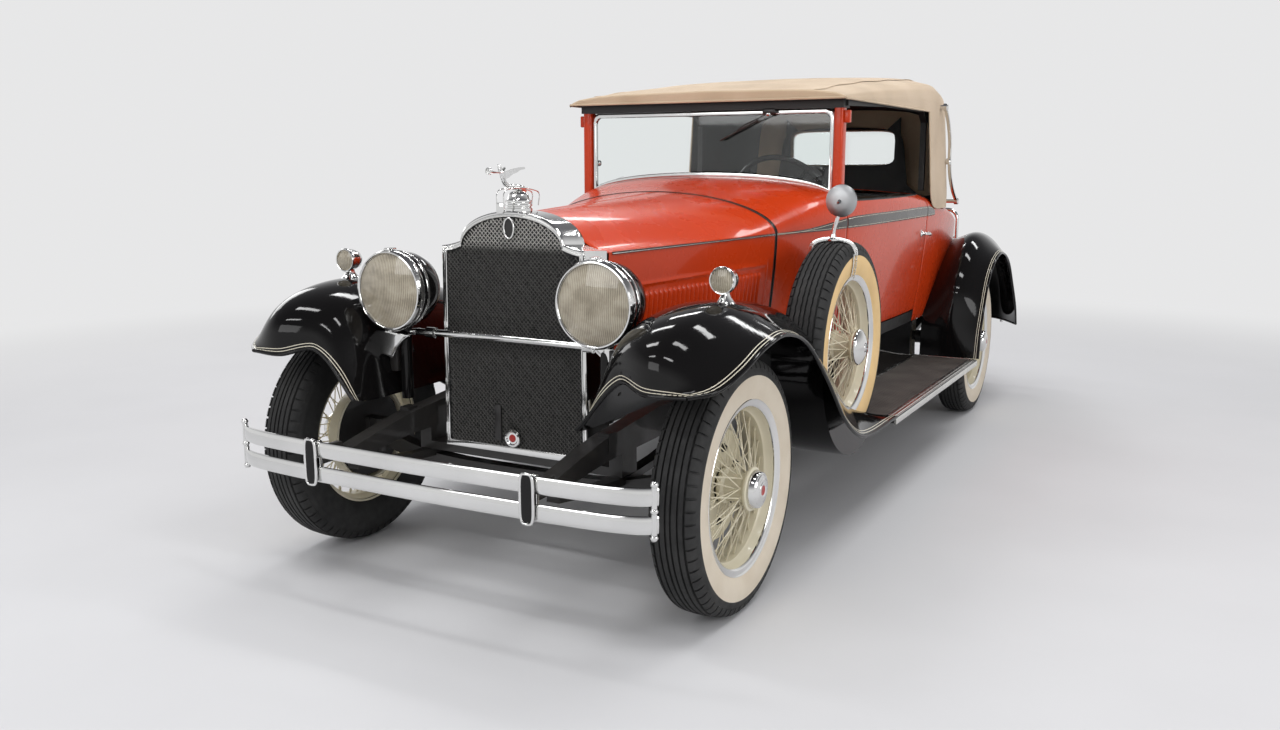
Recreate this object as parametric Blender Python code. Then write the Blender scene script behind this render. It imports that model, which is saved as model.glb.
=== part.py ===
"""Convertible coupe of about 1930, with its soft top up and two side-mounted spare wheels.

Metres, +Z up. The car faces -Y and its left side is +X. Every station along the car is
given as a distance behind the front axle; the empty "car" carries that frame, and stands
the whole model on the middle of its footprint.
"""
import math

import bmesh
import bpy
from mathutils import Matrix, Vector

# Driving dimensions of the whole car
WHEELBASE = 3.390
FRONT_OVERHANG = 0.600
REAR_OVERHANG = 1.100
BODY_HALF_WIDTH = 0.700
FIT_GAP = 0.0003
RUNNING_GAP = 0.006

# Wheels and tyres
RIM_RADIUS = 0.262
TYRE_SECTION = 0.153
TYRE_RADIUS = RIM_RADIUS + TYRE_SECTION
TYRE_WIDTH = 0.165
WHEEL_PLANE_X = BODY_HALF_WIDTH + 0.080
WHEEL_SIDES = 24
SPOKE_PAIRS = 5
SPOKE_RADIUS = 0.004
HUB_SIDES = 12
HUB_RADIUS = 0.056
HUB_CAP_REACH = 0.130
HUB_CAP_RADIUS = 0.066
DRUM_RADIUS = 0.185
SPINDLE_RADIUS = 0.023
SPINDLE_SIDES = 18

# Chassis
RAIL_X = BODY_HALF_WIDTH - 0.300
RAIL_WIDTH = 0.060
RAIL_TOP_Z = 0.595
RAIL_HEIGHT = 0.140
RAIL_FRONT_Y = -0.460
RAIL_REAR_Y = 0.930
AXLE_BEAM_Z = TYRE_RADIUS - 0.063
KINGPIN_X = WHEEL_PLANE_X - 0.125
KINGPIN_RADIUS = 0.028
SPRING_HALF_LENGTH = 0.430
SPRING_STACK = 0.026
REAR_SPRING_HALF_LENGTH = 0.490
TIE_ROD_Y = 0.170
TIE_ROD_DROP = 0.075

# Radiator and hood
SHELL_FRONT_Y = -0.060
SHELL_DEPTH = 0.110
SHELL_BOTTOM_Z = 0.432
SHELL_HALF_WIDTH = BODY_HALF_WIDTH - 0.408
SHELL_SHOULDER_Z = 1.148
SHELL_TOP_Z = 1.271
SHELL_BORDER = 0.020
HOOD_FRONT_Y = 0.058
HOOD_REAR_Y = 0.985
HOOD_SHEET = 0.012
HOOD_FRONT_HALF_WIDTH = SHELL_HALF_WIDTH + 0.024
HOOD_REAR_HALF_WIDTH = BODY_HALF_WIDTH - 0.160
HOOD_SKIRT_Z = 0.640
HOOD_EDGE = 0.004
HINGE_ROD_RADIUS = 0.005
HINGE_ROD_PLAY = 0.0004
HINGE_ROD_SIDES = 12
GUARD_CELL_WIDTH = 0.056
GUARD_CELL_HEIGHT = 0.064
GUARD_RECESS = 0.004
GUARD_DEPTH = 0.008
LOUVRES = 28
LOUVRE_FRONT_Y = 0.215
LOUVRE_REAR_Y = 0.905
LOUVRE_LOW_Z = 0.700
LOUVRE_HIGH_Z = 0.985
LOUVRE_RISE = 0.0075
LOUVRE_ROOT = 0.004

# Body
COWL_REAR_Y = 1.520
DOOR_LENGTH = 1.190
BODY_BOTTOM_Z = 0.600
WINDOW_SILL_Z = 1.270
DOOR_BOTTOM_Z = 0.660
BODY_WALL = 0.045
DOOR_BARREL_RADIUS = 0.009
DOOR_HINGE_HEIGHTS = (0.760, 1.110)
CABIN_REAR_Y = 3.050
BULKHEAD = 0.020
FIREWALL = 0.015
TAIL_OVERHANG = 0.810
LID_FRONT_Y = 3.440
LID_REAR_Y = 4.080
LID_HALF_WIDTH = BODY_HALF_WIDTH - 0.300

# Windshield and soft top
WINDSHIELD_Y = 1.490
WINDSHIELD_HALF_WIDTH = BODY_HALF_WIDTH - 0.100
WINDSHIELD_TOP_Z = 1.660
POST_WIDTH = 0.040
TOP_FRONT_Y = 1.400
TOP_REAR_Y = 3.420
TOP_HALF_WIDTH = BODY_HALF_WIDTH - 0.025
TOP_SKIRT_Z = 1.695
TOP_THICKNESS = 0.014
QUARTER_FRONT_Y = 2.740
TOP_FOOT_Z = 1.190
REAR_WINDOW_HALF_WIDTH = TOP_HALF_WIDTH - 0.355
REAR_WINDOW_LOW_Z = 1.420
REAR_WINDOW_HIGH_Z = 1.620

# Fenders and running boards
FENDER_SHEET = 0.006
FENDER_EDGE_X = WHEEL_PLANE_X + 0.175
FENDER_CROWN_X = WHEEL_PLANE_X - 0.015
BOARD_TOP_Z = 0.385
BOARD_THICKNESS = 0.030
BOARD_BEHIND_SPARE = 0.280
BOARD_REAR_Y = 2.920
BOARD_INNER_X = BODY_HALF_WIDTH - 0.100

# Spare wheels
SPARE_Y = 1.060
SPARE_Z = 0.715
SPARE_X = WHEEL_PLANE_X - 0.010
WELL_SIDE_PLAY = 0.012
WELL_SHEET = 0.006

# Lamps
HEADLAMP_X = RAIL_X + 0.012
HEADLAMP_Y = -0.200
HEADLAMP_Z = 0.995
HEADLAMP_RADIUS = 0.140
FENDER_LAMP_Y = -0.020
FENDER_LAMP_Z = 1.073
FENDER_LAMP_RADIUS = 0.043
FENDER_LAMP_SIDES = 14
LAMP_POST_Y = HEADLAMP_Y + 0.075
LAMP_TIE_Z = 0.838
LAMP_SIDES = 18

# Bumpers
BUMPER_HALF_WIDTH = 0.800
BUMPER_BAR_HEIGHT = 0.052
BUMPER_UPPER_Z = 0.519
BUMPER_LOWER_Z = 0.437
BUMPER_CLAMP_X = RAIL_X + 0.021

# Steering
STEERING_X = BODY_HALF_WIDTH - 0.415
STEERING_Y = 1.700
STEERING_Z = 1.275
STEERING_RADIUS = 0.215
STEERING_HUB = 0.050
COLUMN_SLOPE = math.radians(32)

# Seats
SEAT_FRONT_Y = 2.220
SEAT_REAR_Y = CABIN_REAR_Y - 0.050
SEAT_HALF_WIDTH = BODY_HALF_WIDTH - 0.135
SEAT_CUSHION_Z = 0.930
SEAT_BACK_Z = 1.300
RUMBLE_SEAT_HEIGHT = 0.160

# Luggage rack
RACK_Y = 4.290
RACK_BOTTOM_Z = 0.620
RACK_TOP_Z = 1.130
RACK_HALF_WIDTH = BODY_HALF_WIDTH - 0.200
RACK_TUBE = 0.013
RACK_TUBE_SIDES = 16
TAIL_LAMP_OFFSET = 0.060
TAIL_LAMP_Z = 0.640

# Stations that follow from the driving dimensions
CAR_LENGTH = FRONT_OVERHANG + WHEELBASE + REAR_OVERHANG
FRONT_AXLE_Y = FRONT_OVERHANG - CAR_LENGTH / 2
DOOR_REAR_Y = COWL_REAR_Y + DOOR_LENGTH
BOARD_FRONT_Y = SPARE_Y + BOARD_BEHIND_SPARE
RACK_TUBE_FLAT = RACK_TUBE * (1 / math.cos(math.pi / RACK_TUBE_SIDES) - 1)
TAIL_Y = WHEELBASE + TAIL_OVERHANG
TIE_ROD_Z = TYRE_RADIUS - TIE_ROD_DROP


def clear_scene():
    for obj in list(bpy.data.objects):
        bpy.data.objects.remove(obj, do_unlink=True)


def material(name, colour, roughness, metallic=0.0):
    mat = bpy.data.materials.new(name)
    mat.use_nodes = True
    shader = mat.node_tree.nodes["Principled BSDF"]
    shader.inputs["Base Color"].default_value = (*colour, 1.0)
    shader.inputs["Roughness"].default_value = roughness
    shader.inputs["Metallic"].default_value = metallic
    return mat


def make_materials():
    return {
        "body": material("body_vermilion", (0.62, 0.10, 0.03), 0.25),
        "fender": material("fender_black", (0.010, 0.010, 0.012), 0.15),
        "chassis": material("chassis_black", (0.020, 0.020, 0.020), 0.45),
        "chrome": material("chrome", (0.80, 0.80, 0.80), 0.10, 1.0),
        "tyre": material("tyre_rubber", (0.030, 0.030, 0.030), 0.80),
        "wheel": material("wheel_cream", (0.72, 0.67, 0.52), 0.40),
        "canvas": material("canvas_tan", (0.52, 0.40, 0.28), 0.90),
        "leather": material("leather_brown", (0.10, 0.055, 0.030), 0.55),
        "mat": material("board_mat", (0.070, 0.065, 0.060), 0.75),
        "glass": material("windshield_glass", (0.85, 0.90, 0.90), 0.05),
        "iron": material("engine_iron", (0.12, 0.13, 0.12), 0.60),
        "lamp": material("lamp_red", (0.40, 0.02, 0.02), 0.25),
    }


def smooth_value(stations, y):
    """Value at y of a smooth curve through (station, value) pairs."""
    if y <= stations[0][0]:
        return stations[0][1]
    if y >= stations[-1][0]:
        return stations[-1][1]
    last = len(stations) - 1
    k = max(i for i in range(last) if stations[i][0] <= y)
    y0, v0 = stations[k]
    y1, v1 = stations[k + 1]
    step = y1 - y0

    def slope(i):
        low = max(i - 1, 0)
        high = min(i + 1, last)
        return (stations[high][1] - stations[low][1]) / (stations[high][0] - stations[low][0])

    t = (y - y0) / step
    h00 = 2 * t ** 3 - 3 * t ** 2 + 1
    h10 = t ** 3 - 2 * t ** 2 + t
    h01 = -2 * t ** 3 + 3 * t ** 2
    h11 = t ** 3 - t ** 2
    return h00 * v0 + h10 * step * slope(k) + h01 * v1 + h11 * step * slope(k + 1)


def smooth_path(points, count):
    """Evenly stepped points on a smooth curve through the given 3-D points."""
    vectors = [Vector(p) for p in points]
    reach = [0.0]
    for a, b in zip(vectors, vectors[1:]):
        reach.append(reach[-1] + (b - a).length)
    axes = [[(reach[i], vectors[i][k]) for i in range(len(vectors))] for k in range(3)]
    steps = [reach[-1] * i / (count - 1) for i in range(count)]
    return [Vector([smooth_value(axis, s) for axis in axes]) for s in steps]


def mesh_object(name, verts, faces, mat=None):
    mesh = bpy.data.meshes.new(name)
    mesh.from_pydata([tuple(v) for v in verts], [], faces)
    work = bmesh.new()
    work.from_mesh(mesh)
    bmesh.ops.remove_doubles(work, verts=work.verts, dist=0.00001)
    bmesh.ops.triangulate(work, faces=work.faces)
    bmesh.ops.recalc_face_normals(work, faces=work.faces)
    work.to_mesh(mesh)
    work.free()
    obj = bpy.data.objects.new(name, mesh)
    bpy.context.scene.collection.objects.link(obj)
    if mat:
        mesh.materials.append(mat)
    return obj


def loft(name, rings, mat=None, capped=True):
    """Skin over rings that all have the same number of points."""
    count = len(rings[0])
    verts = [p for ring in rings for p in ring]
    faces = []
    last = len(rings) if not capped else len(rings) - 1
    for i in range(last):
        here = i * count
        there = (i + 1) % len(rings) * count
        for j in range(count):
            k = (j + 1) % count
            faces.append((here + j, here + k, there + k, there + j))
    if capped:
        faces.append(tuple(range(count)))
        faces.append(tuple(range((len(rings) - 1) * count, len(rings) * count)))
    return mesh_object(name, verts, faces, mat)


def turned(name, profile, centre, axis, sides, mat=None, phase=0.5):
    """Solid of revolution; profile is a closed loop of (radius, distance along axis)."""
    axis = Vector(axis).normalized()
    side = axis.orthogonal().normalized()
    if abs(axis.x) > 0.9:
        side = Vector((0, 0, 1))
    up = axis.cross(side)
    centre = Vector(centre)
    rings = []
    for i in range(sides):
        angle = 2 * math.pi * (i + phase) / sides
        spoke = side * math.cos(angle) + up * math.sin(angle)
        rings.append([centre + spoke * r + axis * a for r, a in profile])
    count = len(profile)
    verts = [p for ring in rings for p in ring]
    faces = []
    for i in range(sides):
        here = i * count
        there = (i + 1) % sides * count
        for j in range(count):
            k = (j + 1) % count
            if profile[j][0] > 0 or profile[k][0] > 0:
                faces.append((here + j, here + k, there + k, there + j))
    return mesh_object(name, verts, faces, mat)


def disc_profile(radius, start, end):
    return [(0, start), (radius, start), (radius, end), (0, end)]


def box(name, low, high, mat=None, bevel=0.0):
    xs, ys, zs = zip(low, high)
    rings = []
    for x in xs:
        rings.append([(x, ys[0], zs[0]), (x, ys[1], zs[0]), (x, ys[1], zs[1]), (x, ys[0], zs[1])])
    obj = loft(name, rings, mat)
    if bevel:
        rounding = obj.modifiers.new("Bevel", "BEVEL")
        rounding.width = bevel
        rounding.segments = 2
        apply_modifiers(obj)
    return obj


def sweep(name, path, section, mat=None, up=(0, 0, 1)):
    """Section of (sideways, upward) offsets carried along a path."""
    path = [Vector(p) for p in path]
    up = Vector(up)
    rings = []
    for i, point in enumerate(path):
        ahead = path[min(i + 1, len(path) - 1)] - path[max(i - 1, 0)]
        side = ahead.cross(up).normalized()
        rise = side.cross(ahead).normalized()
        rings.append([point + side * a + rise * b for a, b in section])
    return loft(name, rings, mat)


def round_section(radius, sides):
    angles = [2 * math.pi * i / sides for i in range(sides)]
    return [(radius * math.cos(a), radius * math.sin(a)) for a in angles]


def flat_section(width, height):
    w, h = width / 2, height / 2
    return [(-w, -h), (w, -h), (w, h), (-w, h)]


def apply_modifiers(obj):
    bpy.context.view_layer.update()
    graph = bpy.context.evaluated_depsgraph_get()
    mesh = bpy.data.meshes.new_from_object(obj.evaluated_get(graph))
    obj.modifiers.clear()
    obj.data = mesh


def combine(obj, tools, operation):
    """Boolean of obj with each tool in turn; the tools are used up."""
    for tool in tools:
        step = obj.modifiers.new(operation.title(), "BOOLEAN")
        step.operation = operation
        step.solver = "EXACT"
        step.object = tool
        apply_modifiers(obj)
        bpy.data.objects.remove(tool, do_unlink=True)
    return obj


def fused(obj, *tools):
    return combine(obj, tools, "UNION")


def cut(obj, *tools):
    return combine(obj, tools, "DIFFERENCE")


def common(obj, *tools):
    return combine(obj, tools, "INTERSECT")


def copy_of(obj, name):
    twin = bpy.data.objects.new(name, obj.data.copy())
    bpy.context.scene.collection.objects.link(twin)
    return twin


def mirrored(obj, name):
    """Mirror image on the other side of the car."""
    twin = copy_of(obj, name)
    twin.data.transform(Matrix.Scale(-1, 4, Vector((1, 0, 0))))
    twin.data.flip_normals()
    return twin


def finish_mesh(obj, mat):
    obj.data.materials.clear()
    obj.data.materials.append(mat)
    work = bmesh.new()
    work.from_mesh(obj.data)
    bmesh.ops.remove_doubles(work, verts=work.verts, dist=0.00002)
    bmesh.ops.dissolve_limit(
        work, angle_limit=math.radians(0.3), verts=work.verts, edges=work.edges)
    bmesh.ops.triangulate(work, faces=work.faces)
    work.to_mesh(obj.data)
    work.free()
    obj.data.shade_smooth()
    obj.data.set_sharp_from_angle(angle=math.radians(35))
    return obj


def place_origin(obj, point):
    obj.data.transform(Matrix.Translation(-Vector(point)))
    obj.location = point


# The body surface

def body_half_width(y):
    tail = TAIL_Y
    run = tail - DOOR_REAR_Y
    return smooth_value([
        (HOOD_FRONT_Y, HOOD_FRONT_HALF_WIDTH),
        (HOOD_REAR_Y, HOOD_REAR_HALF_WIDTH),
        (COWL_REAR_Y, BODY_HALF_WIDTH - 0.045),
        (COWL_REAR_Y + 0.45 * DOOR_LENGTH, BODY_HALF_WIDTH - 0.008),
        (DOOR_REAR_Y, BODY_HALF_WIDTH),
        (DOOR_REAR_Y + 0.30 * run, BODY_HALF_WIDTH - 0.010),
        (DOOR_REAR_Y + 0.60 * run, BODY_HALF_WIDTH - 0.060),
        (DOOR_REAR_Y + 0.85 * run, BODY_HALF_WIDTH - 0.170),
        (tail, BODY_HALF_WIDTH - 0.320)], y)


def belt_height(y):
    run = TAIL_Y - DOOR_REAR_Y
    return smooth_value([
        (HOOD_FRONT_Y, 1.136),
        (HOOD_REAR_Y, 1.156),
        (DOOR_REAR_Y, 1.165),
        (DOOR_REAR_Y + 0.45 * run, 1.130),
        (DOOR_REAR_Y + 0.80 * run, 1.000),
        (TAIL_Y, 0.720)], y)


def crown_height(y):
    run = TAIL_Y - CABIN_REAR_Y
    return smooth_value([
        (HOOD_FRONT_Y, SHELL_TOP_Z - 0.008),
        (HOOD_REAR_Y, 1.312),
        (COWL_REAR_Y, 1.372),
        (CABIN_REAR_Y, 1.290),
        (CABIN_REAR_Y + 0.35 * run, 1.245),
        (CABIN_REAR_Y + 0.70 * run, 1.130),
        (CABIN_REAR_Y + 0.90 * run, 0.970),
        (TAIL_Y, 0.780)], y)


def crown_sharpness(y):
    """High where the crown is a narrow arch with flat shoulders, low where it is square."""
    return smooth_value([
        (HOOD_FRONT_Y, 2.10),
        (HOOD_REAR_Y, 0.55),
        (COWL_REAR_Y, 0.20),
        (DOOR_REAR_Y, 0.20),
        (CABIN_REAR_Y + 0.3, 0.50),
        (TAIL_Y, 0.60)], y)


SIDE_STEPS = (0.0, 0.35, 0.70)
CROWN_STEPS = (0.985, 0.93, 0.80, 0.60, 0.35)
TUCK_UNDER = 0.060


def side_x(y, z, inset=0.0):
    """Half width of the body at height z, below the belt."""
    drop = max(0.0, (belt_height(y) - z) / (belt_height(y) - BODY_BOTTOM_Z))
    return body_half_width(y) - TUCK_UNDER * drop ** 1.6 - inset


def crown_z(y, share, inset=0.0, lift=0.0):
    """Height of the crown at a share of the half width."""
    rise = crown_height(y) - belt_height(y) - inset + lift
    return belt_height(y) + rise * max(0.0, 1 - share * share) ** crown_sharpness(y)


def body_ring(y, inset=0.0, lift=0.0):
    belt = belt_height(y)
    bottom = BODY_BOTTOM_Z + inset
    half = []
    for share in SIDE_STEPS:
        z = bottom + (belt - bottom) * share
        half.append((side_x(y, z, inset), z))
    width = body_half_width(y) - inset
    half.append((width, belt))
    for share in CROWN_STEPS:
        half.append((width * share, crown_z(y, share, inset, lift)))
    right = [(-x, y, z) for x, z in reversed(half)]
    left = [(x, y, z) for x, z in half]
    return left + [(0, y, crown_z(y, 0, inset, lift))] + right


def body_stations(start, end, count):
    return [start + (end - start) * i / (count - 1) for i in range(count)]


def body_solid(name, start, end, count, inset=0.0, lift=0.0):
    return loft(name, [body_ring(y, inset, lift) for y in body_stations(start, end, count)])


# Chassis

def rail_top(y):
    return min(RAIL_TOP_Z, smooth_value([
        (RAIL_FRONT_Y, 0.500),
        (RAIL_FRONT_Y + 0.30, 0.560),
        (0.20, RAIL_TOP_Z),
        (WHEELBASE + 0.25, RAIL_TOP_Z),
        (WHEELBASE + RAIL_REAR_Y, 0.560)], y))


def rail_bottom(y):
    depth = smooth_value([
        (RAIL_FRONT_Y, 0.050),
        (0.25, 0.110),
        (0.90, RAIL_HEIGHT),
        (WHEELBASE - 0.70, RAIL_HEIGHT),
        (WHEELBASE - 0.10, 0.095),
        (WHEELBASE + 0.30, 0.095),
        (WHEELBASE + RAIL_REAR_Y, 0.060)], y)
    return rail_top(y) - depth


def lowest_rail(start, end):
    """Lowest point of the rail's underside over a spring's two eyes."""
    return min(rail_bottom(start), rail_bottom(end))


def make_frame():
    rings = []
    stations = [RAIL_FRONT_Y, RAIL_FRONT_Y + 0.15, RAIL_FRONT_Y + 0.30, 0.20, 0.90,
                WHEELBASE - 0.70, WHEELBASE - 0.10, WHEELBASE + 0.30, WHEELBASE + RAIL_REAR_Y]
    inner, outer = RAIL_X - RAIL_WIDTH / 2, RAIL_X + RAIL_WIDTH / 2
    for y in stations:
        low, high = rail_bottom(y), rail_top(y)
        rings.append([(inner, y, low), (outer, y, low), (outer, y, high), (inner, y, high)])
    left = loft("frame", rings)
    right = mirrored(left, "frame_right_rail")
    fused(left, right)
    reach = RAIL_X
    members = []
    for y, width, drop in ((0.0, 0.10, 0.0), (1.55, 0.08, 0.05), (2.50, 0.08, 0.05),
                           (WHEELBASE + 0.38, 0.05, 0.02), (WHEELBASE + 0.86, 0.05, 0.01)):
        low = SHELL_BOTTOM_Z - 0.030 if y == 0.0 else rail_bottom(y) + 0.01
        high = SHELL_BOTTOM_Z - FIT_GAP if y == 0.0 else rail_bottom(y) + 0.05
        members.append(box("member", (-reach, y - width / 2, low), (reach, y + width / 2, high)))
    fused(left, *members)
    for side in (-1, 1):
        lug = box("rack_lug", (side * RAIL_X - 0.015, RACK_Y - 0.022, rail_bottom(RACK_Y) + 0.02),
                  (side * RAIL_X + 0.015, RACK_Y + 0.022, RACK_BOTTOM_Z))
        fused(left, lug)
        hanger = box("hanger", (side * RAIL_X - 0.025, -0.05, SHELL_BOTTOM_Z - 0.030),
                     (side * RAIL_X + 0.025, 0.05, rail_bottom(0.0) + 0.02))
        pad_low = rail_bottom(LAMP_POST_Y) + 0.020
        pad = box("lamp_pad", (side * HEADLAMP_X - 0.020, LAMP_POST_Y - 0.024, pad_low),
                  (side * HEADLAMP_X + 0.020, LAMP_POST_Y + 0.024, lamp_pad_top()))
        fused(left, hanger, pad)
        for y in spring_eye_stations():
            low = spring_eye_z(y)
            fused(left, box("spring_hanger", (side * RAIL_X - 0.020, y - 0.018, low),
                            (side * RAIL_X + 0.020, y + 0.018, rail_bottom(y) + 0.03)))
    return cut(left, rack_tube("saddle", FIT_GAP / math.cos(math.pi / RACK_TUBE_SIDES) + RACK_TUBE_FLAT))


def rack_tube(name, grow):
    """The rack's lower tube, about which it folds."""
    return turned(name, disc_profile(RACK_TUBE + grow, -RACK_HALF_WIDTH, RACK_HALF_WIDTH),
                  (0, RACK_Y, RACK_BOTTOM_Z), (1, 0, 0), RACK_TUBE_SIDES)


def lamp_pad_top():
    return rail_top(LAMP_POST_Y) + 0.008


def spring_eye_stations():
    return (-SPRING_HALF_LENGTH, SPRING_HALF_LENGTH,
            WHEELBASE - REAR_SPRING_HALF_LENGTH, WHEELBASE + REAR_SPRING_HALF_LENGTH)


def spring_eye_z(y):
    """Underside of the hanger that carries the spring eye at this station."""
    half = SPRING_HALF_LENGTH if abs(y) <= SPRING_HALF_LENGTH else REAR_SPRING_HALF_LENGTH
    middle = 0 if half == SPRING_HALF_LENGTH else WHEELBASE
    return lowest_rail(middle - half, middle + half) - 0.006


def spring(x, centre_y, half, eye_z, seat_z):
    """Stack of leaves as one bowed bar with its eyes up under the rail."""
    path = [(x, centre_y - half, eye_z), (x, centre_y - half * 0.5, (eye_z + seat_z * 2) / 3),
            (x, centre_y, seat_z), (x, centre_y + half * 0.5, (eye_z + seat_z * 2) / 3),
            (x, centre_y + half, eye_z)]
    leaves = sweep("spring", path, flat_section(0.045, SPRING_STACK))
    top = eye_z + SPRING_STACK / 2 + 0.004 - FIT_GAP
    for y in (centre_y - half + 0.012, centre_y + half - 0.012):
        fused(leaves, box("eye", (x - 0.020, y - 0.012, eye_z - 0.010), (x + 0.020, y + 0.012, top)))
    return leaves


def make_front_axle():
    lug = AXLE_BEAM_Z + 0.060
    path = smooth_path([
        (-KINGPIN_X, 0, lug), (-KINGPIN_X + 0.06, 0, lug - 0.01), (-RAIL_X, 0, AXLE_BEAM_Z),
        (0, 0, AXLE_BEAM_Z - 0.01), (RAIL_X, 0, AXLE_BEAM_Z), (KINGPIN_X - 0.06, 0, lug - 0.01),
        (KINGPIN_X, 0, lug)], 11)
    beam = sweep("front_axle", path, flat_section(0.050, 0.056))
    for side in (-1, 1):
        boss = turned("boss", disc_profile(KINGPIN_RADIUS, -0.030, 0.030),
                      (side * KINGPIN_X, 0, TYRE_RADIUS), (0, 0, 1), 12)
        x = side * (RAIL_X)
        eye = spring_eye_z(SPRING_HALF_LENGTH) - SPRING_STACK / 2 - 0.004
        leaf = spring(x, 0.0, SPRING_HALF_LENGTH, eye, AXLE_BEAM_Z + 0.030)
        fused(beam, boss, leaf)
    trim = box("trim", (-0.9, -0.2, TYRE_RADIUS + 0.030), (0.9, 0.2, TYRE_RADIUS + 0.2))
    outer = box("outer", (-0.9, -0.2, 0.1), (0.9, 0.2, TYRE_RADIUS - 0.030))
    reach = KINGPIN_X - KINGPIN_RADIUS - 0.012
    middle = box("middle", (-reach, -0.3, 0.0), (reach, 0.3, 1.0))
    cut(outer, middle)
    cut(trim, box("middle_2", (-reach, -0.3, 0.0), (reach, 0.3, 1.0)))
    cut(beam, trim, outer)
    return beam


def make_rear_axle():
    inner = WHEEL_PLANE_X - 0.090
    tube = turned("rear_axle", [
        (0, -inner), (0.038, -inner), (0.038, -0.17), (0.120, -0.10), (0.145, 0.0),
        (0.120, 0.10), (0.038, 0.17), (0.038, inner), (0, inner)],
        (0, WHEELBASE, TYRE_RADIUS), (1, 0, 0), 12)
    reach = WHEEL_PLANE_X + 0.030
    spindle = turned("spindle", disc_profile(SPINDLE_RADIUS, -reach, reach),
                     (0, WHEELBASE, TYRE_RADIUS), (1, 0, 0), SPINDLE_SIDES)
    fused(tube, spindle)
    half = REAR_SPRING_HALF_LENGTH
    for side in (-1, 1):
        eye = spring_eye_z(WHEELBASE + half) - SPRING_STACK / 2 - 0.004
        leaf = spring(side * RAIL_X, WHEELBASE, half, eye, TYRE_RADIUS - 0.045)
        fused(tube, leaf)
    return tube


def make_engine():
    block = box("engine_block", (-0.17, 0.15, 0.48), (0.17, 0.90, 1.02), bevel=0.02)
    gearbox = box("gearbox", (-0.11, 0.85, 0.42), (0.11, 1.45, BODY_BOTTOM_Z - 0.012))
    reach = RAIL_X - RAIL_WIDTH / 2 - FIT_GAP
    mount = box("mount", (-reach, 0.80, 0.50), (reach, 0.86, 0.56))
    return fused(block, gearbox, mount)


def make_fuel_tank():
    rings = []
    reach = RAIL_X - RAIL_WIDTH / 2 - FIT_GAP
    for x in (-reach, -reach + 0.02, reach - 0.02, reach):
        size = 0.75 if abs(x) > reach - 0.01 else 1.0
        ring = []
        for i in range(14):
            a = 2 * math.pi * i / 14
            ring.append((x, WHEELBASE + 0.61 + 0.17 * size * math.cos(a),
                         0.490 + 0.085 * size * math.sin(a)))
        rings.append(ring)
    return loft("fuel_tank", rings)


# Wheels, tyres and knuckles

def wheel_turned(name, profile, x, y, z, sides=WHEEL_SIDES):
    """Ring about a wheel's axle, its flats lowest so that it rests on one."""
    grow = 1 / math.cos(math.pi / sides)
    return turned(name, [(r * grow, a) for r, a in profile], (x, y, z), (1, 0, 0), sides)


def tyre_profile(bead):
    half = TYRE_WIDTH / 2
    right = [(TYRE_RADIUS, 0.34 * TYRE_WIDTH), (TYRE_RADIUS - 0.030, half - 0.004),
             (TYRE_RADIUS - 0.085, half), (bead, half - 0.030)]
    return right + [(r, -a) for r, a in reversed(right)]


def rim_profile(seat):
    half = TYRE_WIDTH / 2 - 0.029
    return [(seat, -half), (seat, half), (seat + 0.008, half + 0.008), (seat - 0.006, half + 0.014),
            (seat - 0.022, half - 0.010), (seat - 0.022, -half + 0.010)]


def make_spokes(x):
    """Crossed wire spokes from both ends of the hub barrel to the rim."""
    spokes = []
    for pair in range(SPOKE_PAIRS):
        for lean in (-1, 1):
            angle = 2 * math.pi * (pair + 0.25 * lean) / SPOKE_PAIRS
            foot_angle = angle - lean * 0.9
            outer = pair % 2 == 0
            foot_x = x + (0.072 if outer else 0.004)
            head_x = x + (0.006 if outer else -0.006)
            foot = (foot_x, (HUB_RADIUS - 0.010) * math.sin(foot_angle),
                    (HUB_RADIUS - 0.010) * math.cos(foot_angle))
            head = (head_x, (RIM_RADIUS - 0.010) * math.sin(angle),
                    (RIM_RADIUS - 0.010) * math.cos(angle))
            spokes.append(sweep("spoke", [foot, head], round_section(SPOKE_RADIUS, 3), up=(1, 0, 0)))
    return spokes


def hub_profile(with_drum):
    cap = HUB_CAP_REACH
    outside = [(0, cap), (0.040, cap), (HUB_CAP_RADIUS, cap - 0.022), (HUB_RADIUS, cap - 0.050)]
    if not with_drum:
        return outside + [(HUB_RADIUS, -0.012), (0, -0.012)]
    bore = (SPINDLE_RADIUS + FIT_GAP) / math.cos(math.pi / HUB_SIDES)
    return outside + [
        (HUB_RADIUS, -0.018), (DRUM_RADIUS, -0.024), (DRUM_RADIUS, -0.072),
        (DRUM_RADIUS - 0.010, -0.072), (DRUM_RADIUS - 0.010, -0.034), (bore, -0.030),
        (bore, 0.040), (0, 0.040)]


def make_wheel(name, seat, with_drum):
    """Wire wheel about the origin, its outer face to +X."""
    rim = wheel_turned(name, rim_profile(seat), 0, 0, 0)
    hub = turned("hub", hub_profile(with_drum), (0, 0, 0), (1, 0, 0), HUB_SIDES)
    fused(hub, *make_spokes(0.0))
    return fused(rim, hub)


def wheel_at(master, name, side, x, y, z):
    wheel = copy_of(master, name)
    if side < 0:
        wheel.data.transform(Matrix.Rotation(math.pi, 4, "Z"))
    wheel.location = (side * x, y, z)
    return wheel


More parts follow.
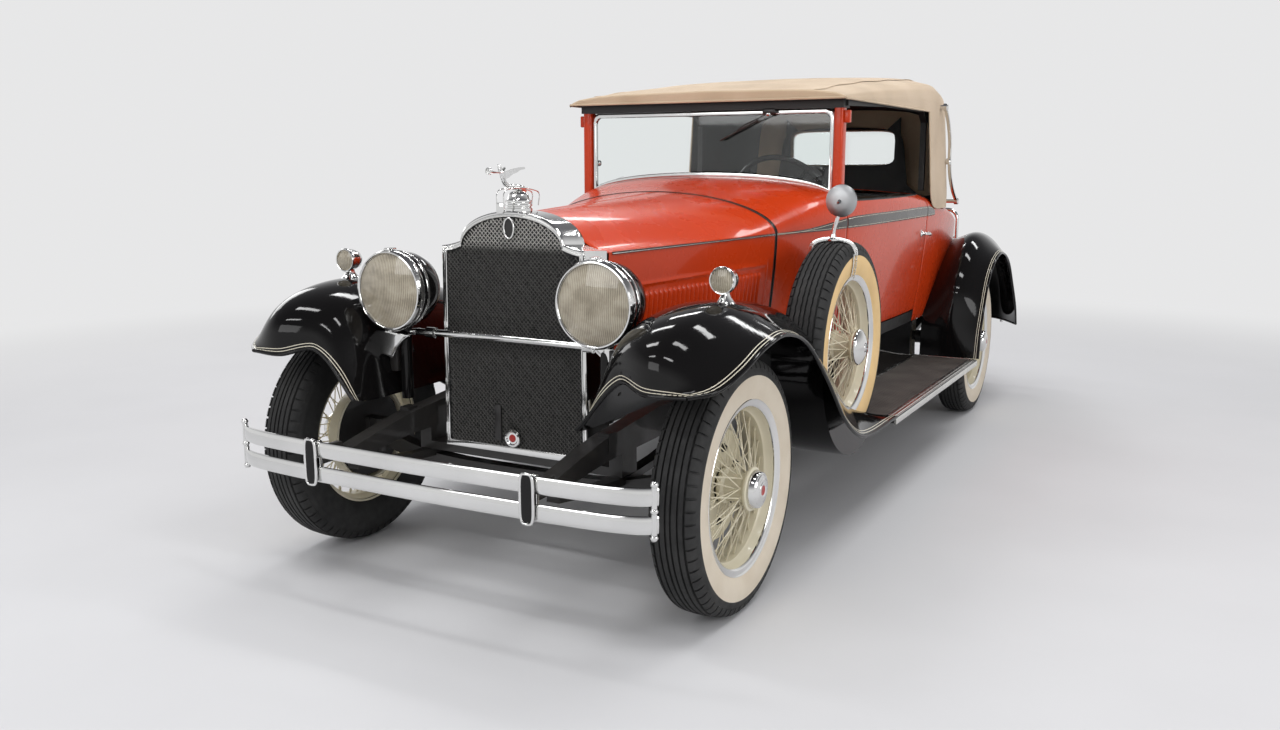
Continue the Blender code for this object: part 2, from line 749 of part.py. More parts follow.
def make_knuckle(name, side):
    """Steering knuckle: a fork round the axle's boss, the spindle, plate and arm."""
    x = side * KINGPIN_X
    height = TYRE_RADIUS
    web_x = x + side * 0.046
    lug = 0.032

    def span(a, b):
        return (min(a, b), max(a, b))

    fork = turned(name, disc_profile(KINGPIN_RADIUS, 0.0305, 0.0305 + lug), (x, 0, height),
                  (0, 0, 1), 12)
    lower = turned("lower", disc_profile(KINGPIN_RADIUS, -0.0305 - lug, -0.0305), (x, 0, height),
                   (0, 0, 1), 12)
    lo, hi = span(x, web_x)
    upper_arm = box("upper_arm", (lo, -0.022, height + 0.0305), (hi, 0.022, height + 0.0305 + lug))
    lower_arm = box("lower_arm", (lo, -0.022, height - 0.0305 - lug), (hi, 0.022, height - 0.0305))
    lo, hi = span(web_x - side * 0.008, web_x + side * 0.012)
    web = box("web", (lo, -0.026, height - 0.0305 - lug), (hi, 0.026, height + 0.0305 + lug))
    spindle_end = side * (WHEEL_PLANE_X + 0.030)
    lo, hi = span(web_x, spindle_end)
    spindle = turned("spindle", disc_profile(SPINDLE_RADIUS, lo, hi), (0, 0, height), (1, 0, 0),
                     SPINDLE_SIDES)
    plate_x = side * (WHEEL_PLANE_X - 0.062)
    plate = turned("plate", disc_profile(DRUM_RADIUS - 0.018, -0.003, 0.003), (plate_x, 0, height),
                   (1, 0, 0), 16)
    arm = sweep("arm", [(x, 0, height - 0.045), (x, 0.10, height - 0.045), (x, TIE_ROD_Y, height - 0.045)],
                flat_section(0.026, 0.024))
    return fused(fork, lower, upper_arm, lower_arm, web, spindle, plate, arm)


def make_tie_rod():
    rod = turned("tie_rod", disc_profile(0.012, -KINGPIN_X, KINGPIN_X), (0, TIE_ROD_Y, TIE_ROD_Z),
                 (1, 0, 0), 8)
    ends = []
    for side in (-1, 1):
        ends.append(turned("end", disc_profile(0.018, -0.014, 0.0175),
                           (side * KINGPIN_X, TIE_ROD_Y, TIE_ROD_Z), (0, 0, 1), 10))
    return fused(rod, *ends)


# Radiator

def shell_outline(y, half_width, shoulder_z, top_z, bottom_z, border=0.0):
    """Front view of the radiator: straight sides, flat shoulders and an arch."""
    foot = half_width * 0.72
    half = [(half_width + 0.008 - border, bottom_z + border), (half_width - border, shoulder_z - border),
            (foot - 0.2 * border, shoulder_z + 0.018 - border)]
    arch_foot = shoulder_z + 0.018 - border
    for i in range(1, 5):
        a = math.pi / 2 * i / 5
        x = (foot - 0.2 * border) * math.cos(a)
        z = arch_foot + (top_z - border - arch_foot) * math.sin(a)
        half.append((x, z))
    left = [(x, y, z) for x, z in half]
    right = [(-x, y, z) for x, z in reversed(half)]
    return left + [(0, y, top_z - border)] + right


def shell_ring(y, border=0.0):
    share = (y - SHELL_FRONT_Y) / SHELL_DEPTH
    return shell_outline(y, SHELL_HALF_WIDTH + 0.022 * share, SHELL_SHOULDER_Z - 0.006 * share,
                         SHELL_TOP_Z, SHELL_BOTTOM_Z, border)


def make_radiator_shell():
    rear = SHELL_FRONT_Y + SHELL_DEPTH
    shell = loft("radiator_shell", [shell_ring(y) for y in (SHELL_FRONT_Y, SHELL_FRONT_Y + 0.02, rear)])
    opening = loft("opening", [
        shell_outline(y, SHELL_HALF_WIDTH, SHELL_SHOULDER_Z, SHELL_TOP_Z, SHELL_BOTTOM_Z, SHELL_BORDER)
        for y in (SHELL_FRONT_Y - 0.1, rear + 0.1)])
    return cut(shell, opening)


def make_radiator_core():
    """Core with the stone guard's crossed diagonal wires standing on its face."""
    border = SHELL_BORDER + FIT_GAP
    rear = SHELL_FRONT_Y + SHELL_DEPTH - 0.01
    core = loft("radiator_core", [
        shell_outline(y, SHELL_HALF_WIDTH, SHELL_SHOULDER_Z, SHELL_TOP_Z, SHELL_BOTTOM_Z, border)
        for y in (SHELL_FRONT_Y, rear)])
    return common(core, guard_block(SHELL_FRONT_Y + GUARD_RECESS, rear + 0.1))


def guard_block(front, rear):
    """Block whose face is diamond dimples; the ridges between them are the wires."""
    step_x, step_z = GUARD_CELL_WIDTH / 2, GUARD_CELL_HEIGHT / 2
    half = math.ceil(SHELL_HALF_WIDTH / step_x) + 1
    tall = math.ceil((SHELL_TOP_Z - SHELL_BOTTOM_Z) / step_z) + 2
    columns = 2 * half + 1
    verts = []
    for j in range(tall):
        for i in range(columns):
            depth = GUARD_DEPTH * ((i + j) % 2)
            verts.append((step_x * (i - half), front + depth, SHELL_BOTTOM_Z + step_z * (j - 0.5)))
    faces = []
    for j in range(tall - 1):
        for i in range(columns - 1):
            a = j * columns + i
            b, c, d = a + 1, a + columns + 1, a + columns
            faces += [(a, b, c), (a, c, d)] if (i + j) % 2 == 0 else [(a, b, d), (b, c, d)]
    top = (tall - 1) * columns
    left = [j * columns for j in range(tall)]
    right = [j * columns + columns - 1 for j in range(tall)]
    count = len(verts)
    for corner in (0, columns - 1, top, top + columns - 1):
        x, y, z = verts[corner]
        verts.append((x, rear, z))
    faces += [left + [count + 2, count], right + [count + 3, count + 1],
              list(range(columns)) + [count + 1, count],
              list(range(top, top + columns)) + [count + 3, count + 2],
              [count, count + 1, count + 3, count + 2]]
    return mesh_object("guard_block", verts, faces)


def make_radiator_cap():
    """Filler cap with a plain winged finial."""
    base_y = SHELL_FRONT_Y + 0.055
    base_z = SHELL_TOP_Z + FIT_GAP
    cap = turned("radiator_cap", [(0, 0), (0.036, 0), (0.036, 0.018), (0.022, 0.030), (0, 0.030)],
                 (0, base_y, base_z), (0, 0, 1), 16)
    body = smooth_path([(0, base_y + 0.035, base_z + 0.030), (0, base_y, base_z + 0.065),
                        (0, base_y - 0.060, base_z + 0.110), (0, base_y - 0.105, base_z + 0.120)], 6)
    figure = sweep("figure", body, round_section(0.014, 6), up=(1, 0, 0))
    wings = []
    for side in (-1, 1):
        path = [(0, base_y - 0.02, base_z + 0.080), (side * 0.035, base_y + 0.03, base_z + 0.100),
                (side * 0.055, base_y + 0.085, base_z + 0.104)]
        wings.append(sweep("wing", path, flat_section(0.010, 0.030)))
    return fused(cap, figure, *wings)


# Lamps

def headlamp_profile(grow=0.0):
    r = HEADLAMP_RADIUS
    return [(0, -0.026 - grow), (0.6 * r, -0.019 - grow), (0.9 * r, -0.004 - grow), (r + grow, 0),
            (r + 0.002 + grow, 0.018), (r - 0.013 + grow, 0.032), (r - 0.022 + grow, 0.100),
            (r - 0.055 + grow, 0.160), (0.040, 0.190 + grow), (0, 0.195 + grow)]


def make_headlamp(name, side):
    place = (side * HEADLAMP_X, HEADLAMP_Y, HEADLAMP_Z)
    return turned(name, headlamp_profile(), place, (0, 1, 0), LAMP_SIDES)


def make_lamp_bar():
    post_y = LAMP_POST_Y
    bar_z = LAMP_TIE_Z
    bar_y = SHELL_FRONT_Y - 0.030
    bar = turned("lamp_bar", disc_profile(0.011, -HEADLAMP_X, HEADLAMP_X), (0, bar_y, bar_z), (1, 0, 0), 8)
    for side in (-1, 1):
        x = side * HEADLAMP_X
        foot_z = lamp_pad_top() + FIT_GAP
        post = sweep("post", [(x, post_y, foot_z), (x, post_y, HEADLAMP_Z)], round_section(0.018, 8),
                     up=(0, 1, 0))
        socket = box("socket", (x - 0.035, post_y - 0.035, bar_z - 0.03),
                     (x + 0.035, post_y + 0.050, HEADLAMP_Z - 0.090))
        fused(bar, post, socket)
        place = (x, HEADLAMP_Y, HEADLAMP_Z)
        lamp = turned("lamp", headlamp_profile(FIT_GAP * 2), place, (0, 1, 0), LAMP_SIDES)
        cut(bar, lamp)
    return bar


# Bumpers

def bumper_bar(front_y, back, z, sign):
    """One bowed spring bar; its ends curve back towards the wheels."""
    half = BUMPER_HALF_WIDTH
    shape = [(-1.0, 1.0), (-0.94, 0.55), (-0.80, 0.28), (-0.40, 0.06),
             (0.40, 0.06), (0.80, 0.28), (0.94, 0.55), (1.0, 1.0)]
    path = [(half * a, front_y + sign * back * b, z) for a, b in shape]
    section = [(-0.006, -BUMPER_BAR_HEIGHT / 2), (0.006, -BUMPER_BAR_HEIGHT / 2),
               (0.006, BUMPER_BAR_HEIGHT / 2), (-0.006, BUMPER_BAR_HEIGHT / 2)]
    if sign < 0:
        section = [(-a, b) for a, b in reversed(section)]
    return sweep("bumper_bar", path, section)


def make_bumper(name, front_y, back, sign, rail_end):
    upper = bumper_bar(front_y, back, BUMPER_UPPER_Z, sign)
    upper.name = name
    lower = bumper_bar(front_y, back, BUMPER_LOWER_Z, sign)
    middle = (BUMPER_UPPER_Z + BUMPER_LOWER_Z) / 2
    fittings = []
    for side in (-1, 1):
        x = side * BUMPER_CLAMP_X
        bar_y = front_y + sign * 0.10 * back
        near, far = sorted((bar_y - sign * 0.008, bar_y + sign * 0.030))
        fittings.append(box("clamp", (x - 0.025, near, BUMPER_LOWER_Z - 0.034),
                            (x + 0.025, far, BUMPER_UPPER_Z + 0.034)))
        near, far = sorted((bar_y + sign * 0.010, rail_end - sign * FIT_GAP))
        fittings.append(box("arm", (x - 0.020, near, middle - 0.018), (x + 0.010, far, middle + 0.040)))
        tip = front_y + sign * back
        near, far = sorted((tip - sign * 0.030, tip))
        fittings.append(box("end_bolt", (side * (BUMPER_HALF_WIDTH - 0.012) - 0.010, near,
                                         BUMPER_LOWER_Z - 0.01),
                            (side * (BUMPER_HALF_WIDTH - 0.012) + 0.010, far, BUMPER_UPPER_Z + 0.01)))
    return fused(upper, lower, *fittings)


# Fenders

def sheet_between(name, curves, rows, columns, thickness):
    """Pressed sheet whose sections are smooth curves through matching guide curves."""
    guides = [smooth_path(curve, rows) for curve in curves]
    grid = [smooth_path([guide[i] for guide in guides], columns) for i in range(rows)]
    verts = [p for row in grid for p in row]
    faces = []
    for i in range(rows - 1):
        for j in range(columns - 1):
            a = i * columns + j
            faces.append((a, a + 1, a + columns + 1, a + columns))
    mesh = bpy.data.meshes.new(name)
    mesh.from_pydata([tuple(v) for v in verts], [], faces)
    obj = bpy.data.objects.new(name, mesh)
    bpy.context.scene.collection.objects.link(obj)
    skin = obj.modifiers.new("Solidify", "SOLIDIFY")
    skin.thickness = thickness
    skin.offset = -1
    skin.use_even_offset = True
    apply_modifiers(obj)
    work = bmesh.new()
    work.from_mesh(obj.data)
    bmesh.ops.recalc_face_normals(work, faces=work.faces)
    work.to_mesh(obj.data)
    work.free()
    return obj, grid


def front_fender_curves():
    edge = FENDER_EDGE_X
    crown = FENDER_CROWN_X
    board = BOARD_TOP_Z
    end = BOARD_FRONT_Y - FIT_GAP
    side = edge - 0.405
    outer = [(edge - 0.110, -0.424, 0.783), (edge - 0.050, -0.365, 0.795), (edge - 0.015, -0.262, 0.838),
             (edge - 0.003, -0.120, 0.890), (edge, 0.040, 0.908), (edge, 0.230, 0.855), (edge, 0.440, 0.700),
             (edge, 0.680, 0.495), (edge, 0.900, 0.400), (edge, end, board)]
    top = [(crown - 0.050, -0.428, 0.780), (crown - 0.025, -0.418, 0.880), (crown - 0.005, -0.335, 0.950),
           (crown, -0.180, 0.993), (crown, 0.000, 1.002), (crown, 0.250, 0.968), (crown, 0.520, 0.895),
           (crown, 0.780, 0.760), (crown, 0.980, 0.560), (crown, end, board)]
    shoulder = [(side + 0.050, -0.372, 0.795), (side + 0.030, -0.362, 0.845), (side + 0.010, -0.300, 0.895),
                (side, -0.170, 0.929), (side, 0.000, 0.940), (side + 0.010, 0.250, 0.905),
                (side + 0.030, 0.520, 0.830), (side + 0.050, 0.780, 0.690), (side + 0.060, 0.980, 0.520),
                (side + 0.080, end, board)]
    return outer, top, shoulder


def make_front_fender():
    outer, top, shoulder = front_fender_curves()
    wall = RAIL_X + RAIL_WIDTH / 2 + 0.012
    inner = [(wall + 0.006, -0.366, 0.635), (wall + 0.004, -0.350, 0.628), (wall, -0.280, 0.620),
             (wall, -0.160, 0.620), (wall, 0.000, 0.620), (wall, 0.250, 0.620), (wall, 0.520, 0.600),
             (wall + 0.01, 0.780, 0.560), (wall + 0.03, 0.980, 0.480),
             (BOARD_INNER_X, BOARD_FRONT_Y - FIT_GAP, BOARD_TOP_Z)]
    fender, grid = sheet_between("front_fender_left", (outer, top, shoulder, inner), 13, 8, FENDER_SHEET)
    fused(fender, make_fender_lamp(grid))
    add_well(fender, grid)
    return cut(fender, far_box("board_end", y=(BOARD_FRONT_Y - FIT_GAP, 8)))


def add_well(fender, grid):
    """Pan pressed into the fender, in which the spare wheel stands."""
    slot_half = TYRE_WIDTH / 2 + WELL_SIDE_PLAY
    opening = well_drum("opening", TYRE_RADIUS + FIT_GAP, slot_half)
    pan = well_drum("pan", TYRE_RADIUS + WELL_SHEET, slot_half + WELL_SHEET)
    common(pan, under_fender(grid))
    fused(fender, pan)
    return cut(fender, opening)


def under_fender(grid):
    """Everything under the middle of the fender's sheet."""
    below = []
    for row in grid:
        first, last = row[0], row[-1]
        raised = [(p.x, p.y, p.z + FENDER_SHEET / 2) for p in row]
        below.append(raised + [(last.x, last.y, 0.0), (first.x, first.y, 0.0)])
    return loft("under_fender", below)


def make_fender_lamp(grid):
    """Small lamp on a waisted pedestal, cut to the fender's crown."""
    r = FENDER_LAMP_RADIUS
    x, y, z = FENDER_CROWN_X, FENDER_LAMP_Y, FENDER_LAMP_Z
    lamp = turned("fender_lamp", [(0, -0.019), (r - 0.006, -0.016), (r, -0.009), (r - 0.003, 0.016),
                                  (r - 0.022, 0.058), (0, 0.064)], (x, y, z), (0, 1, 0), FENDER_LAMP_SIDES)
    rings = []
    waist = [(0.100, 0.030, 0.052), (0.060, 0.024, 0.040), (r - 0.008, 0.013, 0.020)]
    for drop, half_width, half_length in waist:
        ring = round_section(1.0, FENDER_LAMP_SIDES)
        rings.append([(x + half_width * a, y + 0.012 + half_length * b, z - drop) for a, b in ring])
    pedestal = loft("pedestal", rings)
    cut(pedestal, under_fender(grid))
    return fused(lamp, pedestal)


def well_drum(name, radius, half):
    """Drum about the spare wheel's axle with the tyre's own number of sides."""
    return wheel_turned(name, [(0, -half), (radius, -half), (radius, half), (0, half)],
                        SPARE_X, SPARE_Y, SPARE_Z)


def rear_fender_curves():
    edge = FENDER_EDGE_X
    axle = WHEELBASE
    start = BOARD_REAR_Y + FIT_GAP
    outer = [(edge, start + 0.010, BOARD_TOP_Z), (edge, axle - 0.430, 0.520), (edge, axle - 0.360, 0.680),
             (edge, axle - 0.280, 0.800), (edge, axle - 0.140, 0.890), (edge, axle + 0.050, 0.924),
             (edge, axle + 0.270, 0.860), (edge, axle + 0.440, 0.710), (edge, axle + 0.580, 0.560),
             (edge - 0.01, axle + 0.700, 0.430)]
    crown = WHEEL_PLANE_X + 0.020
    wall = BODY_HALF_WIDTH - 0.060
    top = [(crown, start, BOARD_TOP_Z), (crown, start + 0.020, 0.600), (crown, axle - 0.410, 0.770),
           (crown, axle - 0.280, 0.920), (crown, axle - 0.090, 1.010), (crown, axle + 0.110, 1.030),
           (crown, axle + 0.360, 0.995), (crown, axle + 0.610, 0.890), (crown, axle + 0.790, 0.700),
           (crown - 0.01, axle + 0.870, 0.440)]
    inner = [(wall, start, BOARD_TOP_Z), (wall, start + 0.030, 0.600), (wall, axle - 0.270, 0.760),
             (wall, axle - 0.070, 0.890), (wall, axle + 0.070, 0.955), (wall, axle + 0.230, 0.980),
             (wall - 0.030, axle + 0.420, 0.930), (wall - 0.080, axle + 0.600, 0.830),
             (wall - 0.120, axle + 0.740, 0.680), (wall - 0.140, axle + 0.800, 0.480)]
    return outer, top, inner


def make_rear_fender():
    fender, grid = sheet_between("rear_fender_left", rear_fender_curves(), 13, 7, FENDER_SHEET)
    return cut(fender, far_box("board_end", y=(-3, BOARD_REAR_Y + FIT_GAP)))


def make_running_board():
    low = BOARD_TOP_Z - BOARD_THICKNESS
    board = box("running_board_left", (BOARD_INNER_X, BOARD_FRONT_Y, low),
                (FENDER_EDGE_X, BOARD_REAR_Y, BOARD_TOP_Z), bevel=0.006)
    apron = box("apron", (BOARD_INNER_X, BOARD_FRONT_Y, low),
                (BOARD_INNER_X + 0.012, BOARD_REAR_Y, BODY_BOTTOM_Z - FIT_GAP))
    reach = RAIL_X + RAIL_WIDTH / 2 + FIT_GAP
    arms = []
    for y in (BOARD_FRONT_Y + 0.4, BOARD_REAR_Y - 0.4):
        arms.append(box("arm", (reach, y - 0.025, RAIL_TOP_Z - 0.10),
                        (BOARD_INNER_X + 0.006, y + 0.025, RAIL_TOP_Z - 0.07)))
    return fused(board, apron, *arms)


def make_spare(name, master_tyre, master_wheel):
    tyre = copy_of(master_tyre, name)
    wheel = copy_of(master_wheel, "spare_rim")
    fused(tyre, wheel)
    tyre.data.transform(Matrix.Translation((SPARE_X, SPARE_Y, SPARE_Z)))
    stalk_y = SPARE_Y - 0.060
    top = SPARE_Z + TYRE_RADIUS
    stalk = sweep("stalk", [(SPARE_X, stalk_y, top - 0.02), (SPARE_X + 0.02, stalk_y, 1.240)],
                  round_section(0.007, 6), up=(0, 1, 0))
    mirror = turned("mirror", [(0, -0.010), (0.056, -0.004), (0.060, 0.006), (0, 0.010)],
                    (SPARE_X + 0.03, stalk_y - 0.005, 1.287), (0, 1, 0), 16)
    return fused(tyre, stalk, mirror)


# Body panels split from one shell

def far_box(name, x=(-2, 2), y=(-3, 8), z=(-1, 4)):
    return box(name, (x[0], y[0], z[0]), (x[1], y[1], z[1]))


def body_guard():
    """The body's outside grown by the fitting gap, which trims what seats on it."""
    return body_solid("body_guard", HOOD_REAR_Y, TAIL_Y + 2 * FIT_GAP, 17, -2 * FIT_GAP)


def make_tub():
    """Whole body shell from the cowl to the tail, hollow and open over the cabin."""
    tub = body_solid("tub", HOOD_REAR_Y, TAIL_Y, 17)
    footwell = body_solid("footwell", HOOD_REAR_Y + FIREWALL, COWL_REAR_Y + 0.002, 5, BODY_WALL)
    cabin = body_solid("cabin", COWL_REAR_Y, CABIN_REAR_Y, 8, BODY_WALL, 0.3)
    rumble = body_solid("rumble", CABIN_REAR_Y + BULKHEAD, TAIL_Y - BODY_WALL, 7, BODY_WALL)
    cut(tub, footwell, cabin, rumble)
    cut(tub, far_box("over_cabin", y=(COWL_REAR_Y, CABIN_REAR_Y), z=(WINDOW_SILL_Z, 4)))
    return tub


def make_lid(tub):
    gap = RUNNING_GAP
    opening = box("lid_opening", (-LID_HALF_WIDTH, LID_FRONT_Y, 0.90), (LID_HALF_WIDTH, LID_REAR_Y, 1.6))
    outer = body_solid("rumble_lid", HOOD_REAR_Y, TAIL_Y, 21)
    inner = body_solid("lid_hollow", HOOD_REAR_Y, TAIL_Y - BODY_WALL, 21, 0.030)
    cut(outer, inner)
    plug = box("plug", (-LID_HALF_WIDTH + gap, LID_FRONT_Y + gap, 0.90),
               (LID_HALF_WIDTH - gap, LID_REAR_Y - gap, 1.6))
    lid = common(outer, plug)
    cut(tub, opening)
    return lid


def split_tub(tub):
    half = FIT_GAP / 2
    gap = RUNNING_GAP / 2
    cowl = copy_of(tub, "cowl")
    common(cowl, far_box("a", y=(-3, COWL_REAR_Y - half)))
    rear = copy_of(tub, "rear_body")
    common(rear, far_box("b", y=(DOOR_REAR_Y + half, 8)))
    floor = copy_of(tub, "floor")
    common(floor, far_box("c", y=(COWL_REAR_Y + half, DOOR_REAR_Y - half), z=(-1, DOOR_BOTTOM_Z)))
    door = copy_of(tub, "door_left")
    common(door, far_box("d", x=(0, 2), y=(COWL_REAR_Y + 2 * gap, DOOR_REAR_Y - 2 * gap),
                         z=(DOOR_BOTTOM_Z + 2 * gap, 4)))
    bpy.data.objects.remove(tub, do_unlink=True)
    return cowl, rear, floor, door


def add_door_handle(door):
    y = DOOR_REAR_Y - 0.060
    z = 1.071
    x = side_x(y, z)
    stem = turned("stem", disc_profile(0.010, -0.020, 0.045), (x, y, z), (1, 0, 0), 8)
    grip = sweep("grip", [(x + 0.042, y + 0.025, z), (x + 0.046, y - 0.040, z),
                          (x + 0.040, y - 0.100, z)], round_section(0.008, 6))
    return fused(door, stem, grip)


def hinge_barrel(y_axis, x_axis, low, high):
    return turned("barrel", disc_profile(DOOR_BARREL_RADIUS, low, high), (x_axis, y_axis, 0), (0, 0, 1), 10)


def add_door_hinges(cowl, door):
    """Outside hinges on the door's front edge: one barrel on the cowl, the next on the door."""
    x, y = door_hinge_place()
    for z in DOOR_HINGE_HEIGHTS:
        low, middle, high = z - 0.030, z, z + 0.030
        inner_x = side_x(y, z) - 0.015
        lug = box("lug", (inner_x, y - 0.030, low), (x, y - 0.004, middle - FIT_GAP))
        lower = hinge_barrel(y, x, low, middle - FIT_GAP)
        fused(lower, lug)
        twin = mirrored(lower, "lug_right")
        fused(cowl, lower, twin)
        leaf = box("leaf", (inner_x, y + 0.004, middle), (x, y + 0.030, high))
        fused(door, leaf, hinge_barrel(y, x, middle, high))
    return door


def door_hinge_place():
    return body_half_width(COWL_REAR_Y) + DOOR_BARREL_RADIUS, COWL_REAR_Y + RUNNING_GAP / 2


def make_hood_top():
    """One half of the hood top, hinged along the centre line."""
    outer = body_solid("hood_top_left", HOOD_FRONT_Y, HOOD_REAR_Y - RUNNING_GAP, 7)
    inner = body_solid("inner", HOOD_FRONT_Y - 0.1, HOOD_REAR_Y + 0.1, 9, HOOD_SHEET)
    cut(outer, inner)
    half = far_box("half", x=(RUNNING_GAP / 2, 2), z=(0, 4))
    common(outer, half)
    belt = hood_parting("belt", -1, HOOD_EDGE)
    cut(outer, belt, hood_centre_rod("centre_seat", HINGE_ROD_PLAY))
    return fused(outer, hood_belt_rod("belt_rod", 0.0, 0.001))


def hood_ends():
    return HOOD_FRONT_Y, HOOD_REAR_Y - RUNNING_GAP


def hood_belt_point(y):
    """Point of the straight hinge line between the hood's top and its side."""
    front, rear = hood_ends()
    share = (y - front) / (rear - front)
    x = body_half_width(front) + (body_half_width(rear) - body_half_width(front)) * share
    z = belt_height(front) + (belt_height(rear) - belt_height(front)) * share
    return Vector((x - HOOD_SHEET - 0.001, y, z))


def hood_crown_point(y):
    front, rear = hood_ends()
    share = (y - front) / (rear - front)
    return Vector((0, y, crown_height(front) + (crown_height(rear) - crown_height(front)) * share + 0.004))


def hood_parting(name, way, edge):
    """Everything below (-1) or above (1) the parting line at the belt."""
    far = 0.0 if way < 0 else 4.0
    rings = []
    for y in (HOOD_FRONT_Y - 0.1, HOOD_REAR_Y + 0.1):
        z = hood_belt_point(y).z - way * edge
        rings.append([(-1, y, far), (2, y, far), (2, y, z), (-1, y, z)])
    return loft(name, rings)


def hood_belt_rod(name, grow, short):
    front, rear = hood_ends()
    ends = [hood_belt_point(front + short), hood_belt_point(rear - short)]
    return sweep(name, ends, round_section(HINGE_ROD_RADIUS + grow, HINGE_ROD_SIDES))


def hood_centre_rod(name, grow):
    """Hinge rod along the crown, from the cowl to the back of the radiator shell."""
    shell_rear = SHELL_FRONT_Y + SHELL_DEPTH
    ends = [hood_crown_point(shell_rear + FIT_GAP - grow), hood_crown_point(HOOD_REAR_Y + 0.01)]
    return sweep(name, ends, round_section(HINGE_ROD_RADIUS + grow, HINGE_ROD_SIDES))


def make_hood_side():
    outer = body_solid("hood_side_left", HOOD_FRONT_Y, HOOD_REAR_Y - RUNNING_GAP, 7)
    inner = body_solid("inner", HOOD_FRONT_Y - 0.1, HOOD_REAR_Y + 0.1, 9, HOOD_SHEET)
    cut(outer, inner)
    common(outer, far_box("half", x=(0.1, 2), z=(HOOD_SKIRT_Z, 4)))
    fused(outer, *make_louvres())
    belt = hood_parting("belt", 1, HOOD_EDGE)
    return cut(outer, belt, hood_belt_rod("belt_seat", HINGE_ROD_PLAY, -0.05))


def make_louvres():
    """Upright louvres pressed out of the side, each open to the rear."""
    pitch = (LOUVRE_REAR_Y - LOUVRE_FRONT_Y) / LOUVRES
    louvres = []
    for k in range(LOUVRES):
        y = LOUVRE_FRONT_Y + pitch * k
        rings = []
        for z, rise in ((LOUVRE_LOW_Z, 0.0), (LOUVRE_LOW_Z + 0.012, LOUVRE_RISE),
                        (LOUVRE_HIGH_Z - 0.012, LOUVRE_RISE), (LOUVRE_HIGH_Z, 0.0)):
            x = side_x(y, z)
            crest = y + 0.70 * pitch
            rings.append([(x - LOUVRE_ROOT, y, z), (x + rise, crest, z),
                          (x - LOUVRE_ROOT, crest + 0.001, z)])
        louvres.append(loft("louvre", rings))
    return louvres


# Windshield, top and fittings

def add_posts(cowl):
    for side in (-1, 1):
        x = side * (WINDSHIELD_HALF_WIDTH + POST_WIDTH / 2 + FIT_GAP)
        post = box("post", (x - POST_WIDTH / 2, WINDSHIELD_Y - 0.030, WINDOW_SILL_Z - 0.050),
                   (x + POST_WIDTH / 2, COWL_REAR_Y - 0.001, WINDSHIELD_TOP_Z))
        fused(cowl, post)
    return cowl


def add_dashboard(cowl):
    y = COWL_REAR_Y - 0.110
    dash = body_solid("dash", y, y + 0.015, 2, BODY_WALL - 0.005)
    common(dash, far_box("band", z=(0.980, 4)))
    direction = Vector((0, math.cos(COLUMN_SLOPE), math.sin(COLUMN_SLOPE)))
    wheel = Vector((STEERING_X, STEERING_Y, STEERING_Z))
    reach = (STEERING_Y - HOOD_REAR_Y) / math.cos(COLUMN_SLOPE)
    column = sweep("column", [wheel - direction * reach, wheel - direction * (STEERING_HUB + FIT_GAP)],
                   round_section(0.020, 8))
    return fused(cowl, dash, column, hood_centre_rod("hood_rod", 0.0))


def make_windshield_frame():
    half = WINDSHIELD_HALF_WIDTH
    y = WINDSHIELD_Y
    outer = []
    for i in range(9):
        x = half * (1 - i / 4)
        outer.append((x, windshield_foot(x)))
    rings = []
    opening = []
    for depth in (-0.010, 0.010):
        lower = [(x, y + depth, z) for x, z in outer]
        rings.append(lower + [(-half, y + depth, WINDSHIELD_TOP_Z), (half, y + depth, WINDSHIELD_TOP_Z)])
    for depth in (-0.1, 0.1):
        lower = [(x * (half - 0.020) / half, y + depth, z + 0.026) for x, z in outer]
        top = WINDSHIELD_TOP_Z - 0.022
        opening.append(lower + [(-half + 0.020, y + depth, top), (half - 0.020, y + depth, top)])
    frame = loft("windshield_frame", rings)
    return cut(frame, loft("opening", opening), body_guard())


def windshield_foot(x):
    """Lower edge of the windshield, which follows the cowl."""
    share = abs(x) / body_half_width(WINDSHIELD_Y)
    return crown_z(WINDSHIELD_Y, share) - 0.004


def make_windshield_glass():
    half = WINDSHIELD_HALF_WIDTH - 0.020 - FIT_GAP
    rings = []
    for depth in (-0.003, 0.003):
        y = WINDSHIELD_Y + depth
        lower = []
        for i in range(9):
            x = half * (1 - i / 4)
            full = x * WINDSHIELD_HALF_WIDTH / (WINDSHIELD_HALF_WIDTH - 0.020)
            lower.append((x, y, windshield_foot(full) + 0.026 + FIT_GAP))
        top = WINDSHIELD_TOP_Z - 0.022 - FIT_GAP
        rings.append(lower + [(-half, y, top), (half, y, top)])
    return loft("windshield_glass", rings)


def roof_height(y):
    run = TOP_REAR_Y - TOP_FRONT_Y
    return smooth_value([
        (TOP_FRONT_Y, 1.744),
        (TOP_FRONT_Y + 0.20 * run, 1.805),
        (TOP_FRONT_Y + 0.50 * run, 1.860),
        (TOP_FRONT_Y + 0.75 * run, 1.885),
        (TOP_FRONT_Y + 0.90 * run, 1.830),
        (TOP_REAR_Y - 0.040, 1.740),
        (TOP_REAR_Y, 1.640)], y)


def roof_half_width(y):
    return min(TOP_HALF_WIDTH, smooth_value([
        (TOP_FRONT_Y, TOP_HALF_WIDTH),
        (TOP_REAR_Y - 0.42, TOP_HALF_WIDTH),
        (TOP_REAR_Y - 0.22, TOP_HALF_WIDTH - 0.025),
        (TOP_REAR_Y - 0.09, TOP_HALF_WIDTH - 0.095),
        (TOP_REAR_Y - 0.02, TOP_HALF_WIDTH - 0.190),
        (TOP_REAR_Y, TOP_HALF_WIDTH - 0.280)], y))


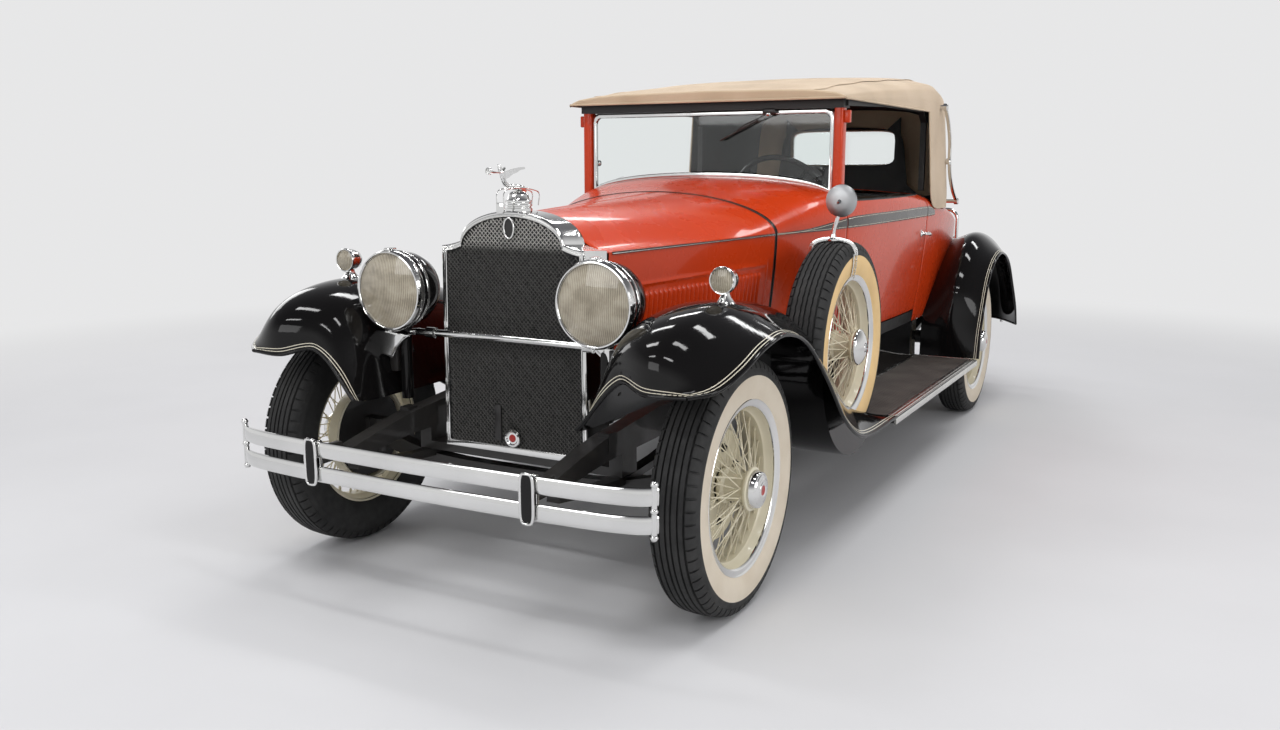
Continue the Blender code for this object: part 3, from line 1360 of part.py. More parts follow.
def roof_ring(y, inset=0.0):
    width = roof_half_width(y) - inset
    top = roof_height(y) - inset
    edge = top - smooth_value([(TOP_FRONT_Y, 0.024), (TOP_FRONT_Y + 0.50, 0.045), (TOP_REAR_Y, 0.045)], y)
    side = smooth_value([(TOP_FRONT_Y, 0.030), (QUARTER_FRONT_Y, 0.080), (TOP_REAR_Y, 0.10)], y)
    foot = min(body_half_width(y) + TOP_THICKNESS + 0.002, width + inset + 0.030) - inset
    half = [(foot, TOP_FOOT_Z - 0.10), (foot, TOP_FOOT_Z + 0.08), (width, edge - side),
            (width * 0.985, edge - side * 0.45),
            (width * 0.93, edge), (width * 0.75, top - 0.018), (width * 0.40, top - 0.004)]
    left = [(x, y, z) for x, z in half]
    right = [(-x, y, z) for x, z in reversed(half)]
    return left + [(0, y, top)] + right


def roof_stations():
    rear = TOP_REAR_Y
    front = TOP_FRONT_Y
    return [front, front + 0.20, front + 0.50, front + 0.90, QUARTER_FRONT_Y,
            rear - 0.42, rear - 0.30, rear - 0.20,
            rear - 0.10, rear - 0.03, rear]


def top_guard():
    """The soft top's outside grown by the fitting gap, which trims what seats on it."""
    return loft("top_guard", [roof_ring(y, -2 * FIT_GAP) for y in roof_stations()])


def make_soft_top():
    top = loft("soft_top", [roof_ring(y) for y in roof_stations()])
    inner_y = [TOP_FRONT_Y + TOP_THICKNESS] + roof_stations()[1:-1] + [TOP_REAR_Y - TOP_THICKNESS]
    hollow = loft("hollow", [roof_ring(y, TOP_THICKNESS) for y in inner_y])
    cut(top, hollow)
    cut(top, far_box("sides", y=(0, QUARTER_FRONT_Y), z=(0, TOP_SKIRT_Z)))
    half = REAR_WINDOW_HALF_WIDTH
    cut(top, box("rear_window", (-half, TOP_REAR_Y - 0.3, REAR_WINDOW_LOW_Z),
                 (half, TOP_REAR_Y + 0.3, REAR_WINDOW_HIGH_Z), bevel=0.04))
    cut(top, far_box("below", z=(0, TOP_FOOT_Z)))
    return cut(top, body_guard())


def make_top_frame():
    """Header over the windshield, rails over the doors and the bow behind them."""
    header_low = WINDSHIELD_TOP_Z + FIT_GAP
    x = TOP_HALF_WIDTH - 0.030
    header = box("top_frame", (-x, WINDSHIELD_Y - 0.035, header_low),
                 (x, WINDSHIELD_Y + 0.045, header_low + 0.034))
    parts = []
    for side in (-1, 1):
        path = [(side * (x - 0.005), WINDSHIELD_Y, WINDSHIELD_TOP_Z + 0.020),
                (side * x, TOP_FRONT_Y + 0.70, TOP_SKIRT_Z + 0.005),
                (side * x, QUARTER_FRONT_Y - 0.04, TOP_SKIRT_Z + 0.005),
                (side * x, QUARTER_FRONT_Y + 0.03, TOP_SKIRT_Z - 0.055),
                (side * x, QUARTER_FRONT_Y + 0.035, WINDOW_SILL_Z + 0.020)]
        parts.append(sweep("rail", path, flat_section(0.022, 0.028), up=(1, 0, 0)))
    return fused(header, *parts)


def make_landau(name):
    x = TOP_HALF_WIDTH + 0.030
    y, z = QUARTER_FRONT_Y + 0.240, TOP_SKIRT_Z + 0.030
    path = smooth_path([(x, y, z), (x + 0.004, y + 0.080, z - 0.125), (x + 0.006, y + 0.120, z - 0.285),
                        (x + 0.004, y + 0.200, z - 0.405), (x, y + 0.360, z - 0.510)], 9)
    iron = sweep(name, path, flat_section(0.010, 0.022), up=(1, 0, 0))
    upper = turned("upper", disc_profile(0.018, TOP_HALF_WIDTH - 0.005, x + 0.014), (0, y, z), (1, 0, 0), 10)
    foot_y, foot_z = y + 0.355, z - 0.508
    inner = body_half_width(foot_y) - 0.070
    lower = turned("lower", disc_profile(0.016, inner, x + 0.012), (0, foot_y, foot_z), (1, 0, 0), 10)
    fused(iron, upper, lower)
    return cut(iron, top_guard(), body_guard())


def make_seat():
    rings = []
    low = BODY_BOTTOM_Z + BODY_WALL + FIT_GAP
    front, rear = SEAT_FRONT_Y, SEAT_REAR_Y
    cushion, back = SEAT_CUSHION_Z, SEAT_BACK_Z
    profile = [(front, low), (front - 0.020, cushion), (front + 0.040, cushion + 0.025),
               (front + 0.500, cushion - 0.025), (rear - 0.140, back - 0.030), (rear - 0.100, back),
               (rear - 0.030, back - 0.010), (rear, back - 0.050), (rear - 0.080, low)]
    for x in (-SEAT_HALF_WIDTH, SEAT_HALF_WIDTH):
        rings.append([(x, y, z) for y, z in profile])
    return loft("seat", rings)


def make_rumble_seat():
    low = BODY_BOTTOM_Z + BODY_WALL + FIT_GAP
    half = LID_HALF_WIDTH - 0.020
    return box("rumble_seat", (-half, CABIN_REAR_Y + 0.36, low),
               (half, CABIN_REAR_Y + 0.80, low + RUMBLE_SEAT_HEIGHT), bevel=0.03)


def make_steering_wheel():
    centre = Vector((STEERING_X, STEERING_Y, STEERING_Z))
    axis = Vector((0, math.cos(COLUMN_SLOPE), math.sin(COLUMN_SLOPE)))
    minor = 0.013
    profile = [(STEERING_RADIUS + minor * math.cos(a), minor * math.sin(a))
               for a in [2 * math.pi * i / 5 for i in range(5)]]
    rim = turned("steering_wheel", profile, centre, axis, 16)
    hub = turned("hub", disc_profile(0.036, -STEERING_HUB, 0.004), centre, axis, 10)
    across = Vector((1, 0, 0))
    rise = axis.cross(across)
    spokes = []
    for i in range(4):
        angle = math.pi / 4 + math.pi / 2 * i
        out = across * math.cos(angle) + rise * math.sin(angle)
        spokes.append(sweep("spoke", [centre - axis * 0.015, centre + out * STEERING_RADIUS],
                            flat_section(0.018, 0.010), up=axis))
    return fused(rim, hub, *spokes)


def make_luggage_rack():
    half = RACK_HALF_WIDTH
    low, high = RACK_BOTTOM_Z, RACK_TOP_Z
    path = [(half, RACK_Y, low), (half, RACK_Y, high - 0.03), (half - 0.03, RACK_Y, high),
            (-half + 0.03, RACK_Y, high), (-half, RACK_Y, high - 0.03), (-half, RACK_Y, low)]
    hoop = sweep("luggage_rack", path, round_section(RACK_TUBE, 6), up=(0, 1, 0))
    slats = [rack_tube("base", 0.0)]
    for i in range(5):
        x = half * (i - 2) / 3
        slats.append(box("slat", (x - 0.018, RACK_Y - 0.006, low), (x + 0.018, RACK_Y + 0.006, high)))
    return fused(hoop, *slats)


def make_tail_lamp():
    """Lamp on an arm from the end of the left rail."""
    x, z = RACK_HALF_WIDTH + TAIL_LAMP_OFFSET, TAIL_LAMP_Z
    y = WHEELBASE + 0.880
    lamp = turned("tail_lamp", [(0, 0.055), (0.030, 0.050), (0.042, 0.040), (0.042, 0.025), (0.020, 0),
                                (0, 0)], (x, y + 0.010, z), (0, 1, 0), 14)
    arm_z = rail_bottom(y) + 0.020
    start = RAIL_X + RAIL_WIDTH / 2 + FIT_GAP
    arm = box("arm", (start, y, arm_z), (x + 0.012, y + 0.016, arm_z + 0.024))
    post = box("post", (x - 0.012, y, arm_z), (x + 0.012, y + 0.016, z + 0.020))
    return fused(lamp, arm, post)


def main():
    clear_scene()
    paint = make_materials()
    pieces = []

    def keep(obj, mat, origin=None):
        finish_mesh(obj, paint[mat])
        if origin is not None:
            place_origin(obj, origin)
        pieces.append(obj)
        return obj

    keep(make_frame(), "chassis")
    keep(make_front_axle(), "chassis")
    keep(make_rear_axle(), "chassis")
    keep(make_engine(), "iron")
    keep(make_fuel_tank(), "chassis")
    keep(make_radiator_shell(), "chrome")
    keep(make_radiator_core(), "chassis")
    keep(make_radiator_cap(), "chrome")
    keep(make_lamp_bar(), "chrome")
    keep(make_bumper("front_bumper", -FRONT_OVERHANG + 0.006, 0.080, 1, RAIL_FRONT_Y), "chrome")
    rear_end = WHEELBASE + REAR_OVERHANG - 0.006
    keep(make_bumper("rear_bumper", rear_end, 0.080, -1, WHEELBASE + RAIL_REAR_Y), "chrome")

    tyre = wheel_turned("tyre_master", tyre_profile(RIM_RADIUS), 0, 0, 0)
    wheel = make_wheel("wheel_master", RIM_RADIUS - FIT_GAP, True)
    spare_rim = make_wheel("spare_master", RIM_RADIUS + 0.001, False)
    spare = make_spare("spare_wheel_left", tyre, spare_rim)
    spare_right = mirrored(spare, "spare_wheel_right")

    fender = make_front_fender()
    fender_right = mirrored(fender, "front_fender_right")
    keep(fender, "fender")
    keep(fender_right, "fender")

    rear_fender = make_rear_fender()
    cut(rear_fender, body_guard())
    rear_fender_right = mirrored(rear_fender, "rear_fender_right")
    keep(rear_fender, "fender")
    keep(rear_fender_right, "fender")

    board = make_running_board()
    board_right = mirrored(board, "running_board_right")
    keep(board, "mat")
    keep(board_right, "mat")
    keep(spare, "tyre")
    keep(spare_right, "tyre")

    tub = make_tub()
    lid = make_lid(tub)
    cowl, rear, floor, door = split_tub(tub)
    add_posts(cowl)
    add_dashboard(cowl)
    add_door_hinges(cowl, door)
    keep(cowl, "body")
    keep(rear, "body")
    keep(floor, "body")
    add_door_handle(door)
    door_right = mirrored(door, "door_right")
    hinge_x, hinge_y = door_hinge_place()
    keep(door, "body", (hinge_x, hinge_y, 0.9))
    keep(door_right, "body", (-hinge_x, hinge_y, 0.9))
    keep(lid, "body", (0, LID_REAR_Y, crown_height(LID_REAR_Y) + 0.004))

    hood = make_hood_top()
    hood_right = mirrored(hood, "hood_top_right")
    side = make_hood_side()
    side_right = mirrored(side, "hood_side_right")
    hood_origin = hood_crown_point(hood_ends()[1])
    keep(hood, "body", hood_origin)
    keep(hood_right, "body", hood_origin)
    side_origin = hood_belt_point(hood_ends()[1])
    keep(side, "body", side_origin)
    keep(side_right, "body", (-side_origin.x, side_origin.y, side_origin.z))

    keep(make_windshield_frame(), "chrome")
    keep(make_windshield_glass(), "glass")
    keep(make_soft_top(), "canvas")
    keep(make_top_frame(), "chassis")
    landau = make_landau("landau_left")
    landau_right = mirrored(landau, "landau_right")
    keep(landau, "chrome")
    keep(landau_right, "chrome")
    keep(make_seat(), "leather")
    keep(make_rumble_seat(), "leather")
    keep(make_steering_wheel(), "chassis", (STEERING_X, STEERING_Y, STEERING_Z))
    keep(make_luggage_rack(), "chrome", (0, RACK_Y, RACK_BOTTOM_Z))
    keep(make_tail_lamp(), "lamp")

    for side_name, sign in (("left", 1), ("right", -1)):
        keep(make_headlamp("headlamp_" + side_name, sign), "chrome")
        keep(make_knuckle("knuckle_" + side_name, sign), "chassis", (sign * KINGPIN_X, 0, TYRE_RADIUS))
        for end, y in (("front", 0.0), ("rear", WHEELBASE)):
            place = (WHEEL_PLANE_X, y, TYRE_RADIUS)
            keep(wheel_at(tyre, "tyre_%s_%s" % (end, side_name), sign, *place), "tyre")
            keep(wheel_at(wheel, "wheel_%s_%s" % (end, side_name), sign, *place), "wheel")
    keep(make_tie_rod(), "chassis", (KINGPIN_X, TIE_ROD_Y, TIE_ROD_Z))

    for master in (tyre, wheel, spare_rim):
        bpy.data.objects.remove(master, do_unlink=True)
    car = bpy.data.objects.new("car", None)
    car.location = (0, FRONT_AXLE_Y, 0)
    bpy.context.scene.collection.objects.link(car)
    for obj in pieces:
        obj.parent = car
    total = sum(len(obj.data.polygons) for obj in pieces)
    print(len(pieces), "pieces,", total, "triangles")


main()
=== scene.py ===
"""Looks of the convertible coupe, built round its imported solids.

Shapes are made in the car's own frame, where every station is a distance behind the front
axle, and put() carries each finished piece to its place in the row's frame.
"""
import math

import bmesh
import bpy
import numpy as np
from mathutils import Matrix, Vector


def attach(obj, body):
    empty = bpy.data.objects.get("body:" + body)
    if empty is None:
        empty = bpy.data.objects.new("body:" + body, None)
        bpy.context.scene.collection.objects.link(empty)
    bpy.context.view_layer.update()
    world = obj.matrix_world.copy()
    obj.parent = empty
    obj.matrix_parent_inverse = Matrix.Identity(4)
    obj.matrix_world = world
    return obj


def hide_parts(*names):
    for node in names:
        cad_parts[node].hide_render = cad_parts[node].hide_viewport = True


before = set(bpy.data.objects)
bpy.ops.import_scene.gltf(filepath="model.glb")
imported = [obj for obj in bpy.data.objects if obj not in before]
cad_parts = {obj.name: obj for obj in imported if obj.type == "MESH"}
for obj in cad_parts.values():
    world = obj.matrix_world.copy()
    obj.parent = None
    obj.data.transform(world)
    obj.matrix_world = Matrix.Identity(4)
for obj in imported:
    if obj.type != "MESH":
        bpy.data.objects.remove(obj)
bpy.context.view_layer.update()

# Sizes shared with the solids
WHEELBASE = 3.390
CAR_LENGTH = 5.090
FRONT_AXLE_Y = 0.600 - CAR_LENGTH / 2
EDGE_X = 0.955
TYRE_RADIUS = 0.415
WHEEL_PLANE_X = 0.780
HOOD_FRONT_Y, HOOD_REAR_Y = 0.058, 0.985
HOOD_SKIRT_Z = 0.640
COWL_REAR_Y, DOOR_REAR_Y = 1.520, 2.710
BODY_HALF_WIDTH = 0.700
BODY_BOTTOM_Z = 0.600
SILL_Z = 1.270
DOOR_BOTTOM_Z = 0.660
CABIN_REAR_Y = 3.050
TAIL_Y = WHEELBASE + 0.810
LID_FRONT_Y, LID_REAR_Y, LID_HALF_WIDTH = 3.440, 4.080, 0.400
WINDSHIELD_Y, WINDSHIELD_HALF, WINDSHIELD_TOP_Z = 1.490, 0.600, 1.660
TOP_FRONT_Y, TOP_REAR_Y, TOP_HALF_WIDTH = 1.400, 3.420, 0.675
TOP_SKIRT_Z, TOP_FOOT_Z, QUARTER_Y = 1.695, 1.190, 2.740
BOARD_TOP_Z, BOARD_FRONT_Y, BOARD_REAR_Y, BOARD_INNER_X = 0.385, 1.340, 2.920, 0.600
SPARE_X, SPARE_Y, SPARE_Z = 0.770, 1.060, 0.715
SHELL_FRONT_Y, SHELL_DEPTH = -0.060, 0.110
SHELL_BOTTOM_Z, SHELL_HALF_WIDTH, SHELL_SHOULDER_Z, SHELL_TOP_Z = 0.432, 0.292, 1.148, 1.271
HEADLAMP = Vector((0.412, -0.200, 0.995))
BUMPER_UPPER_Z, BUMPER_LOWER_Z, BUMPER_HALF, BUMPER_CLAMP_X = 0.519, 0.437, 0.800, 0.421
RACK_Y, RACK_LOW, RACK_HIGH, RACK_HALF = 4.290, 0.620, 1.130, 0.500
STEERING = Vector((0.285, 1.700, 1.275))
COLUMN_SLOPE = math.radians(32)

# Sizes of details
LOUVRES = 28
LOUVRE_START, LOUVRE_END = 0.215, 0.905
BOWS = (1.62, 2.02, 2.42, 2.80)
WINDOW_HALF, WINDOW_LOW, WINDOW_HIGH = 0.320, 1.420, 1.620
SHELL_FOOT_SHARE = 0.72
SPOKE_RADIUS = 0.0021
CANVAS_DEPTH = 0.004
STRIPE_DISTANCES = (0.011, 0.021)

# Stage and camera
BACKGROUND = (0.80, 0.80, 0.805)
FLOOR_FADE = (3.2, 7.5)
CAMERA_PLACE = (2.165, -5.062, 1.425)
CAMERA_PITCH, CAMERA_TURN = math.radians(90 - 10.33), math.radians(28.61)
CAMERA_LENS_MM, CAMERA_SENSOR_MM = 30.98, 36.0

X_AXIS, Y_AXIS, Z_AXIS = (1, 0, 0), (0, 1, 0), (0, 0, 1)


# Materials

def shader_material(name, colour, roughness, metallic=0.0, **sockets):
    """Material with its plain values set, and its node tree for the caller's detail."""
    mat = bpy.data.materials.new(name)
    mat.use_nodes = True
    shader = mat.node_tree.nodes["Principled BSDF"]
    shader.inputs["Base Color"].default_value = (*colour, 1.0)
    shader.inputs["Roughness"].default_value = roughness
    shader.inputs["Metallic"].default_value = metallic
    for key, value in sockets.items():
        shader.inputs[key.replace("_", " ")].default_value = value
    return mat, mat.node_tree, shader


def coordinates(tree, scale=(1, 1, 1)):
    """Object coordinates, scaled."""
    place = tree.nodes.new("ShaderNodeTexCoord")
    mapping = tree.nodes.new("ShaderNodeMapping")
    mapping.inputs["Scale"].default_value = scale
    tree.links.new(place.outputs["Object"], mapping.inputs["Vector"])
    return mapping.outputs["Vector"]


def noise(tree, scale, detail=3.0, stretch=(1, 1, 1)):
    """Cloudy values between 0 and 1."""
    node = tree.nodes.new("ShaderNodeTexNoise")
    node.inputs["Scale"].default_value = scale
    node.inputs["Detail"].default_value = detail
    tree.links.new(coordinates(tree, stretch), node.inputs["Vector"])
    return node.outputs["Fac"]


def ramp(tree, value, stops):
    """Colours spread over a value by (place, colour) stops."""
    node = tree.nodes.new("ShaderNodeValToRGB")
    while len(node.color_ramp.elements) < len(stops):
        node.color_ramp.elements.new(0.5)
    for element, (place, colour) in zip(node.color_ramp.elements, stops):
        element.position = place
        element.color = (*colour, 1.0) if len(colour) == 3 else colour
    tree.links.new(value, node.inputs["Fac"])
    return node.outputs["Color"]


def spread(tree, value, low, high):
    """The middle of a noise carried to the range from low to high."""
    node = tree.nodes.new("ShaderNodeMapRange")
    node.inputs["From Min"].default_value = 0.3
    node.inputs["From Max"].default_value = 0.7
    node.inputs["To Min"].default_value = low
    node.inputs["To Max"].default_value = high
    tree.links.new(value, node.inputs["Value"])
    return node.outputs["Result"]


def bump(tree, shader, height, distance, strength=1.0):
    node = tree.nodes.new("ShaderNodeBump")
    node.inputs["Distance"].default_value = distance
    node.inputs["Strength"].default_value = strength
    tree.links.new(height, node.inputs["Height"])
    tree.links.new(node.outputs["Normal"], shader.inputs["Normal"])


def math_node(tree, operation, *values):
    """Node of one operation, fed with sockets or plain floats."""
    node = tree.nodes.new("ShaderNodeMath")
    node.operation = operation
    for socket, value in zip(node.inputs, values):
        if isinstance(value, float):
            socket.default_value = value
        else:
            tree.links.new(value, socket)
    return node


def tint(tree, shader, value, *stops):
    """Base colour that follows a value."""
    tree.links.new(ramp(tree, value, stops), shader.inputs["Base Color"])


def roughen(tree, shader, value, low, high):
    """Roughness that follows a value."""
    tree.links.new(spread(tree, value, low, high), shader.inputs["Roughness"])


def wave(tree, scale, distortion=0.0, axis="X"):
    """Bands along an axis."""
    node = tree.nodes.new("ShaderNodeTexWave")
    node.bands_direction = axis
    node.inputs["Scale"].default_value = scale
    node.inputs["Distortion"].default_value = distortion
    tree.links.new(coordinates(tree), node.inputs["Vector"])
    return node.outputs["Fac"]


def gloss_paint(name, colour, deeper, roughness=0.22, haze=0.10, coat=0.30, shine=0.35):
    """Brushed enamel: soft unevenness of colour, rubbed patches and a faint ripple."""
    mat, tree, shader = shader_material(name, colour, roughness, Coat_Weight=coat, Coat_Roughness=0.04,
                                        Specular_IOR_Level=shine)
    tint(tree, shader, noise(tree, 2.2, 4.0), (0.35, colour), (0.70, deeper))
    roughen(tree, shader, noise(tree, 9.0, 5.0), roughness, roughness + haze)
    bump(tree, shader, noise(tree, 60.0, 2.0), 0.0006, 0.25)
    return mat


def metal(name, colour, roughness, haze=0.08):
    mat, tree, shader = shader_material(name, colour, roughness, 1.0)
    roughen(tree, shader, noise(tree, 14.0, 5.0), roughness, roughness + haze)
    tint(tree, shader, noise(tree, 5.0, 3.0), (0.35, colour), (0.75, tuple(c * 0.88 for c in colour)))
    return mat


def rubber(name, colour, paler, grain=250.0):
    mat, tree, shader = shader_material(name, colour, 0.72)
    tint(tree, shader, noise(tree, 7.0, 6.0), (0.40, colour), (0.80, paler))
    roughen(tree, shader, noise(tree, 30.0), 0.62, 0.82)
    bump(tree, shader, noise(tree, grain, 2.0), 0.0004, 0.5)
    return mat


def canvas_material():
    """Woven cloth: two crossed sets of threads under a soft stain."""
    tan, pale, shade = (0.56, 0.425, 0.285), (0.62, 0.48, 0.335), (0.47, 0.35, 0.23)
    mat, tree, shader = shader_material("canvas_tan", tan, 0.90, Sheen_Weight=0.25,
                                        Sheen_Roughness=0.5)
    tint(tree, shader, noise(tree, 3.5, 6.0), (0.30, shade), (0.5, tan), (0.72, pale))
    threads = [wave(tree, 190.0, 0.6, axis) for axis in "XYZ"]
    mixed = math_node(tree, "MULTIPLY", threads[1],
                      math_node(tree, "MAXIMUM", threads[0], threads[2]).outputs[0])
    bump(tree, shader, mixed.outputs[0], 0.0008, 0.7)
    return mat


def leather_material(name, colour, deeper):
    mat, tree, shader = shader_material(name, colour, 0.48)
    tint(tree, shader, noise(tree, 6.0, 6.0), (0.35, colour), (0.70, deeper))
    grain = tree.nodes.new("ShaderNodeTexVoronoi")
    grain.feature = "DISTANCE_TO_EDGE"
    grain.inputs["Scale"].default_value = 260.0
    tree.links.new(coordinates(tree), grain.inputs["Vector"])
    bump(tree, shader, grain.outputs["Distance"], 0.0009, 0.6)
    return mat


def mat_material():
    """Ribbed rubber mat, scuffed paler where feet fall."""
    dark, worn = (0.050, 0.042, 0.036), (0.105, 0.090, 0.078)
    mat, tree, shader = shader_material("board_mat", dark, 0.66)
    tint(tree, shader, noise(tree, 8.0, 7.0), (0.35, dark), (0.78, worn))
    bump(tree, shader, wave(tree, 60.0), 0.0010, 0.8)
    return mat


def lens_material(name, colour):
    mat, tree, shader = shader_material(name, colour, 0.16, Transmission_Weight=0.35,
                                        Coat_Weight=0.8)
    tint(tree, shader, noise(tree, 22.0, 4.0, (1, 1, 0.15)), (0.30, colour),
         (0.75, tuple(c * 1.25 for c in colour)))
    bump(tree, shader, noise(tree, 90.0), 0.0008, 0.5)
    return mat


def glass_material():
    mat, tree, shader = shader_material("windshield_glass", (0.93, 0.97, 0.96), 0.02,
                                        Transmission_Weight=1.0, IOR=1.45)
    roughen(tree, shader, noise(tree, 4.0, 6.0), 0.0, 0.05)
    return mat


def core_material():
    """Radiator honeycomb."""
    mat, tree, shader = shader_material("radiator_core", (0.006, 0.006, 0.006), 0.6)
    cell = tree.nodes.new("ShaderNodeTexVoronoi")
    cell.inputs["Scale"].default_value = 120.0
    tree.links.new(coordinates(tree), cell.inputs["Vector"])
    tint(tree, shader, cell.outputs["Distance"], (0.2, (0.002,) * 3), (0.6, (0.008,) * 3))
    bump(tree, shader, cell.outputs["Distance"], 0.003, 1.0)
    return mat


def guard_material():
    """Blackened wire, with a painted highlight that makes it paler in the arch."""
    mat, tree, shader = shader_material("guard_wire", (0.05, 0.05, 0.05), 0.30, 0.85)
    height = tree.nodes.new("ShaderNodeSeparateXYZ")
    tree.links.new(coordinates(tree), height.inputs["Vector"])
    arch_highlight_zone = tree.nodes.new("ShaderNodeMapRange")
    arch_highlight_zone.inputs["From Min"].default_value = 1.135
    arch_highlight_zone.inputs["From Max"].default_value = 1.165
    tree.links.new(height.outputs["Z"], arch_highlight_zone.inputs["Value"])
    # Painted highlight: the wire turns pale above z 1.15, in the arch, standing in for the brighter
    # light there
    tint(tree, shader, arch_highlight_zone.outputs["Result"], (0.0, (0.105, 0.102, 0.096)), (1.0, (0.50, 0.49, 0.46)))
    roughen(tree, shader, noise(tree, 40.0, 4.0), 0.22, 0.48)
    return mat


def fluted_lens_material():
    """Pressed glass with upright flutes over a dull reflector."""
    deep, pale = (0.22, 0.185, 0.125), (0.48, 0.425, 0.32)
    mat, tree, shader = shader_material("headlamp_lens", pale, 0.18, Coat_Weight=1.0,
                                        Coat_Roughness=0.04)
    flutes = wave(tree, 45.0, 0.8)
    mixed = math_node(tree, "MULTIPLY_ADD", flutes, 0.30, noise(tree, 14.0, 3.0, (1, 1, 1.6)))
    tint(tree, shader, mixed.outputs[0], (0.40, deep), (0.85, pale))
    bump(tree, shader, flutes, 0.0018, 0.8)
    return mat


RED = gloss_paint("body_vermilion", (0.530, 0.042, 0.006), (0.500, 0.038, 0.005), 0.26, 0.03, 0.28,
                  0.20)
BLACK = gloss_paint("fender_black", (0.0035, 0.0033, 0.0035), (0.0055, 0.0050, 0.0050), 0.05, 0.04, 0.0,
                    0.28)
SATIN = gloss_paint("chassis_black", (0.014, 0.013, 0.013), (0.024, 0.022, 0.020), 0.38, 0.20)
BAND = gloss_paint("moulding_dark", (0.030, 0.026, 0.024), (0.045, 0.038, 0.034), 0.22, 0.10)
STRIPE = gloss_paint("stripe_cream", (0.66, 0.62, 0.50), (0.58, 0.53, 0.42), 0.25, 0.10)
CREAM = gloss_paint("wheel_cream", (0.70, 0.65, 0.50), (0.60, 0.54, 0.39), 0.30, 0.15)
CHROME = metal("chrome", (0.78, 0.78, 0.77), 0.05, 0.07)
NICKEL = metal("bright_trim", (0.70, 0.69, 0.66), 0.18, 0.14)
RUBBER = rubber("tyre_rubber", (0.014, 0.014, 0.014), (0.030, 0.029, 0.028))
WALL = rubber("whitewall", (0.66, 0.585, 0.475), (0.58, 0.50, 0.39), 90.0)
OLD_WALL = rubber("whitewall_aged", (0.74, 0.52, 0.25), (0.62, 0.42, 0.19), 90.0)
CANVAS = canvas_material()
LINING = leather_material("top_lining", (0.008, 0.0075, 0.007), (0.014, 0.012, 0.011))
LEATHER = leather_material("leather_brown", (0.075, 0.043, 0.022), (0.050, 0.028, 0.014))
MAT = mat_material()
RED_LENS = lens_material("lamp_red", (0.42, 0.012, 0.010))
GLASS = glass_material()
GUARD = guard_material()
FLUTED = fluted_lens_material()
CORE = core_material()
IRON = gloss_paint("engine_iron", (0.090, 0.098, 0.088), (0.060, 0.064, 0.058), 0.45, 0.20)
RED_DOT = gloss_paint("cap_red", (0.38, 0.020, 0.014), (0.30, 0.014, 0.010), 0.25, 0.10)
MIRROR = metal("mirror_back", (0.46, 0.47, 0.48), 0.34, 0.14)


# Mesh helpers

def soften(obj, angle=38):
    obj.data.shade_smooth()
    obj.data.set_sharp_from_angle(angle=math.radians(angle))
    return obj


def make(name, verts, faces, *mats, marks=None, angle=38, merge=0.000001):
    """Linked object with its normals outwards; marks choose a material for each face."""
    mesh = bpy.data.meshes.new(name)
    mesh.from_pydata([tuple(v) for v in verts], [], [tuple(f) for f in faces])
    for mat in mats:
        mesh.materials.append(mat)
    if marks is not None:
        mesh.polygons.foreach_set("material_index", marks)
    work = bmesh.new()
    work.from_mesh(mesh)
    bmesh.ops.remove_doubles(work, verts=work.verts, dist=merge)
    bmesh.ops.recalc_face_normals(work, faces=work.faces)
    work.to_mesh(mesh)
    work.free()
    obj = bpy.data.objects.new(name, mesh)
    bpy.context.scene.collection.objects.link(obj)
    return soften(obj, angle)


def modify(obj, kind, **settings):
    """Apply one modifier at once."""
    step = obj.modifiers.new(kind.title(), kind)
    for key, value in settings.items():
        setattr(step, key, value)
    bpy.context.view_layer.update()
    graph = bpy.context.evaluated_depsgraph_get()
    mesh = bpy.data.meshes.new_from_object(obj.evaluated_get(graph))
    obj.modifiers.clear()
    obj.data = mesh
    return obj


def thicken(obj, depth, offset=-1.0, rounding=0.0):
    modify(obj, "SOLIDIFY", thickness=depth, offset=offset, use_even_offset=True)
    if rounding:
        modify(obj, "BEVEL", width=rounding, segments=2, limit_method="ANGLE",
               angle_limit=math.radians(50), harden_normals=False)
    return soften(obj)


def boolean(obj, tool, operation):
    modify(obj, "BOOLEAN", operation=operation, solver="EXACT", object=tool)
    bpy.data.objects.remove(tool, do_unlink=True)
    return obj


def joined(name, *objs):
    first = objs[0]
    if len(objs) > 1:
        with bpy.context.temp_override(active_object=first, object=first,
                                       selected_editable_objects=list(objs)):
            bpy.ops.object.join()
    first.name = name
    return first


def mirrored(obj, name):
    twin = bpy.data.objects.new(name, obj.data.copy())
    bpy.context.scene.collection.objects.link(twin)
    twin.data.transform(Matrix.Scale(-1, 4, Vector(X_AXIS)))
    twin.data.flip_normals()
    return twin


def put(obj, body="body", swaps=()):
    """Carry a finished piece into the row's frame and hand it to its body."""
    obj.data.transform(Matrix.Translation((0, FRONT_AXLE_Y, 0)))
    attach(obj, body)
    if swaps:
        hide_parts(*swaps)
    return obj


def put_pair(obj, body="body", swaps=()):
    """The left piece and its mirror image on the right."""
    stem = obj.name.replace("_left", "")
    obj.name = stem + "_left"
    twin = mirrored(obj, stem + "_right")
    put(obj, body, swaps)
    put(twin, body.replace("left", "right"), [s.replace("left", "right") for s in swaps])
    return obj, twin


def grid_faces(rows, columns, loop_rows=False, loop_columns=False, keep=None):
    """Quads of a grid of points, closed along rows or columns on request."""
    faces = []
    for i in range(rows if loop_rows else rows - 1):
        for j in range(columns if loop_columns else columns - 1):
            if keep is not None and not keep(i, j):
                continue
            a, d = i * columns, (i + 1) % rows * columns
            k = (j + 1) % columns
            faces.append((a + j, a + k, d + k, d + j))
    return faces


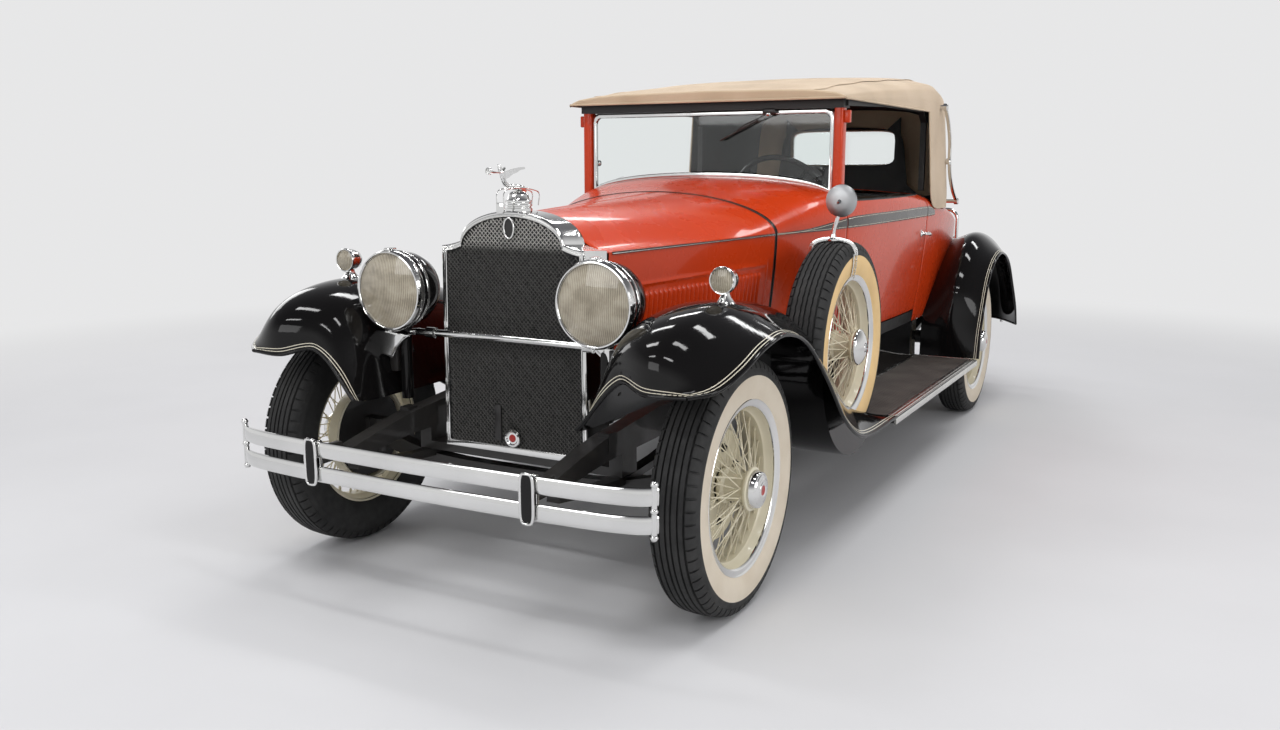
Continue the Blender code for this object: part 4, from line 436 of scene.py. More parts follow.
def grid_mesh(name, grid, *mats, keep=None, angle=38, loop_rows=False, loop_columns=False):
    verts = [p for row in grid for p in row]
    faces = grid_faces(len(grid), len(grid[0]), loop_rows, loop_columns, keep)
    return make(name, verts, faces, *mats, angle=angle)


def loft(name, rings, *mats, capped=True, angle=38):
    """Skin over closed rings; without caps it closes on its first ring."""
    verts = [p for ring in rings for p in ring]
    count = len(rings[0])
    faces = grid_faces(len(rings), count, not capped, True)
    if capped:
        faces.append(tuple(range(count)))
        faces.append(tuple(range((len(rings) - 1) * count, len(rings) * count)))
    return make(name, verts, faces, *mats, angle=angle)


def turned(name, profile, centre, axis, sides, *mats, marks=None, angle=38, loop=False):
    """Surface of revolution of an open or closed (radius, distance) profile."""
    axis = Vector(axis).normalized()
    side = Vector(Z_AXIS) if abs(axis.x) > 0.9 else axis.orthogonal().normalized()
    up = axis.cross(side)
    centre = Vector(centre)
    verts = []
    for i in range(sides):
        a = 2 * math.pi * i / sides
        spoke = side * math.cos(a) + up * math.sin(a)
        verts.extend(centre + spoke * r + axis * d for r, d in profile)
    faces, chosen = [], []
    count = len(profile)
    for i in range(sides):
        here, there = i * count, (i + 1) % sides * count
        for j in range(count if loop else count - 1):
            k = (j + 1) % count
            if profile[j][0] <= 0 and profile[k][0] <= 0:
                continue
            if profile[j][0] <= 0:
                faces.append((here + j, here + k, there + k))
            elif profile[k][0] <= 0:
                faces.append((here + j, here + k, there + j))
            else:
                faces.append((here + j, here + k, there + k, there + j))
            chosen.append(marks[j] if marks else 0)
    return make(name, verts, faces, *mats, marks=chosen, angle=angle)


def sweep(name, path, section, *mats, up=Z_AXIS, closed=False, capped=True, angle=38):
    """Section of (sideways, upward) offsets carried along a path."""
    path = [Vector(p) for p in path]
    up = Vector(up)
    rings = []
    last = len(path) - 1
    for i, point in enumerate(path):
        if closed:
            ahead = path[(i + 1) % len(path)] - path[i - 1]
        else:
            ahead = path[min(i + 1, last)] - path[max(i - 1, 0)]
        side = ahead.cross(up).normalized()
        rise = side.cross(ahead).normalized()
        rings.append([point + side * a + rise * b for a, b in section])
    return loft(name, rings, *mats, capped=capped and not closed, angle=angle)


def around(count):
    """Angles of evenly spread points on a circle."""
    return [2 * math.pi * k / count for k in range(count)]


def round_section(radius, sides=12):
    return [(radius * math.cos(a), radius * math.sin(a)) for a in around(sides)]


def soft_box_section(width, height, corner):
    """Rectangle with rounded corners."""
    steps = 3
    out = []
    for cx, cy, start in ((1, 1, 0), (-1, 1, 90), (-1, -1, 180), (1, -1, 270)):
        for i in range(steps + 1):
            a = math.radians(start + 90 * i / steps)
            out.append((cx * (width / 2 - corner) + corner * math.cos(a),
                        cy * (height / 2 - corner) + corner * math.sin(a)))
    return out


def tube(name, path, radius, *mats, sides=12, closed=False, up=None):
    path = [Vector(p) for p in path]
    if up is None:
        run = path[-1] - path[0]
        up = Z_AXIS if abs(run.z) < 0.7 * run.length else Y_AXIS
    return sweep(name, path, round_section(radius, sides), *mats, up=up, closed=closed)


def soft_box(name, low, high, *mats, bevel=0.004, segments=2):
    xs, ys, zs = zip(low, high)
    rings = [[(x, ys[0], zs[0]), (x, ys[1], zs[0]), (x, ys[1], zs[1]), (x, ys[0], zs[1])] for x in xs]
    obj = loft(name, rings, *mats)
    if bevel:
        modify(obj, "BEVEL", width=bevel, segments=segments)
    return soften(obj)


def bolt(name, place, axis, radius, height, *mats):
    """Domed six-sided nut on a washer."""
    profile = [(0, height), (radius * 0.55, height), (radius * 0.95, height * 0.75),
               (radius, 0.35 * height)]
    head = turned(name, profile + [(radius, 0)], place, axis, 6, *mats, angle=25)
    washer = turned(name + "_washer", [(radius * 1.35, 0), (radius * 1.35, height * 0.2),
                                       (radius, height * 0.25)],
                    place, axis, 18, *mats)
    return joined(name, head, washer)


# Curves shared with the solids

def smooth_value(stations, y):
    """Value at y on the smooth curve through (station, value) pairs."""
    if y <= stations[0][0]:
        return stations[0][1]
    if y >= stations[-1][0]:
        return stations[-1][1]
    last = len(stations) - 1
    k = max(i for i in range(last) if stations[i][0] <= y)
    y0, v0 = stations[k]
    y1, v1 = stations[k + 1]
    step = y1 - y0

    def slope(i):
        low, high = max(i - 1, 0), min(i + 1, last)
        return (stations[high][1] - stations[low][1]) / (stations[high][0] - stations[low][0])

    t = (y - y0) / step
    return ((2 * t ** 3 - 3 * t ** 2 + 1) * v0 + (t ** 3 - 2 * t ** 2 + t) * step * slope(k)
            + (3 * t ** 2 - 2 * t ** 3) * v1 + (t ** 3 - t ** 2) * step * slope(k + 1))


def reaches(vectors):
    """Distance along a chain of points up to each of them."""
    reach = [0.0]
    for a, b in zip(vectors, vectors[1:]):
        reach.append(reach[-1] + (b - a).length)
    return reach


def path_points(points, steps):
    """Points of the smooth curve through the given ones, at these distances along it."""
    vectors = [Vector(p) for p in points]
    reach = reaches(vectors)
    axes = [[(reach[i], vectors[i][k]) for i in range(len(vectors))] for k in range(3)]
    return [Vector([smooth_value(axis, s) for axis in axes]) for s in steps]


def smooth_path(points, count):
    length = reaches([Vector(p) for p in points])[-1]
    return path_points(points, [length * i / (count - 1) for i in range(count)])


def steps_between(start, end, count):
    """Evenly spaced values with both ends."""
    return [start + (end - start) * i / (count - 1) for i in range(count)]


def body_half_width(y):
    run = TAIL_Y - DOOR_REAR_Y
    return smooth_value([
        (HOOD_FRONT_Y, 0.316), (HOOD_REAR_Y, 0.540), (COWL_REAR_Y, BODY_HALF_WIDTH - 0.045),
        (COWL_REAR_Y + 0.5355, BODY_HALF_WIDTH - 0.008), (DOOR_REAR_Y, BODY_HALF_WIDTH),
        (DOOR_REAR_Y + 0.30 * run, BODY_HALF_WIDTH - 0.010),
        (DOOR_REAR_Y + 0.60 * run, BODY_HALF_WIDTH - 0.060),
        (DOOR_REAR_Y + 0.85 * run, BODY_HALF_WIDTH - 0.170), (TAIL_Y, BODY_HALF_WIDTH - 0.320)], y)


def belt_height(y):
    run = TAIL_Y - DOOR_REAR_Y
    return smooth_value([
        (HOOD_FRONT_Y, 1.136), (HOOD_REAR_Y, 1.156), (DOOR_REAR_Y, 1.165),
        (DOOR_REAR_Y + 0.45 * run, 1.130), (DOOR_REAR_Y + 0.80 * run, 1.000), (TAIL_Y, 0.720)], y)


def crown_height(y):
    run = TAIL_Y - CABIN_REAR_Y
    return smooth_value([
        (HOOD_FRONT_Y, SHELL_TOP_Z - 0.008), (HOOD_REAR_Y, 1.312), (COWL_REAR_Y, 1.372),
        (CABIN_REAR_Y, 1.290), (CABIN_REAR_Y + 0.35 * run, 1.245), (CABIN_REAR_Y + 0.70 * run, 1.130),
        (CABIN_REAR_Y + 0.90 * run, 0.970), (TAIL_Y, 0.780)], y)


def crown_sharpness(y):
    return smooth_value([(HOOD_FRONT_Y, 2.10), (HOOD_REAR_Y, 0.55), (COWL_REAR_Y, 0.20),
                         (DOOR_REAR_Y, 0.20), (CABIN_REAR_Y + 0.3, 0.50), (TAIL_Y, 0.60)], y)


def side_x(y, z):
    drop = max(0.0, (belt_height(y) - z) / (belt_height(y) - BODY_BOTTOM_Z))
    return body_half_width(y) - 0.060 * drop ** 1.6


def crown_z(y, share):
    rise = crown_height(y) - belt_height(y)
    return belt_height(y) + rise * max(0.0, 1 - share * share) ** crown_sharpness(y)


def skin_x(y, z):
    """Half width of the body's skin at any height up to the crown."""
    belt = belt_height(y)
    if z <= belt:
        return side_x(y, z)
    share = min(1.0, (z - belt) / (crown_height(y) - belt))
    return body_half_width(y) * math.sqrt(max(0.0, 1 - share ** (1 / crown_sharpness(y))))


def skin_point(y, z, out=0.0):
    return Vector((skin_x(y, z) + out, y, z))


def skin_normal(y, z):
    """Outward direction of the body's skin."""
    e = 0.004
    along = skin_point(y + e, z) - skin_point(y - e, z)
    upward = skin_point(y, z + e) - skin_point(y, z - e)
    return along.cross(upward).normalized()


def crown_shares(count):
    """Shares of the half width, close together where the crown turns at the belt."""
    return [math.cos(math.pi / 2 * (i / (count - 1)) ** 1.7) for i in range(count)]


def half_ring(y, side_count, crown_count):
    belt = belt_height(y)
    width = body_half_width(y)
    low = min(BODY_BOTTOM_Z, belt - 0.01)
    ring = [Vector((side_x(y, z), y, z)) for z in steps_between(low, belt, side_count)]
    ring += [Vector((width * s, y, crown_z(y, s))) for s in crown_shares(crown_count)[1:]]
    return ring


def both_sides(half):
    """Half a section that ends on the centre line, and its mirror image."""
    return half + [Vector((-p.x, p.y, p.z)) for p in reversed(half[:-1])]


def whole_ring(y, side_count, crown_count):
    return both_sides(half_ring(y, side_count, crown_count))


# Hood

def make_hood_top():
    grid = []
    for y in steps_between(HOOD_FRONT_Y, HOOD_REAR_Y - 0.006, 60):
        row = []
        for s in crown_shares(40):
            x = max(0.003, body_half_width(y) * s)
            row.append(Vector((x, y, crown_z(y, s))))
        grid.append(row)
    skin = grid_mesh("hood_top_left", grid, RED)
    return thicken(skin, 0.003, rounding=0.0010)


def louvre_band(y):
    """Bottom and top of the louvred field at this station."""
    return 0.700, 0.985 + 0.03 * (y - LOUVRE_START)


def louvre_height(y, z):
    """How far the pressing stands out of the hood's side."""
    low, high = louvre_band(y)
    if not (LOUVRE_START <= y <= LOUVRE_END and low < z < high):
        return 0.0
    pitch = (LOUVRE_END - LOUVRE_START) / LOUVRES
    share = ((y - LOUVRE_START) / pitch) % 1.0
    swell = math.sin(math.pi * min(1.0, share / 0.86)) if share < 0.86 else 0.0
    ends = min(1.0, (z - low) / 0.018, (high - z) / 0.018)
    return 0.0075 * swell ** 0.8 * math.sqrt(max(0.0, 1 - (1 - ends) ** 2))


def frame_line(y, z):
    """Raised line round the louvred field."""
    low, high = louvre_band(y)
    top, bottom, front, rear = high + 0.030, low - 0.030, LOUVRE_START - 0.035, LOUVRE_END + 0.030
    inside = min(top - z, z - bottom, y - front, rear - y)
    return 0.0035 * math.exp(-(inside / 0.0055) ** 2) if inside > -0.02 else 0.0


def make_hood_side():
    pitch = (LOUVRE_END - LOUVRE_START) / LOUVRES
    stations = steps_between(HOOD_FRONT_Y, LOUVRE_START - 0.05, 8)
    stations += steps_between(LOUVRE_START - 0.047, LOUVRE_START - 0.004, 14)
    for k in range(LOUVRES):
        stations += [LOUVRE_START + pitch * (k + f)
                     for f in (0.0, 0.12, 0.28, 0.45, 0.62, 0.76, 0.86, 0.93)]
    stations += steps_between(LOUVRE_END + 0.004, LOUVRE_END + 0.044, 12)
    stations += steps_between(LOUVRE_END + 0.050, HOOD_REAR_Y - 0.006, 5)
    heights = [HOOD_SKIRT_Z, 0.655, 0.661, 0.666, 0.670, 0.674, 0.679, 0.686, 0.700, 0.704, 0.709,
               0.714, 0.719]
    heights += steps_between(0.735, 0.960, 9)
    tops = [0.975, 0.981, 0.986, 0.991, 0.996, 1.001, 1.006, 1.010, 1.014, 1.018, 1.022, 1.027, 1.033,
            1.040]
    grid = []
    for y in stations:
        row = []
        for z in heights + tops + steps_between(1.055, belt_height(y) - 0.001, 6):
            out = louvre_height(y, z) + frame_line(y, z)
            row.append(skin_point(y, z, out))
        grid.append(row)
    skin = grid_mesh("hood_side_left", grid, RED, angle=32)
    return thicken(skin, 0.002)


def belt_strip(name, start, end, count, low, high, out, mat):
    """Raised moulding on the skin between two lines of height."""
    grid = []
    for y in steps_between(start, end, count):
        bottom, top = low(y), high(y)
        row = []
        for i in range(9):
            z = bottom + (top - bottom) * i / 8
            dome = math.sqrt(max(0.0, 1 - (2 * i / 8 - 1) ** 4))
            row.append(skin_point(y, z) + skin_normal(y, z) * (0.0004 + out * dome))
        grid.append(row)
    return thicken(grid_mesh(name, grid, mat), 0.0015)


def band_low(y):
    return smooth_value([(0.070, 1.127), (0.980, 1.147), (1.300, 1.150), (1.600, 1.153),
                         (2.860, 1.158)], y)


def band_high(y):
    return smooth_value([(0.070, 1.1355), (0.980, 1.1555), (1.200, 1.164), (1.400, 1.184),
                         (1.600, 1.202), (2.100, 1.207), (2.720, 1.209), (2.820, 1.200),
                         (2.860, 1.185)], y)


def line_on_skin(name, start, end, count, height, width, mat, lift=0.0012):
    """Painted line, barely proud of what it is painted on."""
    grid = []
    for y in steps_between(start, end, count):
        z = height(y)
        row = []
        for share in (-1, -0.5, 0.5, 1):
            at = z + share * width / 2
            rise = lift if abs(share) < 1 else lift * 0.6
            row.append(skin_point(y, at) + skin_normal(y, at) * rise)
        grid.append(row)
    return thicken(grid_mesh(name, grid, mat), 0.0010)


def belt_pieces():
    """Dark moulding with its two light lines, panel by panel."""
    spans = [("hood", 0.072, HOOD_REAR_Y - 0.007, 40, "hood_side_left"),
             ("cowl", HOOD_REAR_Y + 0.004, COWL_REAR_Y - 0.001, 24, "body"),
             ("door", COWL_REAR_Y + 0.007, DOOR_REAR_Y - 0.007, 50, "door_left"),
             ("quarter", DOOR_REAR_Y + 0.002, 2.860, 14, "body")]
    for word, start, end, count, body in spans:
        strip = belt_strip("belt_%s_left" % word, start, end, count, band_low, band_high, 0.0035, BAND)
        put_pair(strip, body)
        if word == "hood":
            edge = line_on_skin("belt_line_hood_left", start, end, count,
                                lambda y: (band_low(y) + band_high(y)) / 2, 0.0026, NICKEL, 0.0046)
            put_pair(edge, body)
            continue
        for part, height in (("low", lambda y: band_low(y) + 0.006),
                             ("high", lambda y: band_high(y) - 0.006)):
            line = line_on_skin("belt_line_%s_%s_left" % (word, part), start + 0.001, end - 0.012,
                                count,
                                height, 0.0022, STRIPE, 0.0048)
            put_pair(line, body)


# Body panels

def make_cowl():
    grid = [whole_ring(y, 16, 30) for y in steps_between(HOOD_REAR_Y, COWL_REAR_Y - 0.001, 36)]
    skin = thicken(grid_mesh("cowl_skin", grid, RED), 0.004, rounding=0.0012)
    posts = []
    for side in (-1, 1):
        x = side * (WINDSHIELD_HALF + 0.0205)
        path = [(x, WINDSHIELD_Y, SILL_Z - 0.060), (x, WINDSHIELD_Y, 1.45),
                (x, WINDSHIELD_Y, WINDSHIELD_TOP_Z)]
        posts.append(sweep("post", path, soft_box_section(0.040, 0.058, 0.010), RED, up=Y_AXIS))
    hood_seat = [[p + Vector((0, 0, 0.001)) for p in whole_ring(y, 10, 30)]
                 for y in (HOOD_REAR_Y - 0.004, HOOD_REAR_Y, HOOD_REAR_Y + 0.003)]
    gasket = thicken(grid_mesh("gasket", hood_seat, SATIN), 0.006)
    bead = []
    for ahead, swell in ((0.0005, 0.998), (0.0012, 1.0045), (0.0048, 1.0062), (0.0084, 1.0045),
                         (0.0091, 0.998)):
        bead.append([Vector((p.x * swell, p.y, 0.9 + (p.z - 0.9) * swell))
                     for p in whole_ring(HOOD_REAR_Y + ahead, 16, 30)])
    bead = thicken(grid_mesh("joint_bead", bead, BLACK), 0.002)
    return joined("cowl_shell", skin, *posts, gasket, bead)


def fill_ring(name, ring, *mats):
    """Flat wall that closes a ring of points, as strips between its two sides."""
    count = len(ring)
    faces = [(i, i + 1, count - 2 - i, count - 1 - i) for i in range(count // 2 - 1)]
    if count % 2:
        middle = count // 2
        faces.append((middle - 1, middle, middle + 1))
    return make(name, ring, faces, *mats)


def make_firewall():
    ring = [p + Vector((-0.006 if p.x > 0 else 0.006, 0, -0.006))
            for p in whole_ring(HOOD_REAR_Y + 0.008, 12, 20)]
    wall = thicken(fill_ring("firewall", ring, SATIN), 0.003)
    studs = [bolt("stud", (x, HOOD_REAR_Y + 0.007, z), (0, -1, 0), 0.008, 0.008, NICKEL)
             for x in (-0.36, -0.12, 0.12, 0.36) for z in (0.72, 1.08)]
    return joined("firewall", wall, *studs)


def make_dashboard():
    y = COWL_REAR_Y - 0.110
    ring = []
    for p in whole_ring(y, 12, 24):
        if p.z > 0.985:
            ring.append(Vector((p.x * 0.925, y, 0.985 + (p.z - 0.985) * 0.90)))
    panel = thicken(fill_ring("dashboard", ring, SATIN), 0.014, 1.0, 0.003)
    pieces = [panel]
    for x, r in ((-0.10, 0.046), (0.0, 0.030), (0.10, 0.046), (-0.21, 0.026), (0.21, 0.026)):
        place = (x, y + 0.014, 1.170)
        pieces.append(turned("bezel", [(r - 0.006, 0.002), (r - 0.004, 0.007), (r, 0.007),
                                       (r + 0.003, 0.0)],
                             place, Y_AXIS, 32, NICKEL))
        pieces.append(turned("dial", [(0, 0.0025), (r - 0.004, 0.0025)], place, Y_AXIS, 32, LINING))
        pieces.append(tube("needle", [(x, y + 0.018, 1.170),
                                      (x + r * 0.4, y + 0.018, 1.170 + r * 0.45)],
                           0.001, STRIPE, sides=6))
    return joined("dashboard", *pieces)


def make_column():
    direction = Vector((0, math.cos(COLUMN_SLOPE), math.sin(COLUMN_SLOPE)))
    reach = (STEERING.y - HOOD_REAR_Y) / math.cos(COLUMN_SLOPE)
    return tube("steering_column", [STEERING - direction * reach, STEERING - direction * 0.4,
                                    STEERING - direction * 0.0505], 0.0195, SATIN, sides=24)


def make_door():
    front, rear = COWL_REAR_Y + 0.006, DOOR_REAR_Y - 0.006
    grid = []
    for y in steps_between(front, rear, 60):
        heights = steps_between(DOOR_BOTTOM_Z + 0.006, belt_height(y), 22)
        heights += steps_between(belt_height(y), SILL_Z, 14)[1:]
        grid.append([skin_point(y, z) for z in heights])
    return thicken(grid_mesh("door_skin_left", grid, RED), 0.022, rounding=0.0015)


def make_door_handle():
    """Lever on a round plate near the rear edge."""
    y, z = 2.615, 1.072
    x = side_x(y, z)
    plate = turned("plate", [(0.018, 0.0), (0.018, 0.003), (0.012, 0.006), (0.009, 0.012),
                             (0.0075, 0.028), (0, 0.030)],
                   (x, y, z), X_AXIS, 28, CHROME)
    path = smooth_path([(x + 0.024, y - 0.010, z + 0.001), (x + 0.034, y + 0.012, z),
                        (x + 0.036, y + 0.045, z - 0.004),
                        (x + 0.032, y + 0.078, z - 0.010)], 16)
    rings = []
    for i, point in enumerate(path):
        r = 0.0062 + 0.0035 * math.sin(math.pi * i / 15)
        rings.append([point + Vector((0.7 * r * math.cos(a), 0, r * math.sin(a)))
                      for a in around(14)])
    return joined("door_handle_left", plate, loft("lever", rings, CHROME, angle=80))


def make_hood_latch():
    """Spring latch ahead of the louvres."""
    y, z = 0.150, 0.825
    x = skin_x(y, z)
    plate = soft_box("plate", (x - 0.001, y - 0.016, z - 0.034), (x + 0.004, y + 0.016, z + 0.034),
                     CHROME, bevel=0.002)
    grip = tube("grip", smooth_path([(x + 0.003, y, z + 0.024), (x + 0.020, y, z + 0.018),
                                     (x + 0.024, y, z - 0.010),
                                     (x + 0.014, y, z - 0.040)], 14), 0.0055, CHROME, up=Y_AXIS)
    knob = turned("knob", [(0, -0.008), (0.007, -0.006), (0.009, 0.0), (0.007, 0.006), (0, 0.008)],
                  (x + 0.014, y, z - 0.043), Z_AXIS, 20, CHROME, angle=80)
    return joined("hood_latch_left", plate, grip, knob)


def make_door_trim():
    """Inner face of the door: padded card, winder and pull."""
    front, rear = COWL_REAR_Y + 0.030, DOOR_REAR_Y - 0.030
    grid = []
    for i, y in enumerate(steps_between(front, rear, 40)):
        row = []
        for j, z in enumerate(steps_between(DOOR_BOTTOM_Z + 0.030, SILL_Z - 0.035, 24)):
            edge = min(i, 39 - i, j, 23 - j)
            puff = 0.006 * (1 - math.exp(-edge / 1.5))
            x = side_x(y, min(z, 1.15)) - 0.0335 - puff
            row.append(Vector((x, y, z)))
        grid.append(row)
    card = thicken(grid_mesh("door_card_left", grid, LINING), 0.008, 1.0)
    x = side_x(2.2, 1.05) - 0.055
    pull = tube("pull", [(x + 0.012, 2.38, 1.05), (x, 2.40, 1.05), (x, 2.52, 1.05),
                         (x + 0.012, 2.54, 1.05)],
                0.006, NICKEL)
    winder = tube("winder", [(x + 0.010, 2.05, 1.02), (x - 0.004, 2.05, 1.02), (x - 0.008, 2.10, 1.06),
                             (x - 0.030, 2.105, 1.062)], 0.005, NICKEL)
    return joined("door_card_left", card, pull, winder)


def make_sill_cap():
    """Garnish along the top of the door, at the foot of the open window."""
    grid = []
    for y in steps_between(COWL_REAR_Y + 0.008, DOOR_REAR_Y - 0.008, 40):
        x = skin_x(y, SILL_Z - 0.001)
        grid.append([Vector((x + 0.001, y, SILL_Z - 0.004)), Vector((x + 0.001, y, SILL_Z + 0.001)),
                     Vector((x - 0.008, y, SILL_Z + 0.003)), Vector((x - 0.030, y, SILL_Z + 0.003)),
                     Vector((x - 0.038, y, SILL_Z - 0.002)), Vector((x - 0.038, y, SILL_Z - 0.030))])
    return thicken(grid_mesh("sill_cap_left", grid, LINING), 0.002, -1.0)


def make_rear_body():
    """Quarters, deck and tail in one skin with the lid's opening left out."""
    stations = steps_between(DOOR_REAR_Y + 0.001, CABIN_REAR_Y, 14)
    cabin_rows = len(stations) - 1
    stations += steps_between(CABIN_REAR_Y, LID_FRONT_Y, 14)[1:]
    lid_start = len(stations) - 1
    stations += steps_between(LID_FRONT_Y, LID_REAR_Y, 30)[1:]
    lid_end = len(stations) - 1
    stations += steps_between(LID_REAR_Y, TAIL_Y - 0.018, 8)[1:]
    grid = []
    side_count, shoulder_count, deck_count = 22, 18, 12
    for y in stations:
        belt, width = belt_height(y), body_half_width(y)
        lid_share = min(0.985, LID_HALF_WIDTH / width)
        half = [Vector((side_x(y, z), y, z)) for z in steps_between(BODY_BOTTOM_Z, belt, side_count)]
        start = math.acos(lid_share)
        for i in range(1, shoulder_count):
            s = math.cos(start * (i / (shoulder_count - 1)) ** 1.6)
            half.append(Vector((width * s, y, crown_z(y, s))))
        for i in range(1, deck_count):
            s = lid_share * (1 - i / (deck_count - 1))
            half.append(Vector((width * s, y, crown_z(y, s))))
        if y < CABIN_REAR_Y - 0.001:
            half = [p if p.z <= SILL_Z else Vector((skin_x(y, SILL_Z), y, SILL_Z)) for p in half]
        grid.append(both_sides(half))
    columns = len(grid[0])
    lid_column = side_count + shoulder_count - 2
    last, middle_z = grid[-1], 0.69
    for inset, back in ((0.010, 0.012), (0.030, 0.018)):
        grid.append([Vector((p.x * (1 - inset * 1.6), TAIL_Y - 0.018 + back,
                             middle_z + (p.z - middle_z) * (1 - inset * 4))) for p in last])

    def keep(i, j):
        middle = lid_column <= j < columns - 1 - lid_column
        if lid_start <= i < lid_end and middle:
            return False
        if i < cabin_rows:
            here, above = grid[i][j], grid[i][j + 1]
            top = max(here.z, above.z, grid[i + 1][j].z)
            side = min(abs(here.x), abs(above.x)) > 0.3
            return side and top <= SILL_Z + 0.0001 and abs(above.z - here.z) > 0.00001
        return True

    skin = grid_mesh("rear_skin", grid, RED, keep=keep)
    skin = thicken(skin, 0.004, rounding=0.0015)
    tail = fill_ring("tail_wall", grid[-1], RED)
    thicken(tail, 0.004)
    return joined("rear_shell", skin, tail)


def make_rear_inside():
    """Bulkhead behind the seat, rumble floor, side linings and the lid's gutter."""
    ring = [Vector((p.x * 0.935, p.y, BODY_BOTTOM_Z + (p.z - BODY_BOTTOM_Z) * 0.97))
            for p in whole_ring(CABIN_REAR_Y, 12, 20)]
    wall = thicken(fill_ring("bulkhead", ring, LINING), 0.012, 1.0)
    floor_grid = [[Vector((share * (side_x(y, 0.62) - 0.004), y, 0.622))
                   for share in steps_between(-1, 1, 9)]
                  for y in steps_between(DOOR_REAR_Y + 0.002, TAIL_Y - 0.02, 24)]
    floor = thicken(grid_mesh("rear_floor", floor_grid, LINING), 0.016)
    pieces = [wall, floor]
    stations = steps_between(DOOR_REAR_Y + 0.002, CABIN_REAR_Y - 0.002, 10)
    for side in (-1, 1):
        lining = [[Vector((side * (side_x(y, z) - 0.030), y, z))
                   for z in steps_between(0.630, SILL_Z - 0.01, 12)] for y in stations]
        pieces.append(thicken(grid_mesh("quarter_card", lining, LINING), 0.010, side * -1.0))
        rim = [[Vector((side * (skin_x(y, SILL_Z) - across), y, SILL_Z - 0.003))
                for across in (0.002, 0.020, 0.042)] for y in stations]
        pieces.append(thicken(grid_mesh("quarter_cap", rim, LINING), 0.004))
    gutter = []
    for x0, x1, y0, y1 in ((-0.40, 0.40, LID_FRONT_Y, LID_FRONT_Y + 0.02),
                           (-0.40, 0.40, LID_REAR_Y - 0.02, LID_REAR_Y),
                           (-0.40, -0.38, LID_FRONT_Y, LID_REAR_Y),
                           (0.38, 0.40, LID_FRONT_Y, LID_REAR_Y)):
        rows = [[Vector((x, y, crown_z(y, abs(x) / body_half_width(y)) - 0.035))
                 for x in steps_between(x0, x1, 6)] for y in steps_between(y0, y1, 16)]
        gutter.append(thicken(grid_mesh("gutter", rows, SATIN), 0.003))
    return joined("rear_inside", *pieces, *gutter)


def make_lid():
    grid = []
    for y in steps_between(LID_FRONT_Y + 0.006, LID_REAR_Y - 0.006, 34):
        width = body_half_width(y)
        grid.append([Vector((x, y, crown_z(y, abs(x) / width)))
                     for x in steps_between(-LID_HALF_WIDTH + 0.006, LID_HALF_WIDTH - 0.006, 41)])
    skin = thicken(grid_mesh("lid_skin", grid, RED), 0.026, rounding=0.0020)
    y = LID_FRONT_Y + 0.055
    z = crown_height(y)
    stem = turned("stem", [(0.016, -0.002), (0.014, 0.004), (0.008, 0.010), (0.007, 0.022), (0, 0.024)],
                  (0, y, z), Z_AXIS, 24, CHROME)
    grip = tube("grip", smooth_path([(-0.045, y, z + 0.020), (-0.02, y, z + 0.026),
                                     (0.02, y, z + 0.026),
                                     (0.045, y, z + 0.020)], 12), 0.006, CHROME)
    return joined("lid_shell", skin, stem, grip)


# Fenders

def front_fender_curves():
    edge, crown, board, end = EDGE_X, 0.765, BOARD_TOP_Z, BOARD_FRONT_Y - 0.0003
    outer = [(edge - 0.110, -0.424, 0.783), (edge - 0.050, -0.365, 0.795),
             (edge - 0.015, -0.262, 0.838),
             (edge - 0.003, -0.120, 0.890),
             (edge, 0.040, 0.908), (edge, 0.230, 0.855), (edge, 0.440, 0.700), (edge, 0.680, 0.495),
             (edge, 0.900, 0.400), (edge, end, board)]
    top = [(crown - 0.050, -0.428, 0.780), (crown - 0.025, -0.418, 0.880),
           (crown - 0.005, -0.335, 0.950),
           (crown, -0.180, 0.993),
           (crown, 0.000, 1.002), (crown, 0.250, 0.968), (crown, 0.520, 0.895), (crown, 0.780, 0.760),
           (crown, 0.980, 0.560), (crown, end, board)]
    shoulder = [(0.600, -0.372, 0.795), (0.580, -0.362, 0.845), (0.560, -0.300, 0.895),
                (0.550, -0.170, 0.929),
                (0.550, 0.000, 0.940), (0.560, 0.250, 0.905), (0.580, 0.520, 0.830),
                (0.600, 0.780, 0.690),
                (0.610, 0.980, 0.520), (0.630, end, board)]
    wall = 0.442
    inner = [(wall + 0.006, -0.366, 0.635), (wall + 0.004, -0.350, 0.628), (wall, -0.280, 0.620),
             (wall, -0.160, 0.620),
             (wall, 0.000, 0.620), (wall, 0.250, 0.620), (wall, 0.520, 0.600),
             (wall + 0.01, 0.780, 0.560),
             (wall + 0.03, 0.980, 0.480), (BOARD_INNER_X, end, board)]
    return outer, top, shoulder, inner


